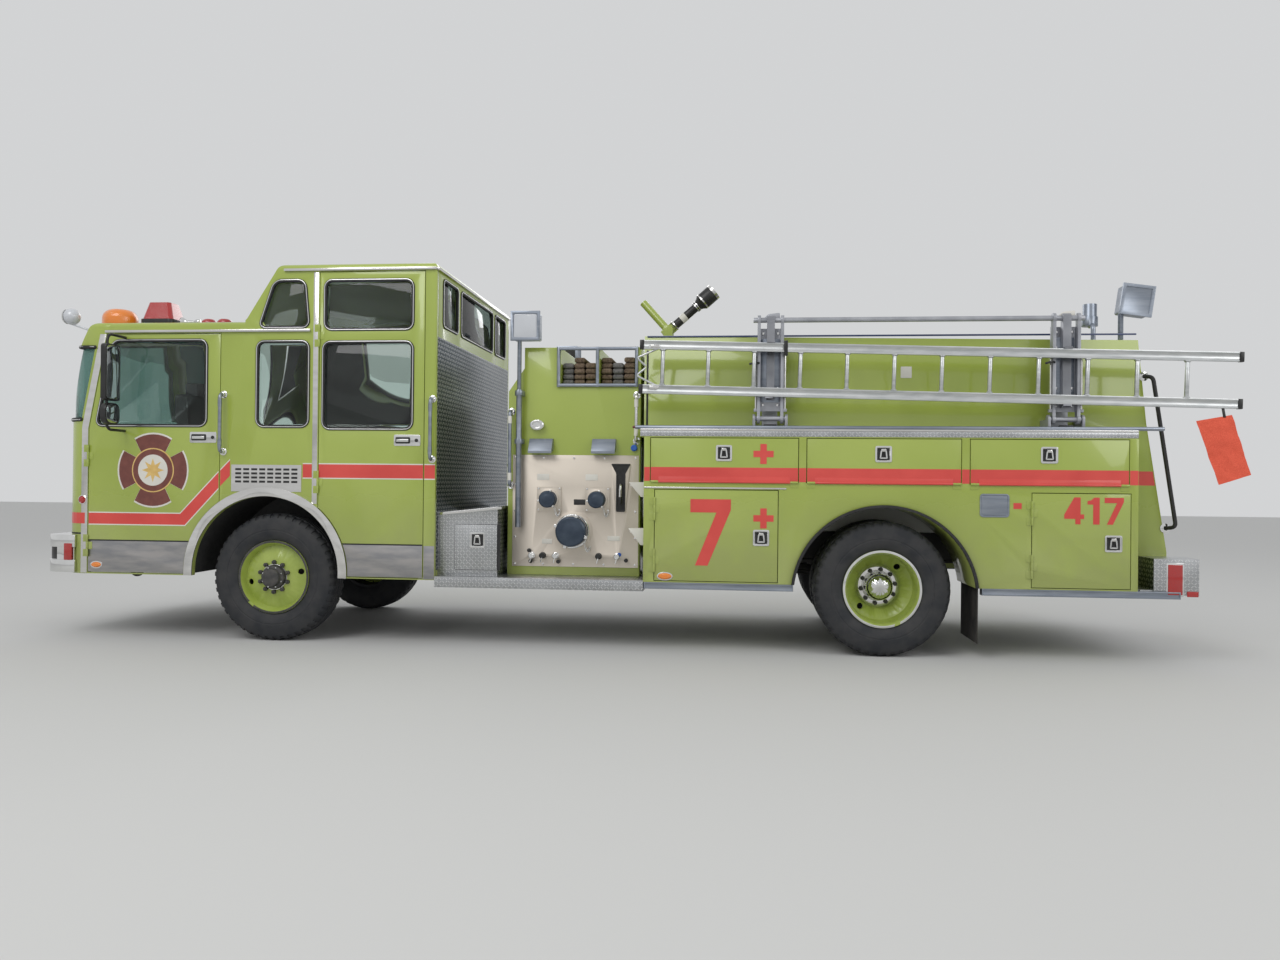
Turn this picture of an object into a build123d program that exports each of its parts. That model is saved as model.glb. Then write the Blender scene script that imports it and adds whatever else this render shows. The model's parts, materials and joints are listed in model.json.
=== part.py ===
from build123d import *
import os
from math import cos, radians, sin

# Fire engine with a crew cab ahead of an open pump bay and a hose body.
# Millimetres. While a piece is drawn, X = 0 is the rear axle and X grows
# towards the tail, Z = 0 is the ground, Y < 0 is the driver's side.
# The finished pieces are moved so that X = 0 is the middle of the vehicle.

# Whole vehicle
WHEELBASE = 4880.0
WIDTH = 2440.0
FRONT_REACH = 6850.0          # rear axle to the front of the bumper
REAR_REACH = 2700.0           # rear axle to the tail of the hanging flag
FIT = 0.3                     # gap between pieces that seat on each other
GAP = 6.0                     # gap round a door
HALF = WIDTH / 2
FRONT_X = -WHEELBASE
SHIFT = (FRONT_REACH - REAR_REACH) / 2
SIDES = (("left", -1), ("right", 1))

# Wheels and axles
TYRE_R = 520.0
TYRE_W = 280.0
RIM_R = 286.0                 # bead seat
FLANGE_R = 298.5
FRONT_TYRE_Y = HALF - 200.0
REAR_TYRE_Y = HALF - 200.0
DUAL_SPACING = 330.0
KINGPIN_Y = FRONT_TYRE_Y - 175.0
KINGPIN_R = 32.0
STUB_R = 45.0
HUB_R = 110.0
SPINDLE_R = 60.0
WHEEL_BORE = 62.0
AXLE_TUBE_R = 85.0
AXLE_TUBE_END = REAR_TYRE_Y - 480.0
SPINDLE_END = REAR_TYRE_Y - 300.0
DIFF_R = 200.0
HAND_HOLE_R = 24.0
WHEEL_LIP = 14.0              # rim edge that stands past the bead
BEAD_INSET = 36.0             # tyre side to rim edge

# Springs and propeller shaft
SPRING_W = 90.0
SPRING_LEAVES = 6
LEAF_T = 14.0
FRONT_SPRING = 680.0
REAR_SPRING = 700.0
NOSE = 330.0
SHAFT_JOINT = (-1700.0, 690.0)
SHAFT_R = 50.0

# Frame
RAIL_OUT = 432.0
RAIL_FLANGE = 80.0
RAIL_T = 8.0
RAIL_BOTTOM = 700.0
RAIL_TOP = 930.0
RAIL_FRONT = -FRONT_REACH + 250.0
RAIL_REAR = 1830.0
CROSS_MEMBERS = (RAIL_FRONT + 40.0, FRONT_X + 1580.0, -1400.0, -600.0, 620.0, 1780.0)
TOW_EYES = (RAIL_FRONT + 70.0, 1750.0)
TOW_Z = 490.0
TOW_T = 25.0
TOW_R = 25.0

# Cab
CAB_FRONT = -FRONT_REACH + 160.0
CAB_REAR = FRONT_X + 1375.0
CAB_BOTTOM = 530.0
CAB_KNEE_Z = 1755.0           # where the windscreen starts to lean back
CAB_BROW_X = CAB_FRONT + 170.0
CAB_BROW_Z = 2420.0
LOW_ROOF_X = CAB_FRONT + 260.0
LOW_ROOF_Z = 2600.0
RISE_X = FRONT_X - 220.0
HIGH_ROOF_X = FRONT_X + 70.0
HIGH_ROOF_Z = 3060.0
CORNER_R = 220.0
ROOF_EDGE_R = 38.0
WALL = 45.0
FLOOR_Z = RAIL_TOP + FIT
FLOOR_T = 40.0
STEP_WELL_Y = HALF - 320.0
GLASS_T = 6.0
GLASS_INSET = 16.0
WINDOW_R = 55.0
WINDSCREEN_Z = (1800.0, 2395.0)
WINDSCREEN_POST = 50.0
GUTTER = 20.0
LOW_GUTTER_Z = 2512.0
HIGH_GUTTER_Z = 3010.0

# Engine under the cab
ENGINE_FRONT = CAB_FRONT + 440.0
ENGINE_REAR = FRONT_X + 630.0
ENGINE_HALF = 340.0
ENGINE_BOTTOM = 560.0
ENGINE_TOP = 1300.0
ENGINE_ROOM = 50.0
ENGINE_MOUNTS = (ENGINE_FRONT + 350.0, ENGINE_REAR - 350.0)
COVER_T = 30.0

# Wheel arches
FRONT_ARCH_X = FRONT_X - 35.0
FRONT_ARCH_Z = TYRE_R + 44.0
FRONT_ARCH_R = TYRE_R + 99.0
REAR_ARCH_Z = TYRE_R - 54.0
REAR_ARCH_R = TYRE_R + 160.0
ARCH_TRIM = 69.0
ARCH_T = 15.0
HOUSE_R = TYRE_R + 140.0
HOUSE_Z = TYRE_R + 20.0
HOUSE_INNER_Y = HALF - 675.0
TRIM_T = 10.0
RUBBER = 22.0

# Doors of the cab
PILLAR_KNEE = (CAB_FRONT + 250.0, 1724.0)
PILLAR_TOP_X = CAB_FRONT + 400.0
FRONT_DOOR_TOP = 2500.0
FRONT_DOOR_REAR = FRONT_X - 430.0
CREW_DOOR_FRONT = FRONT_X + 410.0
CREW_DOOR_REAR = CAB_REAR - 98.0
CREW_DOOR_TOP = 2990.0
DOOR_BOTTOM = 545.0

# Hinges
HINGE_R = 9.0
HINGE_LEAF = 40.0
HINGE_LEAF_T = 3.0
KNUCKLE = 60.0
CAB_HINGES = ((PILLAR_KNEE[0] - GAP / 2, 760.0), (PILLAR_KNEE[0] - GAP / 2, 1500.0),
              (CREW_DOOR_FRONT - GAP / 2, 1300.0), (CREW_DOOR_FRONT - GAP / 2, 2480.0))

# Side windows of the cab: corner points in X and Z
FRONT_DOOR_PANE = [(PILLAR_KNEE[0] + 65.0, 1755.0), (PILLAR_TOP_X + 55.0, 2445.0),
                   (FRONT_DOOR_REAR - 120.0, 2445.0), (FRONT_DOOR_REAR - 120.0, 1755.0)]
FIXED_PANE_LOW = [(FRONT_X - 111.0, 1752.0), (FRONT_X - 111.0, 2431.0),
                  (CREW_DOOR_FRONT - 96.0, 2431.0), (CREW_DOOR_FRONT - 96.0, 1752.0)]
FIXED_PANE_HIGH = [(FRONT_X - 95.0, 2553.0), (FRONT_X + 30.0, 2924.0),
                   (CREW_DOOR_FRONT - 130.0, 2924.0), (CREW_DOOR_FRONT - 95.0, 2553.0)]
CREW_PANE_HIGH = [(CREW_DOOR_FRONT + 46.0, 2533.0), (CREW_DOOR_FRONT + 46.0, 2920.0),
                  (CREW_DOOR_REAR - 100.0, 2920.0), (CREW_DOOR_REAR - 100.0, 2533.0)]
CREW_PANE_LOW = [(CREW_DOOR_FRONT + 35.0, 1735.0), (CREW_DOOR_FRONT + 35.0, 2424.0),
                 (CREW_DOOR_REAR - 100.0, 2424.0), (CREW_DOOR_REAR - 100.0, 1735.0)]
# Rear windows of the cab: inner and outer edge in Y, the first crosses the middle
REAR_PANES = ((0.0, HALF - 685.0), (HALF - 580.0, HALF - 175.0))
REAR_PANE_Z = (2580.0, 2950.0)

# Seats: middle X, middle Y
FRONT_SEAT_X = CAB_FRONT + 680.0
CREW_SEAT_X = CAB_REAR - 325.0
SEATS = ((FRONT_SEAT_X, -HALF + 500.0), (FRONT_SEAT_X, HALF - 500.0),
         (CREW_SEAT_X, -HALF + 320.0), (CREW_SEAT_X, -300.0),
         (CREW_SEAT_X, 300.0), (CREW_SEAT_X, HALF - 320.0))
SEAT_W = 480.0
SEAT_D = 440.0
SEAT_Z = 1340.0
SEAT_CUSHION = 120.0
SEAT_BACK = 110.0
SEAT_BACK_TOP = SEAT_Z + 800.0
STEERING_R = 215.0

# Front of the cab
GRILLE_HALF = 430.0
GRILLE_Z = (930.0, 1440.0)
GRILLE_BARS = 9
GRILLE_T = 26.0
BEZEL_Y = (470.0, 960.0)
BEZEL_Z = (1040.0, 1300.0)
HEADLAMP_R = 84.0
BUMPER_Z = (538.0, 846.0)
BUMPER_LENGTH = 300.0

# Roof lamps: name, X from the cab's front, Y from the side, radius, height
ROOF_LAMPS = (("amber_dome", 330.0, 270.0, 140.0, 150.0),
              ("small_dome", 1110.0, 300.0, 62.0, 70.0),
              ("small_dome", 1250.0, 300.0, 62.0, 70.0))
BEACON = (700.0, 310.0)       # X from the cab's front, Y from the side
BEACON_SIZE = (290.0, 250.0, 60.0, 205.0)
SPOT_BASE = (222.0, 52.0)     # X from the cab's front, Y from the side
SPOT_LAMP = (70.0, 20.0, 2652.0)
SPOT_R = 68.0

# Pump bay
PUMP_FRONT = CAB_REAR + 515.0
PUMP_REAR = -1900.0
PUMP_SIDE = HALF - 315.0
STEP_Z = 560.0
STEP_T = 85.0
STEP_BACK_Y = 560.0
PUMP_BOTTOM = STEP_Z + FIT
PUMP_TOP = 2420.0
PUMP_SHOULDER = (2060.0, 2250.0)
PUMP_NOTCH = 130.0
CROSSLAY_BAYS = ((PUMP_REAR - 660.0, PUMP_REAR - 370.0), (PUMP_REAR - 340.0, PUMP_REAR - 50.0))
CROSSLAY_FLOOR = 2120.0
ROLLER_R = 14.0

# Pump panel: middle of the inlet and outlets in X, Z
PANEL_FRONT = PUMP_FRONT + 42.0
PANEL_REAR = PUMP_REAR - 10.0
PANEL_BOTTOM = 630.0
PANEL_TOP = 1540.0
PANEL_T = 6.0
INLET = (PUMP_FRONT + 548.0, 922.0)
INLET_R = 110.0
INLET_FLANGE = 60.0
INLET_CAP = 90.0
OUTLETS = (PUMP_FRONT + 347.0, PUMP_FRONT + 747.0)
OUTLET_Z = 1180.0
OUTLET_R = 62.0
OUTLET_PLATE = 26.0           # square plate and collar together
OUTLET_CAP = 84.0
DRAINS = (PUMP_FRONT + 207.0, PUMP_FRONT + 298.0, PUMP_FRONT + 405.0, PUMP_FRONT + 759.0,
          PUMP_FRONT + 911.0)
DRAIN_Z = 720.0
# Hooded lamps over the panel: front X, rear X
HOODS = ((PUMP_FRONT + 184.0, PUMP_FRONT + 376.0), (PUMP_FRONT + 701.0, PUMP_FRONT + 893.0))
HOOD_Z = (1552.0, 1672.0)
HOOD_REACH = 95.0
GAUGE_SLOT = ((PUMP_FRONT + 859.0, 1471.0), (PUMP_FRONT + 1013.0, 1471.0),
              (PUMP_FRONT + 976.0, 1078.0), (PUMP_FRONT + 896.0, 1078.0))
OVAL_OUTLET = (PUMP_FRONT + 246.0, 1784.0)
# Grab rails: X, low Z, high Z, wall Y, the first two on the cab
GRAB_RAILS = ((FRONT_DOOR_REAR + 34.0, 1540.0, 2005.0, HALF),
              (CAB_REAR - 26.0, 1490.0, 1970.0, HALF),
              (PUMP_FRONT + 26.0, 1291.0, 1894.0, PUMP_SIDE),
              (PUMP_REAR - 30.0, 1658.0, 2030.0, PUMP_SIDE))
GRAB_STAND = 62.0
GRAB_R = 14.0

# Hose body. Upper and lower doors: name, front and rear edge
BODY_FRONT = -1838.0
BODY_REAR = 1840.0
BODY_BOTTOM = 550.0
BODY_TOP = 1680.0
BODY_INNER = HALF - 620.0
LEDGE_T = 60.0
LEDGE_FRONT = BODY_FRONT - 32.0
BED_SIDE = HALF - 300.0
BED_TOP = 2505.0
GUN_DECK_Z = 2400.0
GUN_DECK_REAR = BODY_FRONT + 278.0
TANK_HALF = 500.0
TANK_REAR = 1000.0
SHEET = 30.0                  # walls of the body
STOP = 20.0                   # flange that a closed door rests against
UPPER_DOORS = (("upper_front", BODY_FRONT + 53.0, -652.0), ("upper_middle", -584.0, 562.0),
               ("upper_rear", 631.0, BODY_REAR - 68.0))
LOWER_DOORS = (("lower_front", BODY_FRONT + 88.0, -804.0), ("lower_rear", 1082.0, BODY_REAR - 55.0))
UPPER_DOOR_BOTTOM = 1335.0
UPPER_DOOR_TOP = BODY_TOP - 11.0
LOWER_DOOR_BOTTOM = 565.0
LOWER_DOOR_TOP = 1268.0
LOWER_HINGE_Z = (720.0, 1120.0)
UPPER_DEPTH = 400.0
LOWER_DEPTH = 520.0

# Tail: slanted rear edge of the bed walls in X, Z
TAIL_EDGE = ((BODY_REAR + 104.0, BED_TOP - 50.0), (BODY_REAR + 170.0, 1807.0),
             (BODY_REAR + 325.0, 825.0), (BODY_REAR + 325.0, 560.0))
TAIL_REAR = BODY_REAR + 440.0
TAIL_BOTTOM = 524.0
TAIL_BOX_TOP = 794.0
TAIL_LAMP_Z = (1080.0, 1230.0, 1380.0)
TAIL_LAMP_R = 58.0
FLAP_X = REAR_ARCH_R + 20.0
FLAP_T = 8.0
FLAP_BOTTOM = 124.0

# Ladder and its rack
LADDER_FRONT = BODY_FRONT - 42.0
LADDER_REAR = REAR_REACH - 100.0
LADDER_BOTTOM = 2022.0
LADDER_TOP = 2440.0
LADDER_Y = HALF - 70.0
LADDER_RAIL = 32.0
LADDER_RAIL_H = 70.0
LADDER_TILT = 1.45            # degrees, tail end down
RUNG_PITCH = 355.6
RUNG_R = 16.0
HOOK_R = 8.0
ARM_PIVOT_Y = HALF - 130.0
ARM_PIVOT_Z = BODY_TOP + 150.0
ARM_TOP_Z = 2600.0
ARM_T = 24.0
ARM_HALF = 28.0
RACK_SHAFT_R = 20.0
RACK_STATIONS = (-865.0, 1355.0)
RACK_W = 270.0
HANGER_HALF = 30.0
PIKE_R = 15.0
PIKE = (BODY_FRONT - 75.0, BODY_REAR + 190.0, HALF - 30.0)
FLAG = (REAR_REACH - 370.0, 1340.0, 1860.0)

# Floodlights
MAST_X = PUMP_FRONT + 100.0
MAST_Y = PUMP_SIDE + 60.0
MAST_R = 17.0
SLEEVE_R = 23.0
MAST_BOTTOM = 980.0
SLEEVE_TOP = 2070.0
MAST_TOP = 2470.0
LAMP_W = 220.0
LAMP_H = 220.0
LAMP_D = 120.0
LAMP_LIP = 10.0
REAR_MAST_X = BODY_REAR + 8.0
REAR_LAMP = (BODY_REAR + 76.0, 2652.0, 8.0)    # X, Z, degrees of tilt
CLEAR_LAMP = (BODY_REAR - 210.0, 2625.0, 60.0) # X, Z, radius

# Deck gun
GUN_X = BODY_FRONT + 93.0
GUN_BASE_R = 75.0
GUN_PIVOT_Z = 2690.0
GUN_ANGLE = 41.0
GUN_CHEEK = 62.0
# Nozzle: distance along its axis, radius
NOZZLE = ((-60.0, 46.0), (70.0, 46.0), (70.0, 38.0), (322.0, 38.0), (322.0, 48.0), (345.0, 48.0),
          (345.0, 42.0), (372.0, 56.0), (394.0, 74.0), (540.0, 74.0))
TILLER_R = 34.0
TILLER_ANGLE = 132.0
TILLER_LENGTH = 350.0

# Mirrors
MIRROR_X = PILLAR_KNEE[0] + 310.0
MIRROR_REACH = 235.0
MIRROR_Z = (1705.0, 2472.0)
MIRROR_HEAD = (1935.0, 2385.0)
MIRROR_SPOT = (1745.0, 1915.0)


def outline(points, radius=0.0):
    """A flat shape in X (across) and Z (up)."""
    shape = Polygon(*points, align=None)
    if radius:
        shape = fillet(shape.vertices(), radius)
    return shape


def rounded(shape, corners):
    """Round single corners of a flat shape; each row is X, Z, radius."""
    for x, z, radius in corners:
        corner = shape.vertices().sort_by_distance((x, z, 0))[0]
        shape = fillet(corner, radius)
    return shape


def slab(shape, y0, y1):
    """Fill a flat X-Z shape between two values of Y."""
    low, high = min(y0, y1), max(y0, y1)
    return extrude(Plane.XZ.offset(-low) * shape, amount=high - low, dir=(0, 1, 0))


def block(x0, x1, y0, y1, z0, z1):
    """A box between two opposite corners."""
    size = Box(abs(x1 - x0), abs(y1 - y0), abs(z1 - z0))
    return Pos((x0 + x1) / 2, (y0 + y1) / 2, (z0 + z1) / 2) * size


def rod(start, end, radius):
    """A round bar from one point to another."""
    a, b = Vector(*start), Vector(*end)
    plane = Plane(origin=a, z_dir=(b - a))
    return extrude(plane * Circle(radius), amount=(b - a).length)


def pipe(points, bend, radius):
    """A round tube bent to the same radius at each corner."""
    path = FilletPolyline(*points, radius=bend)
    start = Plane(origin=path @ 0, z_dir=path % 0)
    return sweep(start * Circle(radius), path=path)


def fused(pieces):
    """Join a list of solids."""
    total = pieces[0]
    for piece in pieces[1:]:
        total = total + piece
    return total


def turned(points, angle, x, z):
    """Revolve (distance, radius) points, then aim them up and to the rear by an angle."""
    rows = [(points[0][0], 0.0)] + list(points) + [(points[-1][0], 0.0)]
    face = Plane.XZ * Polygon(*rows, align=None)
    solid = revolve(face, axis=Axis.X)
    return Pos(x, 0, z) * Rot(0, -angle, 0) * solid


def wound(points):
    """The same points in anticlockwise order, so that sections join into one face."""
    following = points[1:] + points[:1]
    area = sum(a[0] * b[1] - b[0] * a[1] for a, b in zip(points, following))
    return points if area > 0 else points[::-1]


def spun(sections, x, side):
    """Revolve one or more sections of (Y outward, radius) points about the axle line."""
    flat = fused([Polygon(*wound([(side * y, r) for y, r in points]), align=None)
                  for points in sections])
    solid = revolve(Plane.YZ.offset(x) * flat, axis=Axis((x, 0, 0), (0, 1, 0)))
    return Pos(0, 0, TYRE_R) * solid


# Hinges: a barrel stands just outside the wall, so a door can swing clear
def upright_hinge(x, side, z_mid, leaf_way):
    """Fixed and moving knuckles on an upright axis; the door lies on leaf_way."""
    y = side * (HALF + FIT + HINGE_R)
    leaf_y0, leaf_y1 = side * HALF, side * (HALF + HINGE_LEAF_T)
    half = KNUCKLE / 2
    moving = rod((x, y, z_mid - half), (x, y, z_mid + half), HINGE_R)
    moving += block(x, x + leaf_way * HINGE_LEAF, leaf_y0, leaf_y1,
                    z_mid - half, z_mid + half)
    fixed = []
    for way in (-1, 1):
        near = z_mid + way * (half + FIT)
        far = near + way * KNUCKLE
        piece = rod((x, y, min(near, far)), (x, y, max(near, far)), HINGE_R)
        piece += block(x, x - leaf_way * HINGE_LEAF, leaf_y0, leaf_y1, near, far)
        fixed.append(piece)
    return moving, fixed


def level_hinge(x0, x1, side, z):
    """Fixed and moving knuckles on a level axis under a drop-down door."""
    y = side * (HALF + FIT + HINGE_R)
    leaf_y0, leaf_y1 = side * HALF, side * (HALF + HINGE_LEAF_T)
    inner0, inner1 = x0 + KNUCKLE, x1 - KNUCKLE
    moving = rod((inner0, y, z), (inner1, y, z), HINGE_R)
    moving += block(inner0, inner1, leaf_y0, leaf_y1, z, z + HINGE_LEAF)
    fixed = []
    for near, far in ((x0, inner0 - FIT), (inner1 + FIT, x1)):
        piece = rod((near, y, z), (far, y, z), HINGE_R)
        piece += block(near, far, leaf_y0, leaf_y1, z - HINGE_LEAF, z)
        fixed.append(piece)
    return moving, fixed


# Cab
def cab_profile():
    shape = outline([(CAB_FRONT, CAB_BOTTOM), (CAB_FRONT, CAB_KNEE_Z),
                     (CAB_BROW_X, CAB_BROW_Z), (LOW_ROOF_X, LOW_ROOF_Z),
                     (RISE_X, LOW_ROOF_Z), (HIGH_ROOF_X, HIGH_ROOF_Z),
                     (CAB_REAR, HIGH_ROOF_Z), (CAB_REAR, CAB_BOTTOM)])
    return rounded(shape, ((CAB_FRONT, CAB_KNEE_Z, 200.0), (CAB_BROW_X, CAB_BROW_Z, 150.0),
                           (LOW_ROOF_X, LOW_ROOF_Z, 110.0), (RISE_X, LOW_ROOF_Z, 60.0),
                           (HIGH_ROOF_X, HIGH_ROOF_Z, 90.0), (CAB_REAR, HIGH_ROOF_Z, 40.0)))


def cab_plan(inset):
    length = CAB_REAR - CAB_FRONT - 2 * inset
    shape = Pos((CAB_FRONT + CAB_REAR) / 2, 0) * Rectangle(length, WIDTH - 2 * inset)
    corners = shape.vertices().sort_by(Axis.X)[:2]
    return fillet(corners, CORNER_R - inset)


def roof_section(x0, x1, height):
    """The cab seen from ahead, with its roof edges rounded, filled from x0 to x1."""
    shape = Pos(0, height / 2) * Rectangle(WIDTH, height)
    shape = fillet(shape.vertices().sort_by(Axis.Y)[2:], ROOF_EDGE_R)
    return extrude(Plane.YZ.offset(x0) * shape, amount=x1 - x0, dir=(1, 0, 0))


def cab_solid(inset):
    """The cab's outer form, made smaller all round by inset."""
    profile = cab_profile()
    if inset:
        profile = offset(profile, amount=-inset, kind=Kind.INTERSECTION)
    body = slab(profile, -HALF, HALF)
    body = body & extrude(cab_plan(inset), amount=HIGH_ROOF_Z + WALL)
    if inset == 0:
        body = body & (roof_section(CAB_FRONT, RISE_X, LOW_ROOF_Z)
                       + roof_section(RISE_X, CAB_REAR, HIGH_ROOF_Z))
    return body


def front_door_outline():
    x_top = PILLAR_TOP_X
    shape = outline([(PILLAR_KNEE[0], DOOR_BOTTOM), PILLAR_KNEE,
                     (x_top, FRONT_DOOR_TOP), (FRONT_DOOR_REAR, FRONT_DOOR_TOP),
                     (FRONT_DOOR_REAR, DOOR_BOTTOM)])
    return shape - Pos(FRONT_ARCH_X, FRONT_ARCH_Z) * Circle(FRONT_ARCH_R + ARCH_TRIM + GAP)


def crew_door_outline():
    shape = outline([(CREW_DOOR_FRONT, DOOR_BOTTOM), (CREW_DOOR_FRONT, CREW_DOOR_TOP),
                     (CREW_DOOR_REAR, CREW_DOOR_TOP), (CREW_DOOR_REAR, DOOR_BOTTOM)])
    return shape - Pos(FRONT_ARCH_X, FRONT_ARCH_Z) * Circle(FRONT_ARCH_R + ARCH_TRIM + GAP)


def pane(points, side):
    """Glass in a window, just inside its opening."""
    shape = offset(outline(points, WINDOW_R), amount=-FIT)
    outer = side * (HALF - GLASS_INSET)
    return slab(shape, outer, outer - side * GLASS_T)


def window_cut(points, side):
    return slab(outline(points, WINDOW_R), side * (HALF - WALL - 1), side * (HALF + 1))


def windscreen_zone(shrink):
    """The band of the cab's front that is glass, as a solid to cut with."""
    low, high = WINDSCREEN_Z
    slope = (PILLAR_TOP_X - PILLAR_KNEE[0]) / (FRONT_DOOR_TOP - PILLAR_KNEE[1])
    back = PILLAR_KNEE[0] - 85.0
    x_low = back + slope * (low - PILLAR_KNEE[1]) - shrink
    x_high = back + slope * (high - PILLAR_KNEE[1]) - shrink
    shape = outline([(CAB_FRONT - 50, low + shrink), (x_low, low + shrink),
                     (x_high, high - shrink), (CAB_FRONT - 50, high - shrink)])
    zone = slab(shape, -HALF - 10, HALF + 10)
    post = WINDSCREEN_POST / 2 + shrink
    return zone - block(CAB_FRONT - 60, CAB_REAR, -post, post, low - 50, high + 50)


def rear_window_boxes(shrink, x0, x1):
    low, high = REAR_PANE_Z[0] + shrink, REAR_PANE_Z[1] - shrink
    boxes = []
    for inner, outer in REAR_PANES:
        if inner == 0:
            boxes.append(block(x0, x1, -outer + shrink, outer - shrink, low, high))
            continue
        for _, side in SIDES:
            boxes.append(block(x0, x1, side * (inner + shrink), side * (outer - shrink),
                               low, high))
    return boxes


def drum(radius, x, z, inner_y, outer_y, side):
    """A round-topped space over a wheel, open below."""
    shape = Pos(x, z) * Circle(radius) + Pos(x, z / 2) * Rectangle(2 * radius, z)
    return slab(shape, side * inner_y, side * outer_y)


def cab_walls():
    """Front, sides, roofs and back of the cab, with every hole cut, as one shell."""
    shell = cab_solid(0) - cab_solid(WALL)
    shell -= Pos(0, 0, CAB_BOTTOM - 1) * extrude(cab_plan(WALL), amount=WALL + 2)
    for _, side in SIDES:
        shell -= drum(FRONT_ARCH_R, FRONT_ARCH_X, FRONT_ARCH_Z, HALF - WALL - 1, HALF + 1, side)
        for shape in (front_door_outline(), crew_door_outline()):
            shell -= slab(offset(shape, amount=GAP, kind=Kind.INTERSECTION),
                          side * (HALF - WALL), side * (HALF + 1))
        for points in (FIXED_PANE_LOW, FIXED_PANE_HIGH):
            shell -= window_cut(points, side)
        for x, z in CAB_HINGES:
            for knuckle_pair in upright_hinge(x, side, z, 1)[1]:
                shell += knuckle_pair
    shell -= windscreen_zone(0)
    for hole in rear_window_boxes(0, CAB_REAR - WALL - 1, CAB_REAR + 1):
        shell -= hole
    tunnel = RAIL_OUT + GAP
    return shell - block(CAB_REAR - WALL - 1, CAB_REAR + 1, -tunnel, tunnel,
                         CAB_BOTTOM - 1, FLOOR_Z)


def cab_panels():
    """The shell parted where the real panels meet, with a fine seam between them."""
    shell = cab_walls()
    seam = FIT / 2
    out = HALF + 50
    side_y = HALF - WALL
    front_x = PILLAR_TOP_X + 20
    cowl_z = WINDSCREEN_Z[0] - 10
    top, high_z = HIGH_ROOF_Z + 50, HIGH_ROOF_Z - WALL
    x_ahead, x_behind = CAB_FRONT - 50, CAB_REAR + 50
    # Each row: X range, Y range, Z range of one panel
    rows = [(x_ahead, front_x, -out, out, 0, cowl_z),
            (x_ahead, front_x, -out, out, cowl_z, top),
            (front_x, x_behind, -out, -side_y, 0, top),
            (front_x, x_behind, side_y, out, 0, top),
            (front_x, RISE_X, -side_y, side_y, CAB_BROW_Z, top),
            (RISE_X, HIGH_ROOF_X, -side_y, side_y, CAB_BROW_Z, top),
            (HIGH_ROOF_X, x_behind, -side_y, side_y, high_z, top),
            (CAB_REAR - WALL - 5, x_behind, -side_y, side_y, 0, high_z)]
    panels = []
    for x0, x1, y0, y1, z0, z1 in rows:
        zone = block(x0 + seam, x1 - seam, y0 + seam, y1 - seam, z0 + seam, z1 - seam)
        panels += list((shell & zone).solids())
    return panels


def cab_floor():
    """Floor, wheel houses and door steps, inside the walls."""
    inside = cab_solid(WALL + FIT)
    floor = block(CAB_FRONT, CAB_REAR, -HALF, HALF, FLOOR_Z, FLOOR_Z + FLOOR_T)
    floor -= block(ENGINE_FRONT - ENGINE_ROOM, ENGINE_REAR + ENGINE_ROOM,
                   -ENGINE_HALF - ENGINE_ROOM, ENGINE_HALF + ENGINE_ROOM,
                   FLOOR_Z - 1, FLOOR_Z + FLOOR_T + 1)
    outer_r = HOUSE_R + ARCH_T
    for _, side in SIDES:
        house = drum(outer_r, FRONT_X, HOUSE_Z, HOUSE_INNER_Y - ARCH_T, HALF, side)
        floor += house & block(CAB_FRONT, CAB_REAR, side * HALF, 0, CAB_BOTTOM, LOW_ROOF_Z)
        floor -= drum(HOUSE_R, FRONT_X, HOUSE_Z, HOUSE_INNER_Y, HALF, side)
        for x0, x1 in ((PILLAR_KNEE[0] + 15, FRONT_X - outer_r + 2),
                       (FRONT_X + outer_r - 2, CAB_REAR - WALL - FIT)):
            floor += block(x0, x1, side * HALF, side * STEP_WELL_Y,
                           DOOR_BOTTOM, DOOR_BOTTOM + FLOOR_T)
            floor += block(x0, x1, side * STEP_WELL_Y, side * (STEP_WELL_Y + ARCH_T),
                           DOOR_BOTTOM, FLOOR_Z + 1)
            floor -= block(x0, x1, side * HALF, side * (STEP_WELL_Y + ARCH_T),
                           DOOR_BOTTOM + FLOOR_T, FLOOR_Z + FLOOR_T + 1)
    return floor & (inside + block(CAB_FRONT + CORNER_R, CAB_REAR - WALL - FIT,
                                   -HALF + WALL + FIT, HALF - WALL - FIT, DOOR_BOTTOM, FLOOR_Z))


def cab_door(shape, panes, hinges, side):
    door = slab(shape, side * HALF, side * (HALF - WALL))
    for points in panes:
        door -= window_cut(points, side)
    for x, z in hinges:
        door += upright_hinge(x, side, z, 1)[0]
    return [door] + [pane(points, side) for points in panes]


def cab_glass():
    sheet = cab_solid(GLASS_INSET) - cab_solid(GLASS_INSET + GLASS_T)
    front = sheet & windscreen_zone(FIT)
    inner = CAB_REAR - GLASS_INSET - GLASS_T
    glass = list(front.solids()) + rear_window_boxes(FIT, inner, inner + GLASS_T)
    for _, side in SIDES:
        glass += [pane(FIXED_PANE_LOW, side), pane(FIXED_PANE_HIGH, side)]
    return glass


def engine_cover():
    """The raised housing between the front seats, with the engine under it."""
    top = ENGINE_TOP + ENGINE_ROOM + COVER_T
    lip = ENGINE_ROOM + COVER_T
    floor = FLOOR_Z + FLOOR_T + FIT
    outer = block(ENGINE_FRONT - lip, ENGINE_REAR + lip, -ENGINE_HALF - lip, ENGINE_HALF + lip,
                  floor, top)
    inner = block(ENGINE_FRONT - lip + COVER_T, ENGINE_REAR + lip - COVER_T,
                  -ENGINE_HALF - lip + COVER_T, ENGINE_HALF + lip - COVER_T,
                  floor - 1, top - COVER_T)
    return outer - inner


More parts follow.
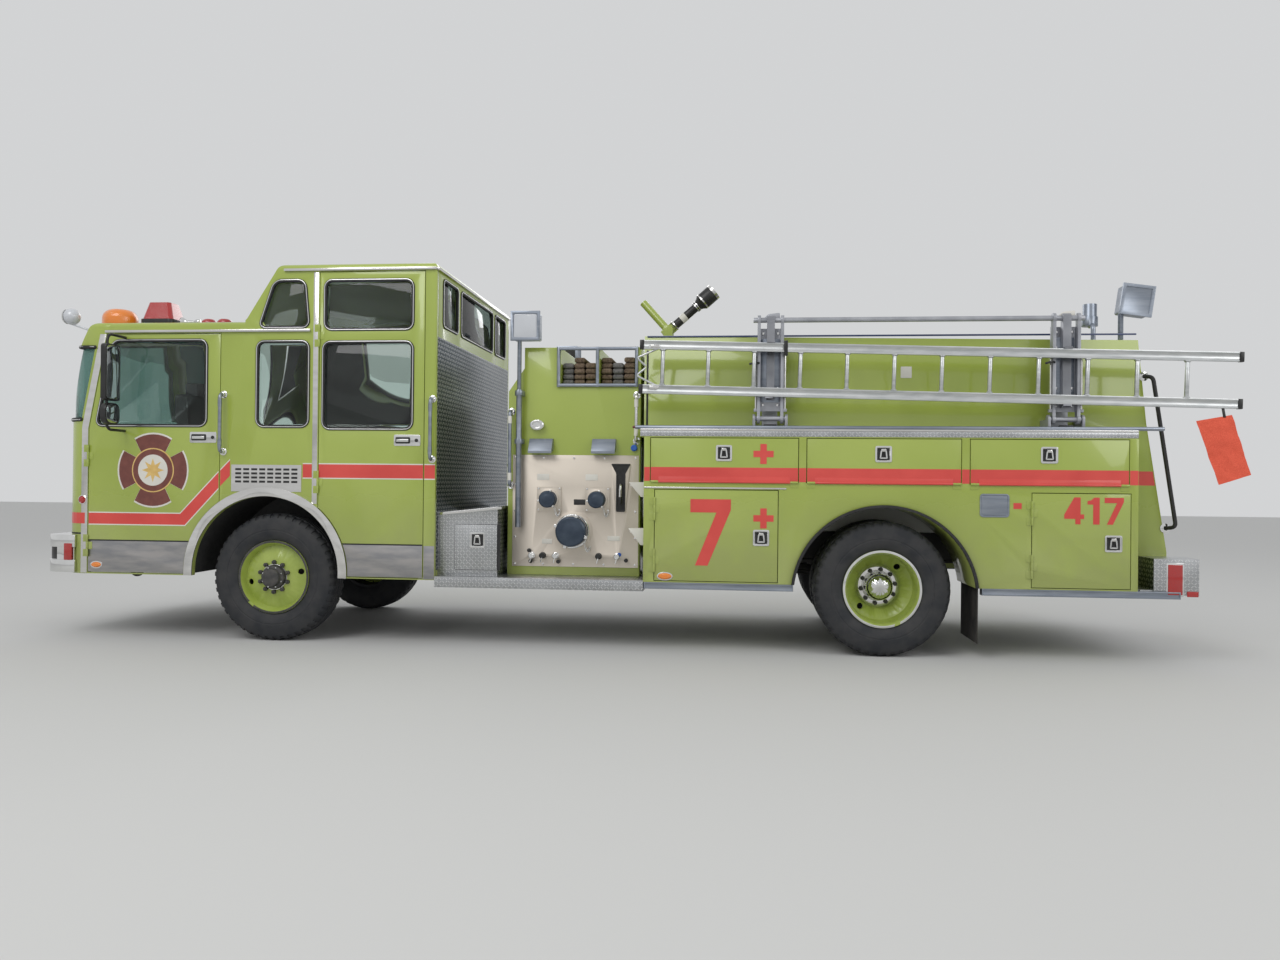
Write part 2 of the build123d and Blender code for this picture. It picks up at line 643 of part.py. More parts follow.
def seats():
    """A cushion and a reclining back with a head pad for each place."""
    pieces = []
    for x, y in SEATS:
        y0, y1 = y - SEAT_W / 2, y + SEAT_W / 2
        front, rear = x - SEAT_D / 2, x + SEAT_D / 2
        cushion = block(front, rear, y0, y1, SEAT_Z + FIT, SEAT_Z + SEAT_CUSHION)
        pieces.append(fillet(cushion.edges().filter_by(Axis.Y), 30.0))
        back = block(rear - SEAT_BACK, rear, y0, y1, SEAT_Z + SEAT_CUSHION + FIT, SEAT_BACK_TOP)
        pieces.append(fillet(back.edges().filter_by(Axis.Y), 30.0))
    return pieces


def cab_interior():
    """Seat boxes, dash, steering column and hand wheel."""
    floor = FLOOR_Z + FLOOR_T + FIT
    pieces = []
    for x, y in SEATS:
        box = block(x - SEAT_D / 2 + 30, x + SEAT_D / 2 - 30, y - SEAT_W / 2 + 40,
                    y + SEAT_W / 2 - 40, floor, SEAT_Z)
        side = 1 if y > 0 else -1
        clear = drum(HOUSE_R + ARCH_T + FIT, FRONT_X, HOUSE_Z, HOUSE_INNER_Y - ARCH_T - FIT, HALF, side)
        pieces.append(box - clear)
    dash = block(CAB_FRONT, CAB_FRONT + 360, -HALF, HALF, 1340, 1700)
    dash = (dash & cab_solid(WALL + FIT)).solids()[0]
    column_y = SEATS[0][1]
    low = (CAB_FRONT + 340, column_y, 1465)
    high = (CAB_FRONT + 480, column_y, 1700)
    pieces.append(dash)
    wheel_plane = Plane(origin=high, z_dir=Vector(*high) - Vector(*low))
    wheel = rod(low, high, 26) + wheel_plane * Torus(STEERING_R, 14)
    wheel += wheel_plane * Box(2 * STEERING_R, 40, 16)
    wheel -= block(CAB_FRONT, CAB_FRONT + 360 + FIT, -HALF, HALF, 1300, 1700 + FIT)
    pieces.append(wheel)
    return pieces


def front_bumper():
    plan = Pos(-FRONT_REACH + BUMPER_LENGTH / 2, 0) * Rectangle(BUMPER_LENGTH, WIDTH + 24)
    plan = fillet(plan.vertices().sort_by(Axis.X)[:2], 170.0)
    low, high = BUMPER_Z
    bar = Pos(0, 0, low) * extrude(plan, amount=high - low)
    cab = Pos(0, 0, low - 40) * extrude(offset(cab_plan(0), amount=FIT), amount=high - low + 80)
    groove = offset(plan, amount=20) - offset(plan, amount=-12)
    band = (high - low) / 3
    bar -= Pos(0, 0, low + band) * extrude(groove, amount=band)
    return bar - cab


# Frame and running gear
def channel_rail(side):
    outer = block(RAIL_FRONT, RAIL_REAR, side * (RAIL_OUT - RAIL_FLANGE), side * RAIL_OUT,
                  RAIL_BOTTOM, RAIL_TOP)
    return outer - block(RAIL_FRONT - 1, RAIL_REAR + 1, side * (RAIL_OUT - RAIL_FLANGE - 1),
                         side * (RAIL_OUT - RAIL_T), RAIL_BOTTOM + RAIL_T, RAIL_TOP - RAIL_T)


def frame():
    """Two channel rails, their cross members, engine feet and tow plates."""
    pieces = [channel_rail(-1), channel_rail(1)]
    reach = RAIL_OUT - RAIL_T - FIT
    for x in CROSS_MEMBERS:
        pieces.append(block(x - 40, x + 40, -reach, reach, RAIL_TOP - 110, RAIL_TOP - 20))
    for x in ENGINE_MOUNTS:
        for _, side in SIDES:
            pieces.append(block(x - 60, x + 60, side * (ENGINE_HALF + FIT), side * reach,
                                RAIL_BOTTOM + 60, RAIL_BOTTOM + 130))
    for x in TOW_EYES:
        for _, side in SIDES:
            y0, y1 = side * (RAIL_OUT - RAIL_T - TOW_T), side * (RAIL_OUT - RAIL_T)
            plate = block(x - 62, x + 62, y0, y1, TOW_Z, RAIL_BOTTOM - FIT)
            plate += rod((x, y0, TOW_Z), (x, y1, TOW_Z), 62)
            pieces.append(plate - rod((x, y0 - 50 * side, TOW_Z), (x, y1 + 50 * side, TOW_Z), TOW_R))
    return pieces


def leaf_spring(x, half_length, y, seat_z):
    """A stack of flat leaves, each longer than the one below it."""
    stack = []
    for row in range(SPRING_LEAVES):
        reach = half_length * (1 - 0.13 * (SPRING_LEAVES - 1 - row))
        z = seat_z + row * LEAF_T
        stack.append(block(x - reach, x + reach, y - SPRING_W / 2, y + SPRING_W / 2,
                           z, z + LEAF_T))
    return fused(stack)


def spring_set(x, half, seat_z):
    """A pair of springs with the hangers that reach up to the rails."""
    spring_y = RAIL_OUT - RAIL_FLANGE / 2
    top = seat_z + SPRING_LEAVES * LEAF_T
    pieces = []
    for _, side in SIDES:
        y0, y1 = side * spring_y - SPRING_W / 2, side * spring_y + SPRING_W / 2
        pieces.append(leaf_spring(x, half, side * spring_y, seat_z + FIT))
        for end in (-1, 1):
            hanger = x + end * (half - 60)
            pieces.append(block(hanger - 30, hanger + 30, y0, y1, top + 2 * FIT, RAIL_BOTTOM - FIT))
    return pieces


def front_axle():
    """The beam with an eye at each end for the kingpin."""
    low, high = TYRE_R - 150, TYRE_R - 60
    axle = block(FRONT_X - 55, FRONT_X + 55, -KINGPIN_Y, KINGPIN_Y, low, high)
    for _, side in SIDES:
        y = side * KINGPIN_Y
        axle += rod((FRONT_X, y, low), (FRONT_X, y, high), KINGPIN_R + 30)
        axle -= rod((FRONT_X, y, low - 1), (FRONT_X, y, high + 1), KINGPIN_R + FIT)
    return [axle] + spring_set(FRONT_X, FRONT_SPRING, high)


def rear_axle():
    """The tube, its middle housing, the nose for the shaft and the spindles."""
    axle = rod((0, -AXLE_TUBE_END, TYRE_R), (0, AXLE_TUBE_END, TYRE_R), AXLE_TUBE_R)
    axle += Pos(0, 0, TYRE_R) * Sphere(DIFF_R)
    axle += rod((0, -SPINDLE_END, TYRE_R), (0, SPINDLE_END, TYRE_R), SPINDLE_R)
    axle += rod((0, 0, TYRE_R), nose_point(NOSE), 70)
    return [axle] + spring_set(0.0, REAR_SPRING, TYRE_R + AXLE_TUBE_R)


def nose_point(distance):
    """A point ahead of the rear axle on the line of the propeller shaft."""
    along = Vector(SHAFT_JOINT[0], 0, SHAFT_JOINT[1] - TYRE_R).normalized()
    point = Vector(0, 0, TYRE_R) + along * distance
    return (point.X, point.Y, point.Z)


def driveline():
    """Two-piece propeller shaft from the engine to the rear axle."""
    joint = (SHAFT_JOINT[0], 0, SHAFT_JOINT[1])
    shaft = rod((ENGINE_REAR + FIT, 0, SHAFT_JOINT[1]), joint, SHAFT_R)
    return shaft + rod(joint, nose_point(NOSE + FIT), SHAFT_R)


def knuckle(side):
    """Kingpin, body and stub axle that carry a steered wheel."""
    y = side * KINGPIN_Y
    eye_low, eye_high = TYRE_R - 150, TYRE_R - 60
    total = rod((FRONT_X, y, eye_low - 20), (FRONT_X, y, TYRE_R), KINGPIN_R)
    total += rod((FRONT_X, y, eye_low - 30), (FRONT_X, y, eye_low - FIT), KINGPIN_R + 14)
    total += block(FRONT_X - 60, FRONT_X + 60, y - 50, y + 50, eye_high + FIT, TYRE_R + 70)
    return total + rod((FRONT_X, y, TYRE_R), (FRONT_X, side * (FRONT_TYRE_Y + 60), TYRE_R), STUB_R)


# Wheels
def tyre_section(middle):
    """Half section of a tyre: Y outward from its middle, radius up."""
    half = TYRE_W / 2
    belly = (RIM_R + TYRE_R) / 2
    rows = [(46, RIM_R + FIT), (8, RIM_R + 60), (0, belly), (26, TYRE_R - 20), (50, TYRE_R)]
    inner = [(middle - half + inset, radius) for inset, radius in rows]
    outer = [(middle + half - inset, radius) for inset, radius in reversed(rows)]
    return inner + outer


def hand_holes(x, y, reach, radius, angles):
    """Round bars that cut the hand holes of a wheel disc."""
    holes = []
    for angle in angles:
        at_x = x + radius * cos(radians(angle))
        at_z = TYRE_R + radius * sin(radians(angle))
        holes.append(rod((at_x, y - reach, at_z), (at_x, y + reach, at_z), HAND_HOLE_R))
    return holes


def front_wheel(side):
    """Rim with its face bulging outward, and the hub through it."""
    half = TYRE_W / 2 - BEAD_INSET
    out, back = FRONT_TYRE_Y + half, FRONT_TYRE_Y - half
    disc = FRONT_TYRE_Y + 96
    lip = FLANGE_R - 18
    rows = [(back - 8, FLANGE_R), (back - 8, FLANGE_R - 26), (back + 20, FLANGE_R - 34),
            (out - 62, FLANGE_R - 36), (disc - 26, 170), (disc - 12, 140),
            (disc - 12, WHEEL_BORE), (disc, WHEEL_BORE), (disc, 146), (disc - 14, 184),
            (out - 48, FLANGE_R - 44), (out - 20, FLANGE_R - 34), (out + WHEEL_LIP, lip),
            (out + WHEEL_LIP, FLANGE_R), (out, FLANGE_R), (out - 4, RIM_R), (back + 4, RIM_R),
            (back, FLANGE_R)]
    bore = STUB_R + FIT
    hub = [(disc - 90, bore), (disc - 90, HUB_R), (disc - 12, HUB_R), (disc - 12, WHEEL_BORE),
           (disc, WHEEL_BORE), (disc, 98), (disc + 40, 94), (disc + 46, 74), (disc + 78, 70),
           (disc + 80, 0), (disc - 10, 0), (disc - 10, bore)]
    wheel = spun([rows, hub], FRONT_X, side)
    for hole in hand_holes(FRONT_X, side * disc, 90, 218, (12.0, 192.0)):
        wheel -= hole
    return wheel


def dished_rim(mate, way, bore):
    """Section of a deep rear rim; its disc is clamped at mate and it opens in the direction way."""
    middle = mate + way * DUAL_SPACING / 2
    half = TYRE_W / 2 - BEAD_INSET
    near, far = middle - way * half, middle + way * half
    face, lip, ring = mate + way * 12, far + way * WHEEL_LIP, FLANGE_R - 30
    return [(near - way * 8, FLANGE_R), (near - way * 8, ring), (near + way * 10, ring - 2),
            (mate, 172), (mate, bore), (face, bore), (face, 165), (face + way * 26, 178),
            (near + way * 30, ring - 10), (far - way * 20, ring - 4), (lip, ring + 12),
            (lip, FLANGE_R), (far, FLANGE_R), (far - way * 4, RIM_R), (near + way * 4, RIM_R),
            (near, FLANGE_R)]


def rear_wheels(side):
    """Two dished rims clamped back to back, the outer one with the hub through both."""
    mate = REAR_TYRE_Y - DUAL_SPACING / 2
    bore = SPINDLE_R + FIT
    start, end = AXLE_TUBE_END + 20, SPINDLE_END + 5
    hub = [(start, bore), (start, HUB_R), (mate + 30, HUB_R), (mate + 60, 100), (mate + 110, 98),
           (mate + 150, 84), (mate + 176, 52), (mate + 184, 0), (end, 0), (end, bore)]
    outer = spun([dished_rim(mate, 1, WHEEL_BORE), hub], 0.0, side)
    inner = spun([dished_rim(mate - FIT, -1, HUB_R + FIT)], 0.0, side)
    for hole in hand_holes(0.0, side * mate, 130, 212, (48.0, 228.0)):
        outer -= hole
        inner -= hole
    return [outer, inner]


# Pump bay
def pump_house():
    x0, x1 = PUMP_FRONT, PUMP_REAR
    low, high = PUMP_SHOULDER
    shape = outline([(x0, PUMP_BOTTOM), (x0, low), (x0 + PUMP_NOTCH, high),
                     (x0 + PUMP_NOTCH, PUMP_TOP), (x1, PUMP_TOP), (x1, PUMP_BOTTOM)])
    total = slab(shape, -PUMP_SIDE, PUMP_SIDE)
    for front, rear in CROSSLAY_BAYS:
        total -= block(front, rear, -PUMP_SIDE - 1, PUMP_SIDE + 1, CROSSLAY_FLOOR, PUMP_TOP + 1)
    return total - block(x0 - 1, x1 + 1, -RAIL_OUT - FIT, RAIL_OUT + FIT, PUMP_BOTTOM - 1,
                         RAIL_TOP + FIT)


def lamp_hood(x0, x1, side):
    """A sloping hood over the panel lamps."""
    y0 = side * (PUMP_SIDE + FIT)
    low, high = HOOD_Z
    face = Plane.YZ.offset(x0) * Polygon((y0, low + 30), (y0, high), (y0 + side * 30, high),
                                         (y0 + side * HOOD_REACH, low + 20),
                                         (y0 + side * HOOD_REACH, low), align=None)
    return extrude(face, amount=x1 - x0, dir=(1, 0, 0))


def pump_panels():
    """Bright side panels with the capped inlets and outlets, gauge slot, drains and hoods."""
    pieces = []
    for _, side in SIDES:
        y0 = side * (PUMP_SIDE + FIT)
        y1 = y0 + side * PANEL_T
        panel = block(PANEL_FRONT, PANEL_REAR, y0, y1, PANEL_BOTTOM, PANEL_TOP)
        for x in OUTLETS:
            y2 = y1 + side * OUTLET_PLATE
            plate = y1 + side * OUTLET_PLATE / 2
            panel += block(x - 100, x + 100, y1, plate, OUTLET_Z - 100, OUTLET_Z + 100)
            panel += rod((x, y1, OUTLET_Z), (x, y2, OUTLET_Z), OUTLET_R + 20)
            panel += rod((x, y2, OUTLET_Z), (x, y2 + side * OUTLET_CAP, OUTLET_Z), OUTLET_R)
        x, z = INLET
        y2 = y1 + side * INLET_FLANGE
        panel += rod((x, y1, z), (x, y1 + side * 14, z), INLET_R + 45)
        panel += rod((x, y1, z), (x, y2, z), INLET_R + 24)
        panel += rod((x, y2, z), (x, y2 + side * INLET_CAP, z), INLET_R)
        panel += slab(outline(GAUGE_SLOT), y1, y1 + side * 14)
        for x in DRAINS:
            panel += rod((x, y1, DRAIN_Z), (x, y1 + side * 42, DRAIN_Z), 15)
        pieces.append(panel)
        for x0, x1 in HOODS:
            pieces.append(lamp_hood(x0, x1, side))
        oval = Pos(*OVAL_OUTLET) * Ellipse(58, 42)
        pieces.append(slab(oval, y0, y0 + side * 46))
    return pieces


def grab_rail(x, low, high, wall_y, side):
    """An upright hand rail that stands off a wall."""
    y0, y1 = side * (wall_y + FIT), side * (wall_y + GRAB_STAND)
    return pipe([(x, y0, low), (x, y1, low), (x, y1, high), (x, y0, high)], 30, GRAB_R)


def roller_frame(side):
    """Uprights and level rollers where the crosslay hose comes out."""
    y = side * (PUMP_SIDE + FIT + ROLLER_R)
    x0, x1 = CROSSLAY_BAYS[0][0] - 15, CROSSLAY_BAYS[1][1] + 15
    middle = (CROSSLAY_BAYS[0][1] + CROSSLAY_BAYS[1][0]) / 2
    low, high = CROSSLAY_FLOOR - 10, PUMP_TOP - 12
    total = rod((x0, y, low), (x1, y, low), ROLLER_R) + rod((x0, y, high), (x1, y, high), ROLLER_R)
    for x in (x0, middle, x1):
        total += rod((x, y, low - ROLLER_R), (x, y, high + ROLLER_R), ROLLER_R)
    return total


def arch_trims():
    """Bright rings round the front arches and rubber lips round the rear ones."""
    pieces = []
    for x, z, low, high, bottom, thick in (
            (FRONT_ARCH_X, FRONT_ARCH_Z, FRONT_ARCH_R, FRONT_ARCH_R + ARCH_TRIM, CAB_BOTTOM, TRIM_T),
            (0.0, REAR_ARCH_Z, REAR_ARCH_R, REAR_ARCH_R + RUBBER, BODY_BOTTOM, RUBBER)):
        ring = Pos(x, z) * (Circle(high) - Circle(low))
        ring = ring & Pos(x, bottom + high) * Rectangle(2 * high, 2 * high)
        for _, side in SIDES:
            pieces.append(slab(ring, side * (HALF + FIT), side * (HALF + FIT + thick)))
    return pieces


def grille():
    """Bright frame with level bars, and the plates that carry the headlamps."""
    x0, x1 = CAB_FRONT - FIT - GRILLE_T, CAB_FRONT - FIT
    low, high = GRILLE_Z
    total = block(x0, x1, -GRILLE_HALF, GRILLE_HALF, low, high)
    total -= block(x0 - 1, x1 - 8, -GRILLE_HALF + 35, GRILLE_HALF - 35, low + 35, high - 35)
    pitch = (high - low - 70) / (GRILLE_BARS + 1)
    for number in range(1, GRILLE_BARS + 1):
        z = low + 35 + number * pitch
        total += block(x0 + 6, x1 - 7, -GRILLE_HALF + 34, GRILLE_HALF - 34, z - 9, z + 9)
    pieces = [total]
    for _, side in SIDES:
        y0, y1 = side * BEZEL_Y[0], side * BEZEL_Y[1]
        pieces.append(block(x0 + 8, x1, y0, y1, *BEZEL_Z))
    return pieces


def gutters():
    """Rain rails over the doors and round the back of the raised roof."""
    pieces = []
    for _, side in SIDES:
        y0, y1 = side * (HALF + FIT), side * (HALF + GUTTER)
        pieces.append(block(PILLAR_TOP_X - 10, CREW_DOOR_FRONT - 75, y0, y1,
                            LOW_GUTTER_Z, LOW_GUTTER_Z + GUTTER))
        pieces.append(block(HIGH_ROOF_X + 40, CAB_REAR, y0, y1,
                            HIGH_GUTTER_Z - GUTTER / 2, HIGH_GUTTER_Z + GUTTER / 2))
    pieces.append(block(CAB_REAR + FIT, CAB_REAR + GUTTER, -HALF, HALF,
                        HIGH_GUTTER_Z - GUTTER / 2, HIGH_GUTTER_Z + GUTTER / 2))
    return pieces


def outer_trim():
    pieces = arch_trims() + grille() + gutters()
    for _, side in SIDES:
        for x, low, high, wall_y in GRAB_RAILS:
            pieces.append(grab_rail(x, low, high, wall_y, side))
        pieces.append(roller_frame(side))
    return pieces


def running_boards():
    """Folded tread plate from the cab to the hose body, hollow below."""
    pieces = []
    for _, side in SIDES:
        x0, x1 = CAB_REAR + FIT, BODY_FRONT - FIT
        inner, outer = side * (RAIL_OUT + FIT), side * HALF
        board = block(x0, x1, inner, outer, STEP_Z - STEP_T, STEP_Z)
        board -= block(x0 - 1, x1 + 1, inner + side * 20, outer - side * 20,
                       STEP_Z - STEP_T + 20, STEP_Z - 20)
        pieces.append(board)
    return pieces


def step_boxes():
    """Tread plate boxes with a sloping lid and a low door, behind the cab."""
    pieces = []
    x0, x1 = CAB_REAR + FIT, PUMP_FRONT - 15
    front_z, rear_z, lid = 1066.0, 1120.0, 22.0
    for _, side in SIDES:
        y0, y1 = side * STEP_BACK_Y, side * (HALF - 80)
        shape = outline([(x0, STEP_Z + FIT), (x0, front_z), (x1 - 10, rear_z), (x1 - 10, STEP_Z + FIT)])
        box = slab(shape, y0, y1)
        top = outline([(x0, front_z - lid), (x0, front_z), (x1, rear_z), (x1, rear_z - lid)])
        box += slab(top, y0, y1 + side * 14)
        box += block(x0 + 145, x1 - 12, y1, y1 + side * 8, 614, 972)
        pieces.append(box)
    return pieces


def crosslay_hose():
    """Folded hose in the two trays over the pump, as stacks with rounded folds."""
    pieces = []
    folds = 3
    for front, rear in CROSSLAY_BAYS:
        width = (rear - front - 2 * FIT) / folds
        for number in range(folds):
            x0 = front + FIT + number * width
            stack = block(x0 + 2, x0 + width - 2, -PUMP_SIDE + 60, PUMP_SIDE - 60,
                          CROSSLAY_FLOOR + FIT, PUMP_TOP - 60 - 14 * (number % 2))
            pieces.append(fillet(stack.edges().filter_by(Axis.X), 24.0))
    return pieces


# Hose body
def side_module(side):
    """One side of the body: compartments in front of, over and behind the wheel."""
    total = block(BODY_FRONT, BODY_REAR, side * BODY_INNER, side * HALF, BODY_BOTTOM, BODY_TOP)
    total -= drum(REAR_ARCH_R, 0.0, REAR_ARCH_Z, BODY_INNER - 10, HALF + 5, side)
    doors = [(a, b, UPPER_DOOR_BOTTOM, UPPER_DOOR_TOP, UPPER_DEPTH) for _, a, b in UPPER_DOORS]
    doors += [(a, b, LOWER_DOOR_BOTTOM, LOWER_DOOR_TOP, LOWER_DEPTH) for _, a, b in LOWER_DOORS]
    for x0, x1, z0, z1, depth in doors:
        total -= block(x0 - GAP, x1 + GAP, side * (HALF - WALL - GAP), side * (HALF + 1),
                       z0 - GAP, z1 + GAP)
        total -= block(x0 + STOP, x1 - STOP, side * (HALF - depth), side * (HALF - WALL),
                       z0 + STOP, z1 - STOP)
    for _, x0, x1 in UPPER_DOORS:
        for fixed in level_hinge(x0, x1, side, UPPER_DOOR_BOTTOM - GAP / 2)[1]:
            total += fixed
    for _, x0, x1 in LOWER_DOORS:
        for z in LOWER_HINGE_Z:
            for fixed in upright_hinge(x0 - GAP / 2, side, z, 1)[1]:
                total += fixed
    return total


def upper_door(x0, x1, side):
    door = block(x0, x1, side * HALF, side * (HALF - WALL), UPPER_DOOR_BOTTOM, UPPER_DOOR_TOP)
    return door + level_hinge(x0, x1, side, UPPER_DOOR_BOTTOM - GAP / 2)[0]


def lower_door(x0, x1, side):
    door = block(x0, x1, side * HALF, side * (HALF - WALL), LOWER_DOOR_BOTTOM, LOWER_DOOR_TOP)
    for z in LOWER_HINGE_Z:
        door += upright_hinge(x0 - GAP / 2, side, z, 1)[0]
    return door


def hose_bed():
    """The open bed above the compartments, with its ledges and slanted tail."""
    walls = []
    low = BODY_TOP + FIT
    inner = BED_SIDE - SHEET
    for _, side in SIDES:
        wall = outline([(LEDGE_FRONT, low), (LEDGE_FRONT, BED_TOP), *TAIL_EDGE,
                        (BODY_REAR + FIT, TAIL_EDGE[-1][1]), (BODY_REAR + FIT, low)])
        piece = slab(wall, side * BED_SIDE, side * inner)
        piece += block(LEDGE_FRONT, BODY_REAR, side * inner, side * HALF, low, BODY_TOP + LEDGE_T)
        walls.append(piece)
    total = fused(walls)
    total += block(LEDGE_FRONT, LEDGE_FRONT + SHEET, -inner - 1, inner + 1, low, BED_TOP)
    total += block(LEDGE_FRONT, GUN_DECK_REAR, -inner - 1, inner + 1, GUN_DECK_Z - 20, GUN_DECK_Z)
    total += block(LEDGE_FRONT, BODY_REAR + FIT + 1, -inner - 1, inner + 1, low, BODY_TOP + LEDGE_T)
    return total + block(BODY_REAR + FIT, BODY_REAR + SHEET, -inner - 1, inner + 1,
                         TAIL_EDGE[-1][1], BODY_TOP + LEDGE_T)


def tank_block():
    return block(BODY_FRONT + 30, TANK_REAR, -TANK_HALF, TANK_HALF, RAIL_TOP + FIT, BODY_TOP)


def tail_step():
    """The step across the tail with a raised box at each end."""
    top = TAIL_EDGE[-1][1] - FIT
    step = block(BODY_REAR + SHEET + FIT, TAIL_REAR, -HALF + 40, HALF - 40, TAIL_BOTTOM, top)
    for _, side in SIDES:
        step += block(BODY_REAR + 120, TAIL_REAR, side * (BED_SIDE + FIT), side * (HALF - 20),
                      TAIL_BOTTOM, TAIL_BOX_TOP)
        step += block(BODY_REAR + FIT, BODY_REAR + 120, side * (BED_SIDE + FIT), side * (HALF - 60),
                      TAIL_BOTTOM, TAIL_EDGE[-1][1])
    return step


def mud_flaps():
    """Rubber flaps that hang from the body behind the rear wheels."""
    pieces = []
    for _, side in SIDES:
        pieces.append(block(FLAP_X, FLAP_X + FLAP_T, side * (BODY_INNER + 20), side * (HALF - 60),
                            FLAP_BOTTOM, BODY_BOTTOM - FIT))
    return pieces


# Ladder rack
def rack_columns():
    """Fixed feet with cheeks for the arm shafts, and a guide column on the bed wall."""
    pieces = []
    ledge = BODY_TOP + LEDGE_T
    for x in RACK_STATIONS:
        foot = block(x - RACK_W / 2, x + RACK_W / 2, -ARM_PIVOT_Y - 35, -BED_SIDE - FIT,
                     ledge + FIT, ledge + 12)
        for end in (-1, 1):
            cheek_x = x + end * (RACK_W / 2 - 10)
            foot += block(cheek_x - 10, cheek_x + 10, -ARM_PIVOT_Y - 35, -BED_SIDE - FIT,
                          ledge + 10, ARM_PIVOT_Z)
            foot += rod((cheek_x - 10, -ARM_PIVOT_Y, ARM_PIVOT_Z),
                        (cheek_x + 10, -ARM_PIVOT_Y, ARM_PIVOT_Z), 35)
        foot += rod((x - RACK_W / 2, -ARM_PIVOT_Y, ARM_PIVOT_Z),
                    (x + RACK_W / 2, -ARM_PIVOT_Y, ARM_PIVOT_Z), RACK_SHAFT_R)
        foot += block(x - 60, x + 60, -BED_SIDE - 40, -BED_SIDE - FIT, ledge + 10, BED_TOP - 25)
        pieces.append(foot)
    return pieces


def rack_arms():
    """The swinging arms, each a wide plate between two flanges, with the cross shaft on top."""
    pieces = []
    flange_x = RACK_W / 2 - 45
    for x in RACK_STATIONS:
        for end in (-1, 1):
            mid = x + end * flange_x
            arm = block(mid - ARM_T / 2, mid + ARM_T / 2, -ARM_PIVOT_Y - ARM_HALF,
                        -ARM_PIVOT_Y + ARM_HALF, ARM_PIVOT_Z, ARM_TOP_Z)
            for z in (ARM_PIVOT_Z, ARM_TOP_Z):
                arm += rod((mid - ARM_T / 2, -ARM_PIVOT_Y, z), (mid + ARM_T / 2, -ARM_PIVOT_Y, z), 38)
            arm -= rod((mid - 50, -ARM_PIVOT_Y, ARM_PIVOT_Z), (mid + 50, -ARM_PIVOT_Y, ARM_PIVOT_Z),
                       RACK_SHAFT_R + FIT)
            pieces.append(arm)
        web = -ARM_PIVOT_Y + HANGER_HALF + 8
        pieces.append(block(x - flange_x, x + flange_x, web, web + 8, ARM_PIVOT_Z + 60, ARM_TOP_Z - 60))
        for end in (-1, 1):
            mid = x + end * flange_x
            pieces.append(block(mid - ARM_T / 2, mid + ARM_T / 2, -ARM_PIVOT_Y, web + 8,
                                ARM_PIVOT_Z + 60, ARM_TOP_Z - 60))
    pieces.append(rod((RACK_STATIONS[0] - RACK_W / 2, -ARM_PIVOT_Y, ARM_TOP_Z),
                      (RACK_STATIONS[1] + RACK_W / 2, -ARM_PIVOT_Y, ARM_TOP_Z), RACK_SHAFT_R))
    return fused(pieces)


def tilted(solid):
    """Lean a piece that was drawn level to the slope of the ladder."""
    return Pos(LADDER_FRONT, 0, LADDER_TOP) * Rot(0, LADDER_TILT, 0) * Pos(-LADDER_FRONT, 0, -LADDER_TOP) * solid


def cradle():
    """Hangers on the cross shaft that hold the ladder upright as the arms swing."""
    pieces = []
    y_out, y_in = -LADDER_Y - LADDER_RAIL / 2 - 12, -ARM_PIVOT_Y - HANGER_HALF + 4
    for x in RACK_STATIONS:
        drop = (x - LADDER_FRONT) * sin(radians(LADDER_TILT))
        hanger = block(x - HANGER_HALF, x + HANGER_HALF, -ARM_PIVOT_Y - HANGER_HALF - 2,
                       -ARM_PIVOT_Y + HANGER_HALF, LADDER_BOTTOM - drop - 20, ARM_TOP_Z)
        hanger += rod((x - HANGER_HALF, -ARM_PIVOT_Y, ARM_TOP_Z),
                      (x + HANGER_HALF, -ARM_PIVOT_Y, ARM_TOP_Z), 36)
        hanger -= rod((x - 60, -ARM_PIVOT_Y, ARM_TOP_Z), (x + 60, -ARM_PIVOT_Y, ARM_TOP_Z),
                      RACK_SHAFT_R + FIT)
        for z in (LADDER_BOTTOM - FIT, LADDER_TOP + FIT + 12):
            hanger += tilted(block(x - HANGER_HALF, x + HANGER_HALF, y_out, y_in, z - 12, z))
        pieces.append(hanger)
    return pieces


def ladder():
    """Two rails with round rungs between them, and the folding roof hooks at the front."""
    y0, y1 = -LADDER_Y - LADDER_RAIL / 2, -LADDER_Y + LADDER_RAIL / 2
    low, high = LADDER_BOTTOM + LADDER_RAIL_H, LADDER_TOP - LADDER_RAIL_H
    middle = (low + high) / 2
    pieces = []
    for rail, edge, way in ((LADDER_BOTTOM, low, 1), (LADDER_TOP, high, -1)):
        bar = block(LADDER_FRONT, LADDER_REAR, y0, y1, rail, edge)
        hook = [(LADDER_FRONT + 150, -LADDER_Y, edge - way * 12), (LADDER_FRONT - 26, -LADDER_Y, edge + way * 70),
                (LADDER_FRONT + 47, -LADDER_Y, middle - way * HOOK_R)]
        pieces.append(bar + pipe(hook, 14, HOOK_R))
    count = int((LADDER_REAR - LADDER_FRONT - 260) / RUNG_PITCH) + 1
    for number in range(count):
        x = LADDER_FRONT + 180 + number * RUNG_PITCH
        pieces.append(rod((x, -LADDER_Y, low + FIT), (x, -LADDER_Y, high - FIT), RUNG_R))
    return [tilted(piece) for piece in pieces]


def flag():
    """Warning flag that hangs from the tail of the ladder by a strap."""
    front, low, high = FLAG
    drop = (front + 125 - LADDER_FRONT) * sin(radians(LADDER_TILT))
    cloth = block(front, REAR_REACH, -LADDER_Y - 4, -LADDER_Y + 4, low, high)
    strap = block(front + 110, front + 140, -LADDER_Y - 4, -LADDER_Y + 4, high - 5,
                  LADDER_BOTTOM - drop - 2 * FIT)
    return cloth + strap


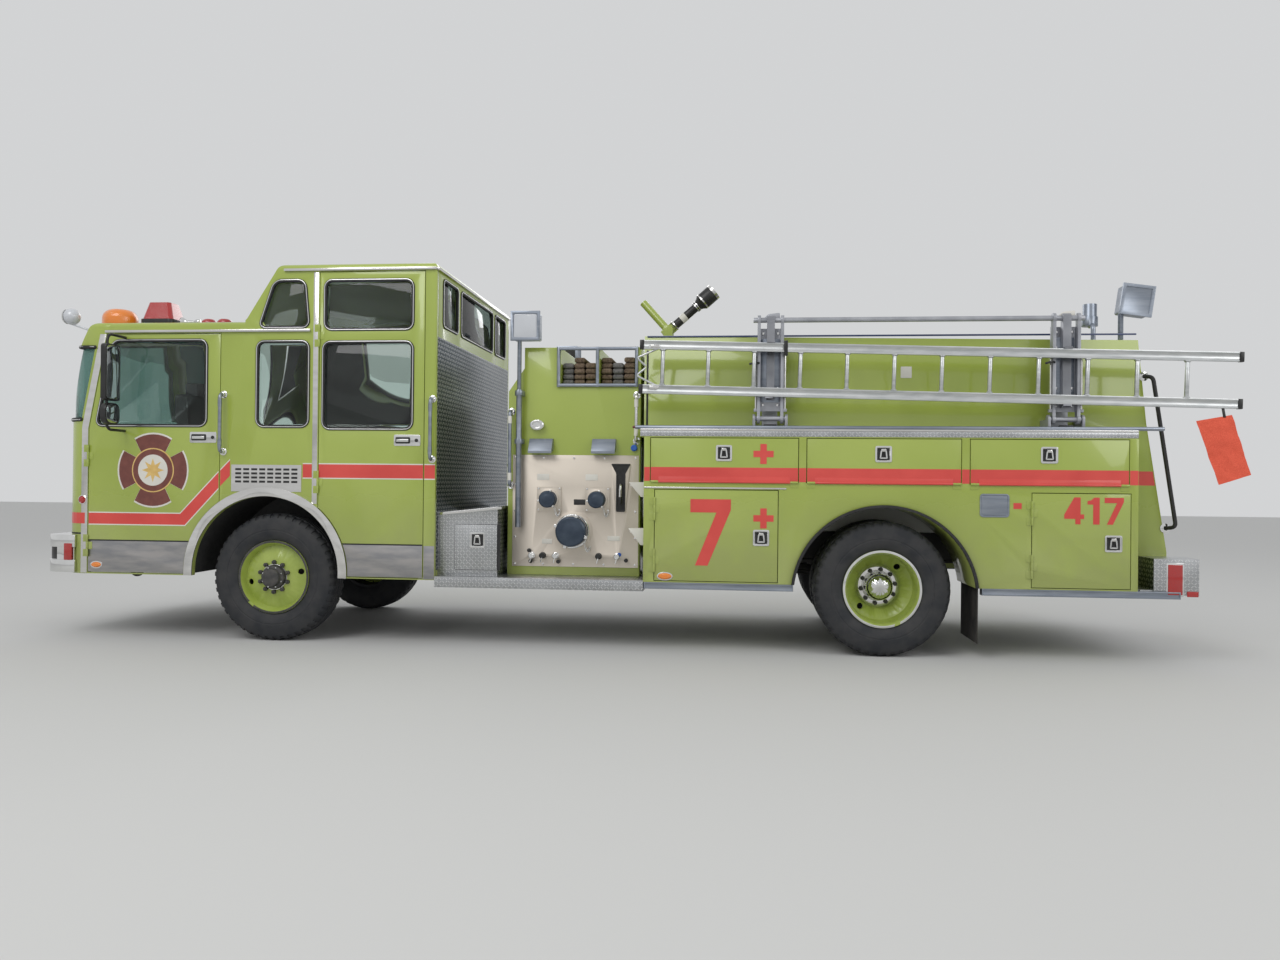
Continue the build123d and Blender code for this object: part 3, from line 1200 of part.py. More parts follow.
def pike_pole():
    """A long pole with a hook, laid on the ledge of the driver's side."""
    front, rear, y = PIKE
    z = BODY_TOP + LEDGE_T + FIT + PIKE_R
    pole = rod((front, -y, z), (rear, -y, z), PIKE_R)
    return pole + rod((front - 20, -y, z), (front + 60, -y, z), PIKE_R - 6)


# Lamps
def lamp_head(x, y, z, side, tilt=0.0):
    """A floodlight: a box with a raised rim round its glass, on a yoke."""
    front = y + side * LAMP_D / 2
    head = block(x - LAMP_W / 2, x + LAMP_W / 2, y - side * LAMP_D / 2, front, z, z + LAMP_H)
    head = fillet(head.edges().filter_by(Axis.Y), 16.0)
    rim = block(x - LAMP_W / 2 - LAMP_LIP, x + LAMP_W / 2 + LAMP_LIP, front - side * 4,
                front + side * 16, z - LAMP_LIP, z + LAMP_H + LAMP_LIP)
    rim -= block(x - LAMP_W / 2 + 14, x + LAMP_W / 2 - 14, front + side * 8, front + side * 20,
                 z + 14, z + LAMP_H - 14)
    if not tilt:
        return head + rim
    return Pos(x, y, z) * Rot(0, tilt, 0) * Pos(-x, -y, -z) * (head + rim)


def mast_sleeve(side):
    y = side * MAST_Y
    tube = rod((MAST_X, y, MAST_BOTTOM - 30), (MAST_X, y, SLEEVE_TOP), SLEEVE_R)
    tube -= rod((MAST_X, y, MAST_BOTTOM), (MAST_X, y, SLEEVE_TOP + 1), MAST_R + FIT)
    for z in (1648, 2040):
        clamp = block(MAST_X - 35, MAST_X + 35, side * (PUMP_SIDE + FIT), y, z - 20, z + 20)
        clamp += rod((MAST_X, y, z - 20), (MAST_X, y, z + 20), 34)
        tube += clamp - rod((MAST_X, y, z - 30), (MAST_X, y, z + 30), SLEEVE_R - 1)
    return tube


def mast(side):
    y = side * MAST_Y
    pole = rod((MAST_X, y, MAST_BOTTOM + FIT), (MAST_X, y, MAST_TOP), MAST_R)
    return pole + lamp_head(MAST_X + 60, y, MAST_TOP - 1, side)


def rear_lights():
    """A floodlight and a small clear lamp on posts at the tail of the bed."""
    y = -BED_SIDE + SHEET + FIT + 22
    low = BODY_TOP + LEDGE_T + FIT
    x, z, tilt = REAR_LAMP
    flood = rod((REAR_MAST_X - 14, y, low), (REAR_MAST_X - 14, y, z + 20), 20)
    flood += lamp_head(x, y, z, -1, tilt)
    x, z, radius = CLEAR_LAMP
    clear = pipe([(x, y, low), (x, y, z - 40), (x + 1, y + 80, z - 40)], 38, 18)
    clear += rod((x, y + 78, z - 42), (x, y + 78, z + 30), radius)
    clear += Pos(x, y + 78, z + 30) * Cylinder(radius - 8, 100, align=(Align.CENTER, Align.CENTER, Align.MIN))
    return [flood, clear]


def cab_lamps():
    """Domes and beacon on each side of the roof, headlamps and turn lamps."""
    pieces = []
    roof = LOW_ROOF_Z + FIT
    for _, side in SIDES:
        for _, x, y, radius, height in ROOF_LAMPS:
            place = Pos(CAB_FRONT + x, side * (HALF - y), roof)
            dome = Cylinder(radius, height, align=(Align.CENTER, Align.CENTER, Align.MIN))
            dome = fillet(dome.edges().sort_by(Axis.Z)[-1], min(radius, height) * 0.6)
            pieces.append(place * dome)
        length, depth, base, height = BEACON_SIZE
        place = Pos(CAB_FRONT + BEACON[0], side * (HALF - BEACON[1]), roof)
        low = place * Box(length, depth, base, align=(Align.CENTER, Align.CENTER, Align.MIN))
        low = fillet(low.edges().filter_by(Axis.Z), 40.0)
        hood = Pos(0, 0, base) * RectangleRounded(length - 20, depth - 20, 36)
        crown = Pos(0, 0, height) * RectangleRounded(length - 100, depth - 90, 30)
        pieces.append(low + place * loft([hood, crown]))
        y = (BEZEL_Y[0] + BEZEL_Y[1]) / 2
        z = (BEZEL_Z[0] + BEZEL_Z[1]) / 2
        x = CAB_FRONT - FIT - GRILLE_T + 8 - FIT
        for way in (-1, 1):
            lamp_y = side * y + way * (HEADLAMP_R + 18)
            lamp = rod((x - 30, lamp_y, z), (x, lamp_y, z), HEADLAMP_R)
            pieces.append(fillet(lamp.edges().sort_by(Axis.X)[0], 18.0))
        pieces.append(block(CAB_FRONT - FIT - 36, CAB_FRONT - FIT, side * BEZEL_Y[0], side * BEZEL_Y[1],
                            BEZEL_Z[1] + 20, BEZEL_Z[1] + 90))
    return pieces


def spot_lamp():
    """The egg-shaped spot lamp on the corner of the brow, with its stalk."""
    x, y, z = CAB_FRONT + SPOT_LAMP[0], -HALF + SPOT_LAMP[1], SPOT_LAMP[2]
    base_x, base_y, base_z = CAB_FRONT + SPOT_BASE[0], -HALF + SPOT_BASE[1], LOW_ROOF_Z - 60
    total = Pos(x, y, z) * Sphere(SPOT_R)
    total += rod((base_x, base_y, base_z), (x, y, z - SPOT_R + 8), 9)
    total += rod((base_x, base_y, base_z - 60), (base_x, base_y, base_z), 26)
    return total - cab_solid(-FIT)


def horn():
    """Bright trumpet horn on the roof, its bell towards the front."""
    x, z = CAB_FRONT + 866.0, LOW_ROOF_Z + FIT + 48.0
    y = -HALF + 300.0
    bell = [(0.0, 40.0), (10.0, 40.0), (45.0, 18.0), (120.0, 12.0), (130.0, 22.0), (160.0, 22.0)]
    trumpet = Pos(0, y, 0) * turned(bell, 0.0, x, z)
    trumpet += block(x + 70, x + 94, y - 10, y + 10, LOW_ROOF_Z + FIT, z)
    return trumpet


def tail_lamps():
    """Round lamps one above another on the slanted rear wall."""
    pieces = []
    x = BODY_REAR + SHEET + FIT
    for _, side in SIDES:
        for z in TAIL_LAMP_Z:
            pieces.append(rod((x, side * (BED_SIDE - 150), z), (x + 34, side * (BED_SIDE - 150), z), TAIL_LAMP_R))
    return pieces


# Deck gun
def gun_base():
    total = rod((GUN_X, 0, GUN_DECK_Z + FIT), (GUN_X, 0, GUN_DECK_Z + 30), GUN_BASE_R + 15)
    return total + rod((GUN_X, 0, GUN_DECK_Z + 29), (GUN_X, 0, GUN_DECK_Z + 130), GUN_BASE_R - 15)


def gun_swivel():
    z = GUN_DECK_Z + 130 + FIT
    total = rod((GUN_X, 0, z), (GUN_X, 0, z + 50), GUN_BASE_R)
    for _, side in SIDES:
        total += block(GUN_X - 40, GUN_X + 40, side * GUN_CHEEK, side * (GUN_CHEEK + 22), z + 40, GUN_PIVOT_Z)
        total += rod((GUN_X, side * GUN_CHEEK, GUN_PIVOT_Z), (GUN_X, side * (GUN_CHEEK + 22), GUN_PIVOT_Z), 44)
    return total


def gun_barrel():
    """Nozzle with its stream shaper and wide tip, and the lime pipe opposite it."""
    reach = GUN_CHEEK - FIT
    total = rod((GUN_X, -reach, GUN_PIVOT_Z), (GUN_X, reach, GUN_PIVOT_Z), 40)
    total += turned(NOZZLE, GUN_ANGLE, GUN_X, GUN_PIVOT_Z)
    tiller = ((0.0, TILLER_R), (TILLER_LENGTH, TILLER_R))
    return total + turned(tiller, TILLER_ANGLE, GUN_X, GUN_PIVOT_Z)


# Mirrors
def mirrors(side):
    """Mirror frame carried by the front door, with a flat and a round-edged glass head."""
    x = MIRROR_X
    low, high = MIRROR_Z
    y0, y1 = side * (HALF + FIT), side * (HALF + MIRROR_REACH)
    total = pipe([(x, y0, high), (x, y1, high), (x, y1, low), (x, y0, low)], 60, 11)
    for z0, z1, radius in ((*MIRROR_HEAD, 30.0), (*MIRROR_SPOT, 60.0)):
        head = block(x + 8, x + 52, y1 - side * 90, y1 + side * 90, z0, z1)
        total += fillet(head.edges().filter_by(Axis.X), radius)
    return total


def write_nodes(nodes):
    """Write one file for each node, moved so that X = 0 is the middle of the vehicle."""
    os.makedirs("parts", exist_ok=True)
    for name, solids in nodes:
        flat = []
        for piece in solids:
            flat += list(piece.solids())
        shape = Compound(children=[Pos(SHIFT, 0, 0) * one for one in flat])
        export_step(shape, "parts/" + name + ".step")


def build():
    # Each row is the name of a node and its list of solids
    engine = block(ENGINE_FRONT, ENGINE_REAR, -ENGINE_HALF, ENGINE_HALF, ENGINE_BOTTOM, ENGINE_TOP)
    nodes = [("cab_shell", cab_panels() + [cab_floor()]), ("cab_glass", cab_glass()),
             ("cab_interior", [engine_cover()] + cab_interior()), ("seats", seats()),
             ("front_bumper", [front_bumper()]), ("frame", frame()),
             ("running_gear", front_axle() + rear_axle() + [driveline()]),
             ("outer_trim", outer_trim()), ("engine_block", [engine]),
             ("tank_block", [tank_block()]), ("pump_house", [pump_house()]),
             ("pump_panels", pump_panels()), ("running_boards", running_boards() + step_boxes()),
             ("crosslay_hose", crosslay_hose()), ("hose_bed", [hose_bed()]),
             ("tail_step", [tail_step()]), ("mud_flaps", mud_flaps()),
             ("rack_columns", rack_columns()), ("rack_arms", [rack_arms()]),
             ("rack_cradle", cradle()), ("ladder", ladder()), ("flag", [flag()]),
             ("pike_pole", [pike_pole()]), ("rear_lights", rear_lights()),
             ("gun_base", [gun_base()]), ("gun_swivel", [gun_swivel()]),
             ("gun_barrel", [gun_barrel()]),
             ("lamps", cab_lamps() + [spot_lamp(), horn()] + tail_lamps()),
             ("mast_sleeves", [mast_sleeve(-1), mast_sleeve(1)])]
    for name, side in SIDES:
        front_hinges, crew_hinges = CAB_HINGES[:2], CAB_HINGES[2:]
        nodes.append((name + "_front_door",
                      cab_door(front_door_outline(), [FRONT_DOOR_PANE], front_hinges, side)))
        nodes.append((name + "_crew_door",
                      cab_door(crew_door_outline(), [CREW_PANE_LOW, CREW_PANE_HIGH],
                               crew_hinges, side)))
        nodes.append((name + "_mirror", [mirrors(side)]))
        nodes.append((name + "_knuckle", [knuckle(side)]))
        nodes.append((name + "_front_wheel", [front_wheel(side)]))
        nodes.append((name + "_front_tyre", [spun([tyre_section(FRONT_TYRE_Y)], FRONT_X, side)]))
        nodes.append((name + "_rear_wheels", rear_wheels(side)))
        rear = [spun([tyre_section(y)], 0.0, side) for y in (REAR_TYRE_Y, REAR_TYRE_Y - DUAL_SPACING)]
        nodes.append((name + "_rear_tyres", rear))
        nodes.append((name + "_side_body", [side_module(side)]))
        nodes.append((name + "_mast", [mast(side)]))
        for door, x0, x1 in UPPER_DOORS:
            nodes.append((name + "_" + door + "_door", [upper_door(x0, x1, side)]))
        for door, x0, x1 in LOWER_DOORS:
            nodes.append((name + "_" + door + "_door", [lower_door(x0, x1, side)]))
    write_nodes(nodes)


build()
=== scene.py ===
# %% [markdown]
# A fire engine, dressed in Blender
#
# The sizes of this engine come from a CAD model that is already packed: cab,
# pump bay, hose body, ladder rack, wheels and every door that opens. This
# notebook gives that model its paint, bright metal, rubber and glass, and adds
# the small things a CAD model leaves out. We never move a CAD piece. We either
# give it a better surface, or put a finer copy of it in the same place.

# %% Load the CAD model and keep its size
import json
import math
import random

import bmesh
import bpy
from mathutils import Matrix, Vector

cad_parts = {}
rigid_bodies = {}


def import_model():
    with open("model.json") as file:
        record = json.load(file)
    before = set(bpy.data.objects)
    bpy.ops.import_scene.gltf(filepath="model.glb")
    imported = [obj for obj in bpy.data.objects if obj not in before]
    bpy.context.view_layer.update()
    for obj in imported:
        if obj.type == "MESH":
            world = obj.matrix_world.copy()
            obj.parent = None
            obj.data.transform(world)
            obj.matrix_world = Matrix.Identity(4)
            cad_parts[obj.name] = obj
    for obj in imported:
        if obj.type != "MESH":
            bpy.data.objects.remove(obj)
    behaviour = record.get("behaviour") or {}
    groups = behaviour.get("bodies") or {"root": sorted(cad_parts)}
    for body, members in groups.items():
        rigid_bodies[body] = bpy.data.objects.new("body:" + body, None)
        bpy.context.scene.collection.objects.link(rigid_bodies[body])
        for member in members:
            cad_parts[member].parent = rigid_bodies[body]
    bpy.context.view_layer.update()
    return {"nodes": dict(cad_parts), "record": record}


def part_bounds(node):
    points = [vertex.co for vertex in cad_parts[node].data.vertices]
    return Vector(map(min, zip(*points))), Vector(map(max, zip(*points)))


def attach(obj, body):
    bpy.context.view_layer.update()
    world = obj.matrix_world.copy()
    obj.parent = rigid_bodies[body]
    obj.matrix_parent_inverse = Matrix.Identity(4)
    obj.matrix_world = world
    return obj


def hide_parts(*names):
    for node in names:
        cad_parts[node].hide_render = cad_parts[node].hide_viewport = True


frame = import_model()
nodes = frame["nodes"]
body_of_node = {node: body for body, group in frame["record"]["behaviour"]["bodies"].items()
                for node in group}

# %% [markdown]
# The camera
#
# A photograph fixes where its camera stood. We found it from straight edges
# whose real length is known, such as the body's width and the rims, so here it
# is only written down: nearly level, about 8.8 m from the middle of the engine,
# turned a little towards the cab. The lens follows from the focal length in
# pixels and the image width.

# %% Camera at the photograph's place
PHOTO_WIDTH = 1280
FOCAL_PIXELS = 974.8
CAMERA_PLACE = Vector((0.9699, -8.7662, 1.3155))
YAW, PITCH, ROLL = 5.773, 0.195, 0.554      # degrees

turn = (Matrix.Rotation(math.radians(YAW), 3, "Z")
        @ Matrix.Rotation(math.radians(90 + PITCH), 3, "X")
        @ Matrix.Rotation(math.radians(ROLL), 3, "Z"))
bpy.ops.object.camera_add(location=CAMERA_PLACE, rotation=turn.to_euler())
camera = bpy.context.active_object
camera.name = "photo_camera"
camera.data.sensor_width = 36.0
camera.data.lens = 36.0 * FOCAL_PIXELS / PHOTO_WIDTH
bpy.context.scene.camera = camera
bpy.context.scene.view_settings.view_transform = "Standard"
print("lens", round(camera.data.lens, 2), "mm")

# %% [markdown]
# Where things are
#
# A fire engine is drawn from its rear axle: a place along it is so many metres
# ahead (minus) or behind (plus). The CAD model stands with the middle of the
# whole vehicle at X = 0, so one small function turns a place on the drawing
# into a place in the model. The side walls are 1.22 m from the middle.

# %% Places along the engine
tyre_low, tyre_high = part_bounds("left_rear_tyres")
REAR_AXLE = (tyre_low.x + tyre_high.x) / 2
AXLE_HIGH = tyre_high.z / 2
SIDE = -1.22                    # the driver's side, which the photograph shows
PUMP_WALL = -0.905              # the pump bay stands back from the side walls
BED_WALL = -0.92               # and so does the wall of the hose bed


def st(x):
    """X in the model of a place given from the rear axle."""
    return x + REAR_AXLE


FRONT_AXLE = st(-4.88)
SIDES = (("left", -1), ("right", 1))
print("rear axle at", round(REAR_AXLE, 3), "axle height", round(AXLE_HIGH, 3))

# %% [markdown]
# Materials
#
# Each real surface has its own small function below. All of them read Object
# coordinates, which are metres on the engine, so a pattern keeps its size on
# every piece and stays where it is when a door opens. We begin with helpers
# that make a material with one Principled shader and let two tones wander over
# it, because no real paint or metal is one flat colour.


# %% Helpers for materials
def shader(name, colour, roughness=0.5, metallic=0.0, coat=0.0):
    """A new material; returns the material, its node tree and its Principled node."""
    material = bpy.data.materials.new(name)
    material.use_nodes = True
    tree = material.node_tree
    principled = tree.nodes["Principled BSDF"]
    principled.inputs["Base Color"].default_value = (*colour, 1.0)
    principled.inputs["Roughness"].default_value = roughness
    principled.inputs["Metallic"].default_value = metallic
    if coat:
        principled.inputs["Coat Weight"].default_value = coat
        principled.inputs["Coat Roughness"].default_value = 0.05
    return material, tree, principled


def noise(tree, scale, detail=4.0, stretch=(1, 1, 1)):
    """A noise texture on Object coordinates; returns its node."""
    place = tree.nodes.new("ShaderNodeTexCoord")
    mapping = tree.nodes.new("ShaderNodeMapping")
    mapping.inputs["Scale"].default_value = stretch
    texture = tree.nodes.new("ShaderNodeTexNoise")
    texture.inputs["Scale"].default_value = scale
    texture.inputs["Detail"].default_value = detail
    tree.links.new(place.outputs["Object"], mapping.inputs["Vector"])
    tree.links.new(mapping.outputs["Vector"], texture.inputs["Vector"])
    return texture


def ramp(tree, source, low, high, start=0.35, end=0.65):
    """A colour ramp between two colours, driven by a texture's value."""
    node = tree.nodes.new("ShaderNodeValToRGB")
    node.color_ramp.elements[0].position = start
    node.color_ramp.elements[1].position = end
    node.color_ramp.elements[0].color = (*low, 1.0)
    node.color_ramp.elements[1].color = (*high, 1.0)
    tree.links.new(source, node.inputs["Fac"])
    return node


def bump(tree, principled, source, strength, distance):
    """A bump from a texture's value into the shader's normal."""
    node = tree.nodes.new("ShaderNodeBump")
    node.inputs["Strength"].default_value = strength
    node.inputs["Distance"].default_value = distance
    tree.links.new(source, node.inputs["Height"])
    tree.links.new(node.outputs["Normal"], principled.inputs["Normal"])


def sums(tree, operation, first, second=None, third=None):
    """A math node; its inputs are numbers or other nodes' outputs."""
    node = tree.nodes.new("ShaderNodeMath")
    node.operation = operation
    for socket, value in zip(node.inputs, (first, second, third)):
        if value is None:
            continue
        if isinstance(value, (int, float)):
            socket.default_value = value
        else:
            tree.links.new(value, socket)
    return node.outputs[0]


def axes(tree):
    """X, Y and Z of the Object coordinates, each as a number."""
    place = tree.nodes.new("ShaderNodeTexCoord")
    split = tree.nodes.new("ShaderNodeSeparateXYZ")
    tree.links.new(place.outputs["Object"], split.inputs["Vector"])
    return split.outputs


def clamp(tree, value, most=1.0):
    """A value kept between nothing and a most."""
    node = tree.nodes.new("ShaderNodeClamp")
    node.inputs["Max"].default_value = most
    tree.links.new(value, node.inputs["Value"])
    return node.outputs[0]


def blend(tree, principled, factor, under, over):
    """Lay one flat colour over a pattern by a factor, as the base colour."""
    mix = tree.nodes.new("ShaderNodeMix")
    mix.data_type = "RGBA"
    mix.inputs["B"].default_value = (*over, 1.0)
    tree.links.new(factor, mix.inputs["Factor"])
    tree.links.new(under.outputs["Color"], mix.inputs["A"])
    tree.links.new(mix.outputs["Result"], principled.inputs["Base Color"])


def tinted(tree, principled, texture, low, high, start=0.35, end=0.65):
    """Let the base colour wander between two tones."""
    tones = ramp(tree, texture.outputs["Fac"], low, high, start, end)
    tree.links.new(tones.outputs["Color"], principled.inputs["Base Color"])


def grey(level):
    return (level, level, level)


def mixed(name, low, high, scale, roughness, metallic=0.0, coat=0.0, stretch=(1, 1, 1),
          bump_by=0.0, distance=0.001):
    """A material whose colour wanders between two close tones."""
    material, tree, principled = shader(name, low, roughness, metallic, coat)
    texture = noise(tree, scale, stretch=stretch)
    tinted(tree, principled, texture, low, high)
    if bump_by:
        bump(tree, principled, texture.outputs["Fac"], bump_by, distance)
    return material


# %% [markdown]
# Lime paint
#
# The engine is painted in the yellow-green of many fire departments. Gloss
# paint on a working truck is not even: it fades in soft patches, and road dust
# dulls it low down. So the colour wanders slowly, a second pattern mixes in a
# little dust below the waist, and the same dust makes the gloss rougher. A
# clear coat on top gives the sharp highlight of a waxed panel.

# %% The lime paint
def lime_paint():
    """Gloss lime with soft patches, road dust low down and a clear coat."""
    material, tree, principled = shader("lime paint", (0.36, 0.44, 0.08), 0.3, coat=0.6)
    patches = noise(tree, 0.9, detail=3.0)
    paint = ramp(tree, patches.outputs["Fac"], (0.325, 0.405, 0.066), (0.37, 0.45, 0.088))
    low_down = sums(tree, "MULTIPLY_ADD", axes(tree)["Z"], -0.9, 1.15)
    grit = noise(tree, 6.0, detail=8.0)
    dust = clamp(tree, sums(tree, "MULTIPLY", low_down, grit.outputs["Fac"]), 0.3)
    blend(tree, principled, dust, paint, (0.24, 0.22, 0.15))
    rough = sums(tree, "MULTIPLY_ADD", dust, 0.9, 0.24)
    tree.links.new(rough, principled.inputs["Roughness"])
    orange_peel = noise(tree, 260.0, detail=1.0)
    bump(tree, principled, orange_peel.outputs["Fac"], 0.04, 0.0006)
    return material


# %% [markdown]
# Tread plate
#
# Steps and the back of the cab are covered with diamond tread plate: bright
# aluminium with short raised bars that lie one way, then the other, like a
# woven pattern. On the back of the cab, the tail step, the tail wall and the ends
# of the running boards the plate gets a dark blue base instead, which is a
# painted reflection. It could be an image, but a pattern made of sums never
# blurs. We cut the plate into small squares, turn every second one by a right
# angle, and raise a thin lens along the diagonal of each.

# %% The tread plate pattern
def tread_plate(name, first, second, base=(0.5, 0.51, 0.52), pitch=0.024):
    """Bright plate with raised bars in the plane of two axes."""
    material, tree, principled = shader(name, base, 0.34, 1.0)
    split = axes(tree)
    u = sums(tree, "DIVIDE", split[first], pitch)
    v = sums(tree, "DIVIDE", split[second], pitch)
    cell_u, cell_v = sums(tree, "FLOOR", u), sums(tree, "FLOOR", v)
    odd = sums(tree, "FLOORED_MODULO", sums(tree, "ADD", cell_u, cell_v), 2.0)
    way = sums(tree, "MULTIPLY_ADD", odd, 2.0, -1.0)
    in_u = sums(tree, "SUBTRACT", sums(tree, "SUBTRACT", u, cell_u), 0.5)
    in_v = sums(tree, "SUBTRACT", sums(tree, "SUBTRACT", v, cell_v), 0.5)
    turned_v = sums(tree, "MULTIPLY", in_v, way)
    along = sums(tree, "ADD", in_u, turned_v)
    across = sums(tree, "SUBTRACT", in_u, turned_v)
    long_part = sums(tree, "POWER", sums(tree, "ABSOLUTE", sums(tree, "DIVIDE", along, 0.8)), 2.0)
    thin_part = sums(tree, "POWER", sums(tree, "ABSOLUTE", sums(tree, "DIVIDE", across, 0.26)), 2.0)
    bar = sums(tree, "SUBTRACT", 1.0, sums(tree, "ADD", long_part, thin_part))
    raised = clamp(tree, sums(tree, "MULTIPLY", bar, 2.2))
    bump(tree, principled, raised, 0.9, 0.0022)
    worn = noise(tree, 5.0, detail=6.0)
    tones = ramp(tree, worn.outputs["Fac"], tuple(0.8 * c for c in base), base)
    blend(tree, principled, sums(tree, "MULTIPLY", raised, 0.55), tones, grey(0.8))
    return material


# %% [markdown]
# Glass
#
# Safety glass is clear with a green tint, and the big windscreen is tinted
# more. Real transmission lets the seats show through, and a smooth coat keeps
# the sky's reflection sharp.

# %% Glass and lenses
def glass(name, colour, roughness=0.02, transmission=1.0):
    """Clear glass with a tint and a faint wave in its face."""
    material, tree, principled = shader(name, colour, roughness, 0.0)
    principled.inputs["Transmission Weight"].default_value = transmission
    principled.inputs["IOR"].default_value = 1.45
    wavy = noise(tree, 2.0, detail=1.0)
    bump(tree, principled, wavy.outputs["Fac"], 0.05, 0.002)
    tinted(tree, principled, wavy, tuple(0.93 * c for c in colour), colour)
    return material


def lens(name, colour, ribs=90.0, glow=0.0):
    """A moulded lamp lens with fine upright ribs inside."""
    material, tree, principled = shader(name, colour, 0.12, 0.0, coat=1.0)
    place = tree.nodes.new("ShaderNodeTexCoord")
    wave = tree.nodes.new("ShaderNodeTexWave")
    wave.inputs["Scale"].default_value = ribs
    tree.links.new(place.outputs["Object"], wave.inputs["Vector"])
    bump(tree, principled, wave.outputs["Fac"], 0.25, 0.002)
    tinted(tree, principled, wave, tuple(0.72 * c for c in colour), colour, 0.0, 1.0)
    if glow:
        principled.inputs["Emission Color"].default_value = (*colour, 1.0)
        principled.inputs["Emission Strength"].default_value = glow
    return material


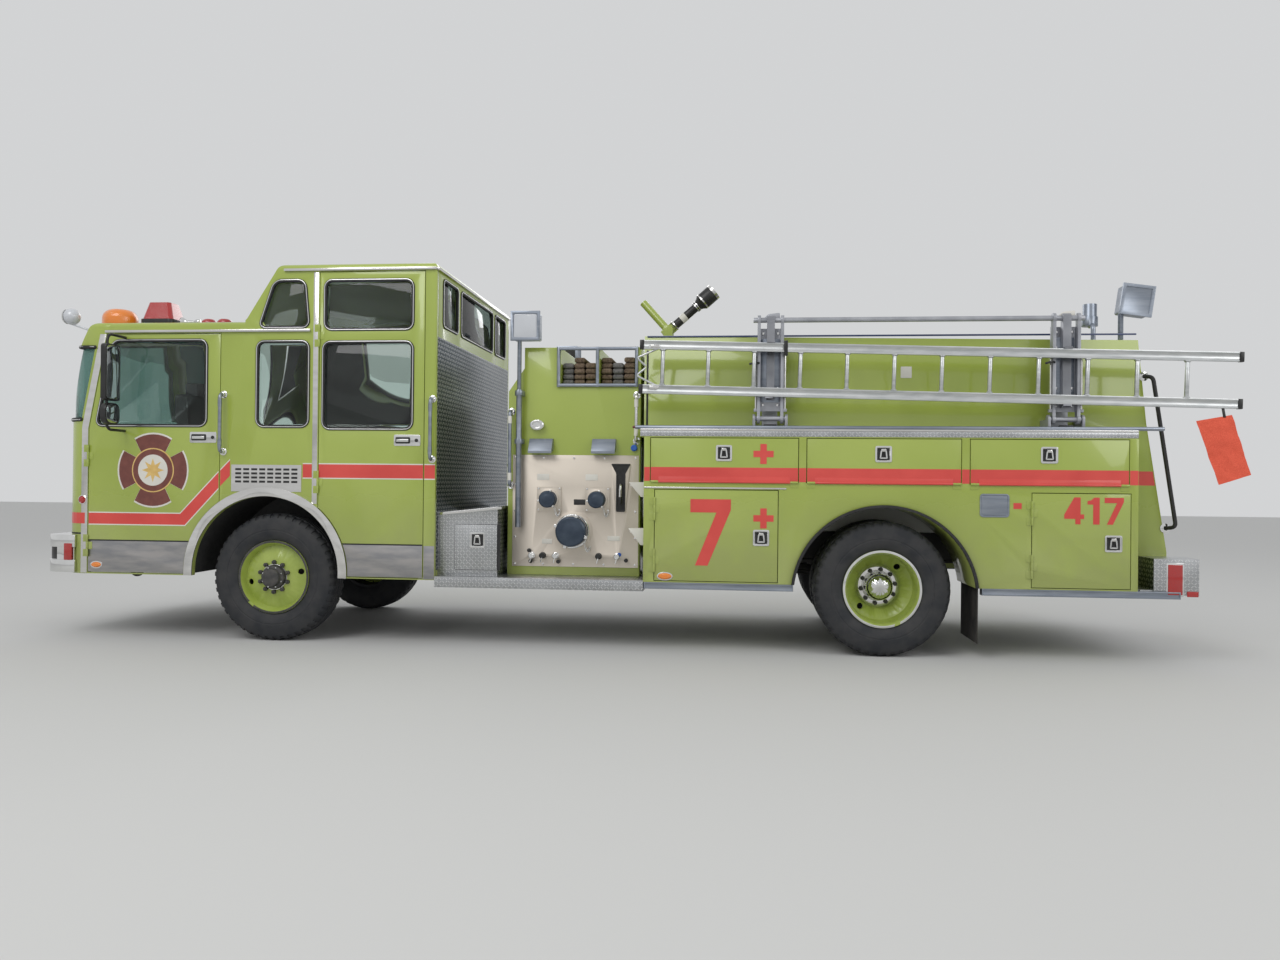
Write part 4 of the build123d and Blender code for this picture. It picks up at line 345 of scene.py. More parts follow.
# %% The finishes of this engine, with the record's slot of each
looks = {
    "lime": (lime_paint(), "lime_paint"),
    "lime_rim": (mixed("lime rim enamel", (0.3, 0.38, 0.06), (0.36, 0.44, 0.09), 7.0, 0.32, coat=0.4),
                 "lime_paint"),
    "side_glass": (glass("green side glass", (0.74, 0.84, 0.8)), "window_glass"),
    "front_glass": (glass("teal windscreen", (0.3, 0.52, 0.47), 0.03, 0.75), "window_glass"),
    "trim": (mixed("black trim", grey(0.018), grey(0.03), 30.0, 0.55), "interior_trim"),
    "vinyl": (mixed("seat vinyl", (0.022, 0.022, 0.024), (0.034, 0.034, 0.036), 90.0, 0.42, bump_by=0.25,
                    distance=0.0008), "seat_vinyl"),
    "chrome": (mixed("chrome", (0.72, 0.72, 0.71), (0.8, 0.8, 0.79), 8.0, 0.1, metallic=1.0), "chrome"),
    "polished": (mixed("polished strip", (0.66, 0.65, 0.63), (0.76, 0.75, 0.73), 2.5, 0.17, metallic=1.0,
                       stretch=(1, 1, 6)), "stainless"),
    "chassis": (mixed("dusty black paint", grey(0.012), (0.035, 0.033, 0.03), 5.0, 0.6),
                "chassis_paint"),
    "iron": (mixed("cast iron", grey(0.04), (0.08, 0.075, 0.07), 20.0, 0.7, bump_by=0.2), "cast_iron"),
    "tank": (mixed("tank sheet", (0.55, 0.55, 0.52), (0.6, 0.6, 0.57), 6.0, 0.5), "tank_plastic"),
    "steel": (mixed("panel steel", (0.62, 0.555, 0.475), (0.67, 0.605, 0.525), 1.1, 0.42, metallic=0.75),
              "stainless"),
    "skirt": (mixed("dull skirt steel", (0.33, 0.33, 0.34), (0.46, 0.44, 0.43), 2.2, 0.33, metallic=1.0,
                    stretch=(2, 1, 9)), "stainless"),
    # The dark blue base of this tread plate is a painted reflection, not the colour of the bright
    # aluminium.
    "tread_rear": (tread_plate("tread plate on the cab back", "Y", "Z", (0.1, 0.12, 0.14), 0.034),
                   "tread_plate"),
    "tread_side": (tread_plate("tread plate on sides", "X", "Z"), "tread_plate"),
    "tread_top": (tread_plate("tread plate underfoot", "X", "Y"), "tread_plate"),
    "rack": (mixed("rack metal", (0.33, 0.34, 0.37), (0.43, 0.44, 0.47), 7.0, 0.45, metallic=0.55),
             "rack_metal"),
    "aluminium": (mixed("ladder aluminium", (0.5, 0.52, 0.52), (0.64, 0.65, 0.65), 6.0, 0.34, metallic=0.9,
                        stretch=(1, 6, 6)), "ladder_aluminium"),
    "rail": (mixed("anodised rail", (0.24, 0.27, 0.32), (0.33, 0.36, 0.41), 3.0, 0.36, metallic=0.85,
                   stretch=(1, 8, 8)), "rack_metal"),
    "black": (mixed("satin black", grey(0.012), grey(0.022), 12.0, 0.38), "black_metal"),
    "seal": (mixed("window rubber", grey(0.01), grey(0.02), 40.0, 0.6), "tyre_rubber"),
    "flap": (mixed("mud flap rubber", grey(0.014), (0.05, 0.045, 0.04), 8.0, 0.8, bump_by=0.2),
             "tyre_rubber"),
    "tyre": (mixed("tyre rubber", (0.016, 0.018, 0.022), (0.034, 0.034, 0.036), 9.0, 0.68, bump_by=0.12,
                   distance=0.0006), "tyre_rubber"),
    "red_film": (mixed("red film", (0.62, 0.055, 0.045), (0.7, 0.075, 0.06), 3.0, 0.34, coat=0.3),
                 "flag_cloth"),
    "flag_red": (mixed("flag weave", (0.66, 0.085, 0.045), (0.8, 0.13, 0.07), 160.0, 0.85, bump_by=0.4,
                       distance=0.0006), "flag_cloth"),
    "pale_film": (mixed("pale film", (0.66, 0.64, 0.58), (0.74, 0.72, 0.66), 3.0, 0.4), "tank_plastic"),
    "brown_film": (mixed("brown film", (0.15, 0.045, 0.035), (0.19, 0.06, 0.045), 20.0, 0.4), "flag_cloth"),
    "gold_film": (mixed("gold film", (0.62, 0.4, 0.12), (0.72, 0.5, 0.18), 20.0, 0.4), "tank_plastic"),
    "red_lens": (lens("red lens", (0.42, 0.01, 0.008), glow=0.05), "lamp_lens"),
    "amber_lens": (lens("amber lens", (0.85, 0.24, 0.02), glow=0.08), "lamp_lens"),
    "clear_lens": (glass("clear lens", (0.9, 0.91, 0.92), 0.08, 0.8), "window_glass"),
    "lamp_glass": (lens("lamp reflector", (0.66, 0.68, 0.72), 60.0), "chrome"),
    "mirror": (mixed("mirror glass", (0.55, 0.58, 0.6), (0.6, 0.63, 0.65), 3.0, 0.03, metallic=1.0),
               "chrome"),
    "cap_blue": (mixed("dark blue cap", (0.03, 0.045, 0.07), (0.055, 0.075, 0.105), 9.0, 0.32,
                       metallic=0.4),
                 "black_metal"),
    "blue_cap": (mixed("blue cap", (0.02, 0.1, 0.45), (0.03, 0.13, 0.52), 10.0, 0.4), "black_metal"),
    "blue_pole": (mixed("dark blue tube", (0.015, 0.03, 0.1), (0.025, 0.045, 0.13), 8.0, 0.35, coat=0.4),
                  "black_metal"),
    "maroon": (mixed("maroon paint", (0.1, 0.012, 0.015), (0.14, 0.02, 0.02), 9.0, 0.4), "black_metal"),
    "hose_brown": (mixed("brown hose jacket", (0.1, 0.068, 0.045), (0.22, 0.16, 0.11), 60.0, 0.9,
                         bump_by=0.5, distance=0.002), "hose_jacket"),
    "hose_grey": (mixed("grey hose jacket", grey(0.1), (0.2, 0.19, 0.18), 60.0, 0.9, bump_by=0.5,
                        distance=0.002), "hose_jacket"),
}
print("finishes:", len(looks))

# %% [markdown]
# Ways of shaping
#
# Everything new on the engine is made as by hand: a primitive or a chain of
# edges is drawn at its place, shaped in edit mode and given rounded edges. The
# same few moves come back in every step, so each gets a helper: start with
# nothing selected, draw a chain of edges, make a plate from an outline, spin a
# profile about an axis, round the edges, and copy a piece.


# %% Starting fresh and picking faces
def fresh():
    """Leave edit mode and let go of everything that is selected."""
    if bpy.context.mode != "OBJECT":
        bpy.ops.object.mode_set(mode="OBJECT")
    bpy.ops.object.select_all(action="DESELECT")


def hold(piece):
    """Select one piece alone."""
    fresh()
    piece.select_set(True)
    bpy.context.view_layer.objects.active = piece


def made(name):
    """Name the piece that was just made, and its mesh."""
    piece = bpy.context.active_object
    piece.name = piece.data.name = name
    return piece


def everything():
    """In edit mode, select the whole mesh."""
    bpy.ops.mesh.select_all(action="SELECT")


def edit(piece):
    """Enter edit mode with the whole mesh selected."""
    hold(piece)
    bpy.ops.object.mode_set(mode="EDIT")
    everything()


def leave():
    """Leave edit mode; the piece stays selected."""
    bpy.ops.object.mode_set(mode="OBJECT")


def push(step):
    """Extrude what is selected by a step."""
    bpy.ops.mesh.extrude_region_move(TRANSFORM_OT_translate={"value": step})


def face_outward():
    """Turn every face of the mesh outward."""
    everything()
    bpy.ops.mesh.normals_make_consistent(inside=False)


def smooth(degrees):
    """Shade the held piece smooth, apart from edges sharper than an angle."""
    bpy.ops.object.shade_smooth_by_angle(angle=math.radians(degrees))


def pick(piece, test):
    """Enter edit mode and select the faces whose middle and normal pass a test."""
    edit(piece)
    bpy.ops.mesh.select_mode(type="FACE")
    bpy.ops.mesh.select_all(action="DESELECT")
    mesh = bmesh.from_edit_mesh(piece.data)
    found = [face for face in mesh.faces if test(face.calc_center_median(), face.normal)]
    for face in found:
        face.select_set(True)
    bmesh.update_edit_mesh(piece.data)
    return len(found)


def outer_face(c, n):
    """The face of a piece on the driver's side that looks away from the engine."""
    return n.y < -0.9


def paint_faces(piece, look, test):
    """Give the faces that pass a test a second finish."""
    piece.data.materials.append(looks[look][0])
    pick(piece, test)
    piece.active_material_index = len(piece.data.materials) - 1
    bpy.ops.object.material_slot_assign()
    fresh()


# %% Boxes, plates and turned pieces
def block(name, low, high):
    """A box between two corners, ready to be shaped."""
    fresh()
    middle = [(a + b) / 2 for a, b in zip(low, high)]
    bpy.ops.mesh.primitive_cube_add(size=1.0, location=middle)
    piece = made(name)
    piece.scale = [abs(b - a) for a, b in zip(low, high)]
    bpy.ops.object.transform_apply()
    return piece


def chain(name, points):
    """A chain of edges through some points, drawn from one vertex; stays in edit mode."""
    fresh()
    bpy.ops.mesh.primitive_plane_add(size=0.01, location=points[0])
    piece = made(name)
    bpy.ops.object.transform_apply()
    bpy.ops.object.mode_set(mode="EDIT")
    bpy.ops.mesh.select_mode(type="VERT")
    everything()
    bpy.ops.mesh.merge(type="CENTER")
    for start, end in zip(points, points[1:]):
        push(Vector(end) - Vector(start))
    return piece


def rect(x0, x1, z0, z1):
    """The corners of a rectangle."""
    return [(x0, z0), (x1, z0), (x1, z1), (x0, z1)]


TIP = 0.0001                    # a radius so small that a spun profile closes there
FACING = {"X": lambda a, b, level: (level, a, b), "Y": lambda a, b, level: (a, level, b),
          "Z": lambda a, b, level: (a, b, level)}


def plate(name, outline, level, thick, facing="Y", corner=0.0, frame_width=0.0, outward=False):
    """A plate on a wall, from an outline. With frame_width it is a frame, inside or outside of it."""
    if outward:
        outline, corner = grown(outline, frame_width), corner + frame_width
    piece = chain(name, [FACING[facing](a, b, level) for a, b in outline])
    everything()
    bpy.ops.mesh.edge_face_add()
    if corner:
        bpy.ops.mesh.bevel(offset=corner, segments=5, affect="VERTICES")
        everything()
    if frame_width:
        bpy.ops.mesh.select_mode(type="FACE")
        everything()
        bpy.ops.mesh.inset(thickness=frame_width)
        bpy.ops.mesh.delete(type="FACE")
        everything()
    push(Vector(FACING[facing](0.0, 0.0, thick)))
    face_outward()
    leave()
    return piece


def turned(name, profile, centre, axis="Y", steps=40):
    """Spin a profile of (along, radius) points about an axis through a centre."""
    x, y, z = centre
    rows = {"X": [(x + a, y, z + r) for a, r in profile], "Y": [(x, y + a, z + r) for a, r in profile],
            "Z": [(x + r, y, z + a) for a, r in profile]}[axis]
    way = {"X": (1, 0, 0), "Y": (0, 1, 0), "Z": (0, 0, 1)}[axis]
    piece = chain(name, rows)
    everything()
    bpy.ops.mesh.spin(steps=steps, angle=math.tau, center=centre, axis=way)
    everything()
    bpy.ops.mesh.remove_doubles(threshold=0.00004)
    bpy.ops.mesh.normals_make_consistent(inside=False)
    leave()
    smooth(28)
    return piece


def tube(name, points, radius, bend=0.0, sides=12):
    """A round bar or bent tube through some points: a curve made a mesh."""
    fresh()
    route = [Vector(p) for p in points]
    if bend:
        eased = [route[0]]
        for before, corner, after in zip(route, route[1:], route[2:]):
            reach = min(bend, (before - corner).length * 0.45, (after - corner).length * 0.45)
            a = corner + (before - corner).normalized() * reach
            b = corner + (after - corner).normalized() * reach
            eased += [a] + [a.lerp(corner, t).lerp(corner.lerp(b, t), t) for t in (0.25, 0.5, 0.75)] + [b]
        route = eased + [route[-1]]
    line = bpy.data.curves.new(name, "CURVE")
    line.dimensions = "3D"
    line.bevel_depth = radius
    line.bevel_resolution = max(1, sides // 4 - 1)
    line.use_fill_caps = True
    spline = line.splines.new("POLY")
    spline.points.add(len(route) - 1)
    for point, place in zip(spline.points, route):
        point.co = (*place, 1.0)
    piece = bpy.data.objects.new(name, line)
    bpy.context.collection.objects.link(piece)
    hold(piece)
    bpy.ops.object.convert(target="MESH")
    smooth(40)
    return made(name)


# %% Rounding, finishing and copying
def round_edges(piece, width, segments=2, angle=30):
    """Bevel the sharp edges and shade the rest smooth."""
    hold(piece)
    bevel = piece.modifiers.new("round", "BEVEL")
    bevel.width = width
    bevel.segments = segments
    bevel.limit_method = "ANGLE"
    bevel.angle_limit = math.radians(angle)
    bpy.ops.object.modifier_apply(modifier="round")
    smooth(angle)
    return piece


def dress(piece, look, body="chassis", width=0.0, segments=2):
    """Round a piece's edges, give it its finish and let it ride on a body."""
    if width:
        round_edges(piece, width, segments)
    if not piece.data.materials:
        piece.data.materials.append(looks[look][0])
    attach(piece, body)
    return piece


def lean(piece, degrees, axis, centre):
    """Turn a finished mesh about an axis through a point, by the right-hand rule."""
    there = Matrix.Translation(Vector(centre))
    piece.data.transform(there @ Matrix.Rotation(math.radians(degrees), 4, axis) @ there.inverted())


def again(piece, name, move=(0, 0, 0), about=None, angle=0.0, axis="Y", flip=False):
    """Another copy of a piece with its own mesh: turned, moved or mirrored."""
    copy = piece.copy()
    copy.data = piece.data.copy()
    copy.name = copy.data.name = name
    bpy.context.collection.objects.link(copy)
    for key in [key for key in copy.keys() if key.startswith("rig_")]:
        del copy[key]
    copy.parent = None
    copy.matrix_world = Matrix.Identity(4)
    if angle:
        lean(copy, angle, axis, about)
    copy.data.transform(Matrix.Translation(Vector(move)))
    if flip:
        copy.data.transform(Matrix.Scale(-1, 4, (0, 1, 0)))
        copy.data.flip_normals()
    return copy


def joined(name, parts):
    """Make one piece of several."""
    fresh()
    for part in parts:
        part.select_set(True)
    bpy.context.view_layer.objects.active = parts[0]
    if len(parts) > 1:
        bpy.ops.object.join()
    return made(name)


def repeated(name, first, moves):
    """Copy a piece to more places and make one piece of them all."""
    copies = [again(first, name + "_copy", move=move) for move in moves]
    return joined(name, [first] + copies)


def twin(piece, body="chassis"):
    """The same piece on the officer's side, mirrored."""
    other = again(piece, piece.name.replace("left_", "right_", 1), flip=True)
    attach(other, body.replace("left_", "right_", 1))
    return other


def both(piece, look, body="chassis", width=0.0, segments=2):
    """Finish a piece of the driver's side and mirror it to the other side."""
    dress(piece, look, body, width, segments)
    return piece, twin(piece, body)


# %% [markdown]
# A finer copy of each CAD piece
#
# A CAD mesh has knife-sharp edges, and no real edge is that sharp: sheet metal
# is folded, castings are rounded, and it is the thin highlight along an edge
# that the eye reads as metal. So each CAD piece that shows gets a copy: its
# loose triangles are merged, flat neighbours become one face, and a small bevel
# goes round the edges. The CAD mesh itself stays as it is and is only hidden.
# A piece of several loose parts, such as a door with its glass, can give each
# part its own finish by its size and place.

# %% Copying a CAD piece
def loose_parts(mesh):
    """The faces of a mesh, gathered into parts that hang together."""
    waiting, parts = set(mesh.faces), []
    while waiting:
        part, border = [], [waiting.pop()]
        while border:
            face = border.pop()
            part.append(face)
            for edge in face.edges:
                for other in edge.link_faces:
                    if other in waiting:
                        waiting.remove(other)
                        border.append(other)
        parts.append(part)
    return parts


def part_box(part):
    """Lowest and highest corner of a part."""
    corners = [v.co for face in part for v in face.verts]
    return (Vector([min(c[i] for c in corners) for i in range(3)]),
            Vector([max(c[i] for c in corners) for i in range(3)]))


def refined(node, look, width=0.002, choose=None):
    """A finer copy of a CAD node. choose(low, high) names the finish of each loose part."""
    mesh = nodes[node].data.copy()
    piece = bpy.data.objects.new("fine_" + node, mesh)
    bpy.context.collection.objects.link(piece)
    edit(piece)
    bpy.ops.mesh.remove_doubles(threshold=0.00002)
    bpy.ops.mesh.dissolve_limited(angle_limit=math.radians(0.6))
    leave()
    names = [look]
    mesh.materials.clear()
    mesh.materials.append(looks[look][0])
    if choose:
        shape = bmesh.new()
        shape.from_mesh(mesh)
        for part in loose_parts(shape):
            wanted = choose(*part_box(part)) or look
            if wanted not in names:
                names.append(wanted)
                mesh.materials.append(looks[wanted][0])
            for face in part:
                face.material_index = names.index(wanted)
        shape.to_mesh(mesh)
        shape.free()
    round_edges(piece, width, angle=32)
    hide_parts(node)
    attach(piece, body_of_node[node])
    return piece


# %% Which finish each loose part of a node takes
INLET_Z, OUTLET_Z = 0.922, 1.18
WINDSCREEN_END = st(-6.0)
ROOF_LAMPS_FROM = 2.6            # everything in the lamps node above this height stands on the roof


def thin_is_glass(low, high):
    """A pane is a few millimetres thick in Y, unlike a door."""
    return "side_glass" if high.y - low.y < 0.008 else None


def glass_of_cab(low, high):
    """The windscreen has its own tint."""
    return "front_glass" if high.x < WINDSCREEN_END else "side_glass"


def lamp_finish(low, high):
    """Roof lamps, headlamps and tail lamps told apart by where they are."""
    middle, size = (low + high) / 2, high - low
    if middle.z > ROOF_LAMPS_FROM:
        if 0.14 < size.x < 0.2 and size.y < 0.1:
            return "chrome"
        if middle.y < -1.15 and size.z > 0.15:
            return "chrome"
        return "amber_lens" if middle.x < st(-6.2) and size.x > 0.2 else "red_lens"
    if middle.x > 0:
        return "red_lens"
    return "amber_lens" if size.x > 0.032 and size.y > 0.3 else "lamp_glass"


def shell_finish(low, high):
    """The floor unit of the cab lies inside its painted walls."""
    return "trim" if high.z < 1.4 and low.y > -1.19 and high.y < 1.19 else None


def panel_finish(low, high):
    """Bright outlet, hoods of anodised metal, black caps, the rest panel steel."""
    middle = (low + high) / 2
    if middle.z > 1.7:
        return "chrome"
    near_a_cap = min(abs(middle.z - INLET_Z), abs(middle.z - OUTLET_Z)) < 0.04
    cap = near_a_cap and max(high.x - low.x, high.z - low.z) < 0.26
    return "rail" if middle.z > 1.5 else "black" if cap else None


def trim_finish(low, high):
    """Rubber round the rear wheels, plain tray frames and hand rails, the rest bright."""
    middle, size = (low + high) / 2, high - low
    if size.x > 1.2 and st(-1) < middle.x < st(1):
        return "seal"
    if 1.9 < middle.z < 2.5 and middle.x > st(-3) and size.x > 0.4:
        return "rail"
    if size.x < 0.05 and size.z > 0.4:
        return "rail"
    return "chrome" if middle.x < st(-6.68) else None


# %% Make the finer copies
PLAIN = (  # node, finish, bevel width, finish of its parts
    ("cab_shell", "lime", 0.003, shell_finish), ("cab_glass", "side_glass", 0.001, glass_of_cab),
    ("cab_interior", "trim", 0.006, None), ("front_bumper", "chrome", 0.008, None),
    ("frame", "chassis", 0.002, None), ("running_gear", "chassis", 0.003, None),
    ("outer_trim", "polished", 0.003, trim_finish), ("engine_block", "iron", 0.02, None),
    ("tank_block", "tank", 0.01, None), ("pump_house", "lime", 0.003, None),
    ("pump_panels", "steel", 0.002, panel_finish), ("hose_bed", "lime", 0.003, None),
    ("tail_step", "tread_rear", 0.003, None), ("mud_flaps", "flap", 0.002, None),
    ("rack_columns", "rack", 0.002, None), ("rack_arms", "rack", 0.003, None),
    ("rack_cradle", "rack", 0.002, None), ("ladder", "aluminium", 0.003, None),
    ("rear_lights", "rail", 0.002, None), ("gun_base", "lime", 0.003, None),
    ("gun_swivel", "lime", 0.003, None), ("lamps", "red_lens", 0.003, lamp_finish),
    ("mast_sleeves", "rail", 0.002, None))
LOCKERS = ("upper_front", "upper_middle", "upper_rear", "lower_front", "lower_rear")
PER_SIDE = (
    ("front_door", "lime", 0.003, thin_is_glass), ("crew_door", "lime", 0.003, thin_is_glass),
    ("mirror", "black", 0.002, None), ("knuckle", "chassis", 0.003, None),
    ("side_body", "lime", 0.003, None), ("mast", "rail", 0.002, None),
    *((place + "_door", "lime", 0.003, None) for place in LOCKERS))
fine = {node: refined(node, *rest) for node, *rest in PLAIN}
for side, way in SIDES:
    for end, *rest in PER_SIDE:
        node = side + "_" + end
        fine[node] = refined(node, *rest)
print("finer copies:", len(fine))

# %% The nodes that are left get their finish as they are
slot_of = {part["node"]: part["material_slot"] for part in frame["record"]["subparts"]}
finish_of_slot = {"lime_paint": "lime_rim", "tyre_rubber": "tyre", "tread_plate": "tread_top",
                  "hose_jacket": "hose_brown", "seat_vinyl": "vinyl", "flag_cloth": "red_film",
                  "black_metal": "black", "rack_metal": "rail"}
for name, node in nodes.items():
    node.data.materials.clear()
    node.data.materials.append(looks[finish_of_slot.get(slot_of[name], "steel")][0])

# %% [markdown]
# Outlines and bands
#
# Windows, strips and painted stripes all follow the flat walls of the body. An
# outline can be made larger or smaller all round, as a rubber seal is larger
# than its window, and a band can follow a path seen from above, as the stripe
# does where the cab's corner is rounded.


# %% Growing an outline and laying a band along a path
def grown(points, by):
    """The same outline with every side moved outward by a distance."""
    area = sum(a[0] * b[1] - b[0] * a[1] for a, b in zip(points, points[1:] + points[:1]))
    sign = 1 if area > 0 else -1
    moved = []
    for before, here, after in zip(points[-1:] + points[:-1], points, points[1:] + points[:1]):
        p, q, r = Vector(before), Vector(here), Vector(after)
        one, two = (q - p).normalized(), (r - q).normalized()
        out_one = Vector((one.y, -one.x)) * sign
        out_two = Vector((two.y, -two.x)) * sign
        reach = (out_one + out_two).normalized()
        moved.append(tuple(q + reach * (by / max(0.3, reach.dot(out_one)))))
    return moved


def band(name, path, low, high, thick):
    """An upright band of sheet along a path of (x, y) points."""
    piece = chain(name, [(x, y, low) for x, y in path])
    everything()
    push((0, 0, high - low))
    face_outward()
    bpy.ops.mesh.solidify(thickness=thick)
    face_outward()
    leave()
    return piece


def wall(points):
    """An outline given from the rear axle, turned into the model's X."""
    return [(st(x), z) for x, z in points]


def polar(centre, radius, degrees, high=1.0):
    """The point of a circle, or of an oval, at an angle."""
    return (centre[0] + radius * math.cos(math.radians(degrees)),
            centre[1] + radius * high * math.sin(math.radians(degrees)))


def arc(centre, radius, start, end, count):
    """Points on a circle between two angles in degrees."""
    step = (end - start) / (count - 1)
    return [polar(centre, radius, start + k * step) for k in range(count)]


# %% [markdown]
# Tyres
#
# A truck tyre is a torus with square shoulders: a bead that sits on the rim, a
# sidewall that bulges, and a flat tread cut by grooves that run round it. The
# section is drawn once and spun. Then every second cell of the shoulder is
# pushed in, which leaves the row of lugs that bite into mud. All six tyres are
# the same tyre, so five of them are copies.

# %% Model one tyre
HALF_SECTION = (  # distance from the middle, radius
    (0.094, 0.2863), (0.104, 0.298), (0.116, 0.314), (0.129, 0.338), (0.136, 0.362),
    (0.1385, 0.377), (0.1372, 0.38), (0.1376, 0.388), (0.14, 0.391), (0.14, 0.415),
    (0.138, 0.436), (0.1335, 0.46), (0.126, 0.484), (0.116, 0.501), (0.102, 0.5115),
    (0.084, 0.5165), (0.068, 0.5185), (0.066, 0.507), (0.058, 0.507), (0.056, 0.5195),
    (0.027, 0.52), (0.025, 0.508), (0.017, 0.508), (0.015, 0.52))
TYRE_STEPS = 96
tyre_low, tyre_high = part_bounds("left_front_tyre")
front_hub = (FRONT_AXLE, (tyre_low.y + tyre_high.y) / 2, AXLE_HIGH)
section = [(-a, r) for a, r in HALF_SECTION] + [(a, r) for a, r in reversed(HALF_SECTION)]
tyre = turned("left_front_tyre_tread", section + section[:1], front_hub, steps=TYRE_STEPS)


def shoulder_cell(centre, normal):
    """True for every second cell of the shoulders and outer ribs."""
    x, y, z = centre - Vector(front_hub)
    cell = int(math.degrees(math.atan2(z, x)) % 360 / (360 / TYRE_STEPS))
    return math.hypot(x, z) > 0.486 and 0.069 < abs(y) and cell % 2 == 0 and math.hypot(x, z) < 0.5187


print("lugs cut in", pick(tyre, shoulder_cell), "faces")
bpy.ops.mesh.inset(thickness=0.0018, depth=-0.0075)
fresh()
hold(tyre)
smooth(24)

# %% Place all the tyres
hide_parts("left_front_tyre")
dress(tyre, "tyre", "left_front_wheel")
rear_low, rear_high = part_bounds("left_rear_tyres")
TYRE_WIDTH = tyre_high.y - tyre_low.y
for side, way in SIDES:
    if side == "right":
        other = again(tyre, "right_front_tyre_tread", flip=True)
        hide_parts("right_front_tyre")
        dress(other, "tyre", "right_front_wheel")
    pairs = []
    for y in (way * (abs(rear_low.y) - TYRE_WIDTH / 2), way * (abs(rear_high.y) + TYRE_WIDTH / 2)):
        move = (REAR_AXLE - FRONT_AXLE, y - front_hub[1], 0)
        pairs.append(again(tyre, "rear_tyre_copy", move=move))
    dual = joined(side + "_rear_tyres_tread", pairs)
    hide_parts(side + "_rear_tyres")
    dress(dual, "tyre", side + "_rear_wheels")
print("tyre triangles:", 6 * 2 * len(tyre.data.polygons))

# %% [markdown]
# Wheels, nuts and hubs
#
# The steel wheels are enamelled in the body colour. Ten nuts clamp each one to
# its hub, and at every nut the end of a stud stands out. One nut is modelled: a
# six-sided prism with its top drawn in and raised to the stud. A copy is turned
# about the axle for each of the others. The front hub is a dark stepped
# casting; the rear one is a bright dome inside a silver ring.


# %% One nut, and a ring of them
def nut(name, centre, radius, height, way=-1, sides=6, stud=True):
    """A nut or bolt head on a wall that faces Y, with its stud end."""
    fresh()
    x, y, z = centre
    bpy.ops.mesh.primitive_cylinder_add(
        vertices=sides, radius=radius, depth=height, location=(x, y + way * height / 2, z),
        rotation=(math.pi / 2, 0, 0))
    piece = made(name)
    bpy.ops.object.transform_apply()
    if stud:
        pick(piece, lambda c, n: n.y * way > 0.9)
        bpy.ops.mesh.inset(thickness=radius * 0.45)
        push((0, way * height * 0.5, 0))
        fresh()
    return round_edges(piece, radius * 0.09, 2)


def ring_of(piece, name, centre, count, first=0.0):
    """Copies of a piece turned about an axle, joined."""
    copies = [again(piece, name + "_copy", about=centre, angle=first + 360 * k / count)
              for k in range(count)]
    bpy.data.objects.remove(piece)
    return joined(name, copies)


# %% Front wheels
FRONT_HUB_RADIUS, FRONT_NUT_CIRCLE = 0.0995, 0.1215
for side, way in SIDES:
    wheel = refined(side + "_front_wheel", "lime_rim", 0.0025)
    face = way * (abs(front_hub[1]) + 0.096)
    centre = (FRONT_AXLE, face, AXLE_HIGH)
    paint_faces(wheel, "iron", lambda c, n: math.hypot(c.x - FRONT_AXLE, c.z - AXLE_HIGH) < FRONT_HUB_RADIUS
                and abs(c.y) > abs(face) + 0.0008)
    paint_faces(wheel, "tyre", lambda c, n: abs(c.y) < abs(front_hub[1]) + 0.05)
    nuts = ring_of(nut("nut", (FRONT_AXLE, face, AXLE_HIGH + FRONT_NUT_CIRCLE), 0.0185, 0.024, way),
                   side + "_front_nuts", centre, 10)
    dress(nuts, "iron", side + "_front_wheel")
    studs = ring_of(nut("cap_screw", (FRONT_AXLE, face + way * 0.043, AXLE_HIGH + 0.083), 0.0065, 0.006,
                        way, stud=False), side + "_hub_screws", centre, 8, 22)
    dress(studs, "chrome", side + "_front_wheel")
    ring = turned(
        side + "_hub_ring",
        [(0, 0.1), (way * 0.006, 0.1), (way * 0.006, 0.106), (way * 0.002, 0.109), (0, 0.109), (0, 0.1)],
        centre, steps=48)
    dress(ring, "polished", side + "_front_wheel", 0.0006)

# %% Rear wheels
REAR_HUB_RADIUS, REAR_NUT_CIRCLE = 0.111, 0.1345
for side, way in SIDES:
    wheel = refined(side + "_rear_wheels", "lime_rim", 0.0025)
    mate = abs(front_hub[1]) - (abs(rear_low.y) - abs(rear_high.y) - TYRE_WIDTH) / 2
    face = way * (mate + 0.012)
    centre = (REAR_AXLE, face, AXLE_HIGH)
    paint_faces(wheel, "chrome", lambda c, n: math.hypot(c.x - REAR_AXLE, c.z - AXLE_HIGH) < REAR_HUB_RADIUS
                and abs(c.y) > abs(face) + 0.001)
    paint_faces(wheel, "tyre", lambda c, n: abs(c.y) < mate - 0.02)
    ring = turned(
        side + "_rear_ring",
        [(0, 0.112), (way * 0.008, 0.112), (way * 0.01, 0.118), (way * 0.01, 0.15), (way * 0.006, 0.158),
         (0, 0.158), (0, 0.112)], centre, steps=60)
    dress(ring, "polished", side + "_rear_wheels", 0.001)
    nuts = ring_of(
        nut("nut", (REAR_AXLE, face + way * 0.01, AXLE_HIGH + REAR_NUT_CIRCLE), 0.0185, 0.026, way),
        side + "_rear_nuts", centre, 10, 9)
    dress(nuts, "iron", side + "_rear_wheels")
    dome = turned(
        side + "_hub_dome",
        [(way * 0.1, 0.0985), (way * 0.104, 0.1035), (way * 0.11, 0.1035), (way * 0.116, 0.098),
         (way * 0.1, 0.0965), (way * 0.1, 0.0985)], centre, steps=48)
    dress(dome, "chrome", side + "_rear_wheels")

# %% [markdown]
# Windows
#
# Each window is held by a rubber section with a bright bead pressed into
# it, so from outside there are three rings: rubber, chrome, rubber. We draw the
# outline of the opening, grow it by the width of the seal, and keep only the
# frame between the two.

